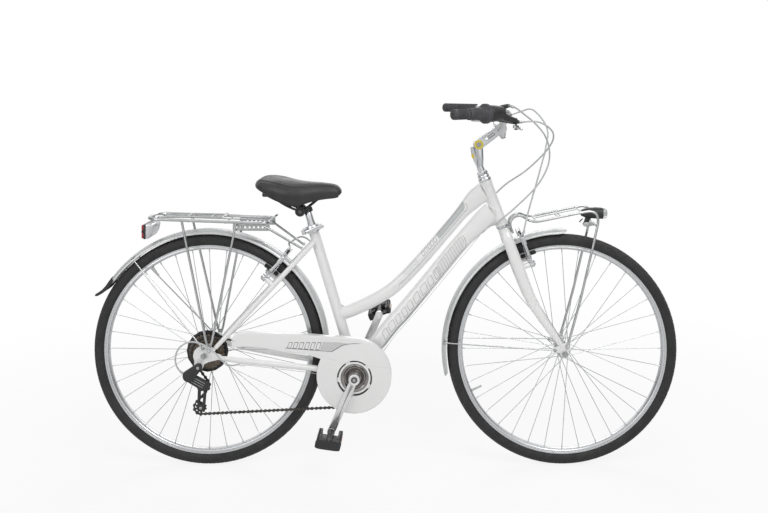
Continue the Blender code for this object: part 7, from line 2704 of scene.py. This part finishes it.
front_route = (
    (387.5, 166, 1046.4), (430, 160, 1063), (468, 130, 1070), (506, 90, 1015), (497, 60, 953),
    (481, 30, 911)
)
front_route += ((458, -5, 850), (432, -38, 780), (417, -60, 735))
points = [Vector(point) for point in front_route] + [
    front_noodle + Vector((2, -69, 6)), front_noodle - Y * 58
]
sleeve, caps = housing(points[:-2] + [points[-2] + Vector((2, 2, 5))])
elbow = pipe(
    curved(
        [
            points[-3] * 0.3 + points[-2] * 0.7, points[-2], points[-2] + Vector((-1, 7, -5)),
            points[-1], front_noodle - Y * 50
        ],
        2.5
    ),
    2.4, 14
)
wire = pipe([front_noodle - Y * 50, front_noodle + Y * 56], 0.8, 8)
piece(
    "front_brake_sleeve", [sleeve], "grey_sleeve", "steering", "front_brake_cable", slot="cable_housing"
)
piece("front_brake_wire", [elbow, wire, *caps], "zinc_plate", "steering", slot="cable_housing")
boot = bellows(front_noodle - Y * 30, front_noodle + Y * 14, 3.6, 7)
piece("front_brake_boot", [boot], "pad_rubber", "steering", slot="cable_housing", sharp=60)

shift_line = (
    (-433, -60, 320.1), (-439, -61, 320), (-450, -67, 319.5), (-463, -76, 324), (-480, -84, 340),
    (-502, -86, 364)
)
shift_line += (
    (-529, -86, 384), (-560, -85, 394), (-583, -85, 392), (-606, -84, 376), (-617, -82, 350),
    (-616, -80, 326)
)
shift_line += ((-607, -78.4, 308.6), (-596.6, -78.3, 300.5))
sleeve, caps = housing([Vector(point) for point in shift_line], lead=[Vector((-425, -60, 319.1))])
piece("rear_shift_sleeve", [sleeve], "grey_sleeve", "frame", "rear_shift_cable", slot="cable_housing")
piece("rear_shift_caps", caps, "zinc_plate", "frame", slot="cable_housing")


# %% The cables that cross the steering
def crossing(name, parts, paint, height, *solids):
    """A cable piece with its finish, baked where it is drawn and carried by no body; the height is not
    used.
    """
    obj = meshed(name, parts, 45)
    obj.data.materials.append(finishes[paint])
    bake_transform(obj)
    if solids:
        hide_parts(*solids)
        stood_for.update(solids)


rear_route = (
    (386.4, -166, 1046.4), (445, -155, 1045), (490, -118, 1013), (485, -78, 967), (430, -26, 898),
    (368, 20, 846)
)
rear_route += (
    (318, 25, 800), (262, 23, 772), (201, 20, 718), (139, 20, 648), (98, 20, 602), (56, 20, 558),
    (10, 20, 518)
)
rear_route += (
    (-47, 20, 485), (-102, 20.5, 468), (-142, 21.5, 478), (-166, 22, 520), (-182, 26, 575),
    (-202, 40, 625)
)
rear_route += ((-232, 52, 662), (-266, 68, 676))
points = [Vector(point) for point in rear_route] + [
    rear_noodle + Vector((-6, 74, 14)), rear_noodle + Vector((-2, 68, 3))
]
sleeve, caps = housing(points[:-1])
elbow = pipe(
    curved(
        [
            points[-3] * 0.35 + points[-2] * 0.65, points[-2], points[-1], rear_noodle + Y * 58,
            rear_noodle + Y * 50
        ],
        2.5
    ),
    2.4, 14
)
wire = pipe([rear_noodle + Y * 50, rear_noodle - Y * 56], 0.8, 8)
crossing("rear_brake_sleeve", [sleeve], "grey_sleeve", 700, "rear_brake_cable")
crossing("rear_brake_caps", [caps[0]], "zinc_plate", 700)
piece("rear_brake_wire", [elbow, wire, caps[1]], "zinc_plate", "frame", slot="cable_housing")
boot = bellows(rear_noodle + Y * 30, rear_noodle - Y * 14, 3.6, 7)
piece("rear_brake_boot", [boot], "pad_rubber", "frame", slot="cable_housing", sharp=60)

shift_route = (
    (352, -186, 1094.5), (375, -172, 1087), (403, -150, 1067), (439, -120, 1039), (473, -80, 1001),
    (491, -50, 955)
)
shift_route += ((487, -38, 905), (455, -32, 846), (390, -31, 781), (352, -30, 749), (336, -24, 733))
points = [Vector(point) for point in shift_route] + [
    stop_point(30) + Vector((1.2, -2, -1)), stop_point(16), stop_point(3)
]
sleeve, caps = housing(points)
crossing("shift_sleeve", [sleeve], "grey_sleeve", 713, "shift_cable")
crossing("shift_caps", [caps[0]], "zinc_plate", 713)
start = points[0]
crossing(
    "shift_boot", [bellows(start, start + (points[1] - start).normalized() * 24, 4.4, 6)], "pale_boot",
    713
)
under = (
    (254.8, -8, 656), (182, -8, 568), (109.8, -8, 481), (34, -8, 396), (-60, -12, 272),
    (-74, -12.5, 256.5), (-92, -14, 254.3)
)
under += (
    (-160, -31, 274), (-220, -38, 287), (-300, -46, 299.5), (-380, -55.5, 312.5), (-413, -59.8, 317.7),
    (-423, -60, 318.9)
)
wire = pipe(
    [stop_point(4), stop_point(-1), stop_point(-12), *[Vector(point) for point in under]], 0.8, 8
)
piece("shift_wire", [wire, caps[1]], "spoke_steel", "frame", slot="cable_housing")
print("cables done")

# %% [markdown]
# ## Lights
#
# The headlight is a black shell with a visor, a clear lens and a lug that clamps to
# the rack. The tail light has a red lens, a black bezel with a button and a grey shell.

# %% The headlight
LAMP_PIVOT = front(72, 0, 378)
sections = [
    (58, 3, 7, 8), (62, 1, 18, 17), (74, 0, 26, 24), (92, 0, 30.5, 29), (112, 0, 33, 31),
    (124, 0, 34, 32)
]
stations = [(front(x, 0, 411 + z), tall, wide) for x, z, tall, wide in sections]
parts = [beam(blended(stations, 4), 40)]
visor = []
for x, z, half in (
    (56, 420, 7), (66, 425, 9.4), (84, 428.6, 9.9), (104, 429.4, 9.9), (120, 428.4, 9.9),
    (127, 426.6, 9.2)
):
    top = [
        front(
            x, half * math.sin(math.radians(a)), z - 3.5 * (1 - math.cos(math.radians(a)))
        ) for a in (-90, -55, -25, 0, 25, 55, 90)
    ]
    visor.append(top + [point - Z * 2.6 for point in reversed(top)])
parts.append(skin(visor))
parts.append(plate([hull((0, 0), (10, 24), 6, 8, 12)], 7.6, LAMP_PIVOT, bevel=0.8))
toggle = [front(62, -9, 396), front(57, -10.5, 392), front(52, -11, 386)]
parts.append(pipe(toggle, 1.8, 10))
piece(
    "headlight_shell", parts, "black_moulding", "headlight", "headlight", slot="black_plastic", sharp=45
)
glass = [
    (0, 124), (14.8, 124), (15.9, 125), (15.9, 128.5), (14.8, 133), (12.4, 136.6), (8, 138), (0, 138.2)
]
piece(
    "headlight_lens", [lathe(glass, front(0, 0, 411), X, 48)], "clear_lens", "headlight",
    slot="black_plastic", sharp=50
)
screws = [pin(LAMP_PIVOT - Y * 10.8, LAMP_PIVOT + Y * 10.8, 2.5, 18)]
for side in (RIGHT, LEFT):
    screws.append(
        lathe([(0, 6.8), (5.2, 6.8), (5.6, 7.4), (5.2, 10.2), (0, 10.6)], LAMP_PIVOT, Y * side, 24)
    )
piece("headlight_bolt", screws, "bare_aluminium", "headlight", slot="black_plastic")

# %% The tail light
low, high = 338.0, 384.5
middle = rear(-175.5, 0, (low + high) / 2)
shell = [(-9, -20), (-9, 21), (-4, 22.6), (13, 22.6), (15.4, 14), (12, -4), (3, -19), (-4, -22.6)]
parts = [plate([softened(shell, 4)], 76, middle, bevel=3)]
parts.append(block(middle + Vector((15, 0, 17)), (14, 30, 5), 0, 1.2))
piece("tail_light_shell", parts, "bare_aluminium", "frame", "tail_light", slot="red_lens")
plate_outline = [(-14, -22), (-14, 21), (-8.4, 22.4), (-8.4, -22.6)]
piece(
    "tail_light_bezel", [plate([softened(plate_outline, 1.5)], 77, middle, bevel=1)], "black_moulding",
    "frame", slot="red_lens"
)
parts = []
for height in (-11.4, 11.4):
    lens = [(-20.8, height - 8.6), (-20.8, height + 8.6), (-14, height + 9.6), (-14, height - 9.6)]
    parts.append(plate([softened(lens, 2)], 72, middle, bevel=1.4))
piece("tail_light_lens", parts, "red_lens", "frame", slot="red_lens")
parts = [
    block(middle + Vector((-16.8, 0, 0)), (8, 30, 7), 0, 1.5),
    block(middle + Vector((-17.5, -36.2, 0)), (6, 4, 7), 0, 1.0)
]
piece("tail_light_button", parts, "black_moulding", "frame", slot="red_lens")
print("lights done")

# %% [markdown]
# ## Stickers
#
# The frame carries pale panels with thin dark outlines, and rows of slanted boxes. A
# sticker is a thin patch that follows the tube's wall, so its lines bend with the tube.
# A grey patch of the same kind along the down tube's underside is painted shade.

# %% Points on a tube's wall
def part_way(first, last, share):
    return first + (last - first) * share


def on_tube(stations, share, turn, lift=0.0):
    """A point on an oval tube, by its share of the way from the head and its turn, 180 at the right."""
    place = share * (len(stations) - 1)
    index = min(int(place), len(stations) - 2)
    (low, depth, width), (high, next_depth, next_width) = stations[index], stations[index + 1]
    t = place - index
    centre = low.lerp(high, t)
    deep = part_way(depth, next_depth, t)
    wide = part_way(width, next_width, t)
    along = (high - low).normalized()
    up = along.cross(Y)
    angle = math.radians(turn)
    return centre + Y * math.cos(angle) * (wide / 2 + lift) + up * math.sin(angle) * (deep / 2 + lift)


def patch(stations, shares, turns, round_head=0.0, round_foot=0.0, rows=60, columns=9):
    """A thin closed sheet on the tube, whose lower edge may curve in at its ends."""
    rings = []
    for row in range(rows + 1):
        t = row / rows
        share = part_way(*shares, t)
        narrow = 1.0
        if t < round_head:
            narrow = math.sqrt(1 - (1 - t / round_head) ** 2) * 0.97 + 0.03
        if 1 - t < round_foot:
            narrow = math.sqrt(1 - (1 - (1 - t) / round_foot) ** 2) * 0.97 + 0.03
        low = part_way(turns[1], turns[0], narrow)
        across = [part_way(low, turns[1], step / columns) for step in range(columns + 1)]
        top = [on_tube(stations, share, turn, 0.22) for turn in across]
        bottom = [on_tube(stations, share, turn, -0.4) for turn in reversed(across)]
        rings.append(top + bottom)
    return skin(rings)


def edge_line(stations, shares, turns, radius=0.5, head=0.0):
    """A thin rope on the tube at a constant turn, with a curl at its head end."""
    route = []
    if head:
        for step in range(10):
            bend = math.radians(90 * step / 10)
            turn = part_way(turns[1], turns[0], math.sin(bend))
            route.append(on_tube(stations, shares[0] - head * math.cos(bend), turn, 0.1))
    count = 50
    for step in range(count + 1):
        route.append(on_tube(stations, part_way(*shares, step / count), turns[0], 0.1))
    return pipe(route, radius, 6)


def slanted_boxes(stations, shares, turns, count, slant, radius=0.42):
    parts = []
    pitch = (shares[1] - shares[0]) / count
    for index in range(count):
        start = shares[0] + pitch * index
        end = start + pitch * 0.66
        corners = [
            (start, turns[0]), (end, turns[0]), (end + slant, turns[1]), (start + slant, turns[1])
        ]
        loop = []
        for corner, after in zip(corners, corners[1:] + corners[:1]):
            for step in range(6):
                share, turn = (part_way(low, high, step / 6) for low, high in zip(corner, after))
                loop.append(on_tube(stations, share, turn, 0.1))
        parts.append(closed_pipe(loop, radius, 6))
    return parts


# %% Stickers on the tubes
piece(
    "top_tube_band", [patch(top_stations, (0.11, 0.335), (186, 250), 0.16)], "grey_panel", "frame",
    slot="painted_frame"
)
piece(
    "top_tube_foot", [patch(top_stations, (0.5, 0.62), (192, 236), 0.1, 0.3)], "faint_panel", "frame",
    slot="painted_frame"
)
lines = [edge_line(top_stations, (0.13, 0.68), (172, 215), 0.5, 0.02)]
lines += slanted_boxes(top_stations, (0.35, 0.47), (192, 236), 5, -0.006)
piece("top_tube_lines", lines, "dark_border", "frame", slot="painted_frame")
panel = patch(down_stations, (0.185, 0.40), (140, 214), 0.3)
piece("down_tube_panel", [panel], "hatched_sticker", "frame", slot="painted_frame")
# Painted shade: a grey strip along the lower near side of the down tube stands for the shade that falls
# there.
underside_shade = patch(down_stations, (0.50, 0.845), (112, 134), 0.5, 0.1)
piece("down_tube_wedge", [underside_shade], "grey_panel", "frame", slot="painted_frame")
lines = [edge_line(down_stations, (0.22, 0.85), (136, 214), 0.55, 0.04)]
lines.append(edge_line(down_stations, (0.19, 0.36), (216, 216), 0.4))
lines += slanted_boxes(down_stations, (0.385, 0.83), (152, 206), 9, -0.018)
piece("down_tube_lines", lines, "dark_border", "frame", slot="painted_frame")

# %% Stickers on the guard
face = Vector((0, -60.05, 0))
panel = [
    (-194.9, 363.2), (-184.5, 386.4), (-140, 385.6), (-106, 381.6), (-127.4, 376.0), (-145.9, 365.4),
    (-156.5, 360.0)
]
piece("guard_panel", [plate([panel], 0.3, face)], "dotted_sticker", "frame", slot="painted_frame")
border = [
    (-297, 369.2), (-158, 359.0), (-146, 366.6), (-128, 377.6), (-110, 381.0), (-90, 382.8),
    (-66, 381.6), (-90, 381.4), (-110, 379.6), (-127, 375.8), (-145, 364.8), (-157.4, 357.2),
    (-297, 367.8)
]
parts = [plate([border], 0.3, face)]
for index in range(6):
    start = -292 + index * 17.0
    outer = [
        (start, 367.0 + 1.2 - index), (start + 11, 366.2 + 1.2 - index), (start + 18, 385.5),
        (start + 7, 386.2)
    ]
    middle_x = sum(x for x, z in outer) / 4
    middle_z = sum(z for x, z in outer) / 4
    inner = [(middle_x + (x - middle_x) * 0.78, middle_z + (z - middle_z) * 0.84) for x, z in outer]
    parts.append(plate([outer, inner], 0.3, face))
piece("guard_lines", parts, "dark_border", "frame", slot="painted_frame")
print("stickers done")

# %% [markdown]
# ## The solids that stay
#
# The two axles and the spoke protector already have the right shape. They come as
# loose triangles, so flat shading would show every facet. A small Geometry Nodes tree
# joins the corners that meet and shades across every edge that is nearly flat. Each
# solid then gets its finish in place of its plain one.

# %% A tree that smooths a solid
SOLID_SHARP = 47
MERGE_DISTANCE = 0.00001

polish, polish_inputs, start = new_tree("polish", {"Sharp Above": "Float"})
inputs = {"Geometry": start["Geometry"], "Distance": MERGE_DISTANCE}
merged = new_node(polish, "GeometryNodeMergeByDistance", inputs).outputs["Geometry"]
inputs = {"Geometry": merged}
surface = new_node(polish, "GeometryNodeSetShadeSmooth", inputs, domain="FACE").outputs["Geometry"]
angle = new_node(polish, "GeometryNodeInputMeshEdgeAngle").outputs["Unsigned Angle"]
compare = new_node(polish, "FunctionNodeCompare", data_type="FLOAT", operation="LESS_THAN")
fill(polish, compare, {"A": angle, "B": start["Sharp Above"]})
inputs = {"Geometry": surface, "Shade Smooth": compare.outputs["Result"]}
edges = new_node(polish, "GeometryNodeSetShadeSmooth", inputs, domain="EDGE").outputs["Geometry"]
new_node(polish, "NodeGroupOutput", {"Geometry": edges})
print("solids to smooth:", len(nodes) - len(stood_for))

# %% Finishes for the solids
kept = {"front_axle": "zinc_plate", "rear_axle": "zinc_plate", "spoke_protector": "black_moulding"}
for name, paint in kept.items():
    obj = nodes[name]
    obj.data.materials.clear()
    obj.data.materials.append(finishes[paint])
    modifier = obj.modifiers.new("polish", "NODES")
    modifier.node_group = polish
    modifier[polish_inputs["Sharp Above"].identifier] = math.radians(SOLID_SHARP)
print("solids kept:", len(kept), "solids stood for:", len(stood_for))

# %% [markdown]
# ## Finishing
#
# The dressed bike must be the same size as the solids. Both boxes are printed, so that
# they can be compared.

# %% Measure and finish
shown_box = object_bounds()
for label, box in (("solids", cad_box), ("shown", shown_box)):
    print(label, [[round(value / MM, 1) for value in corner] for corner in box])
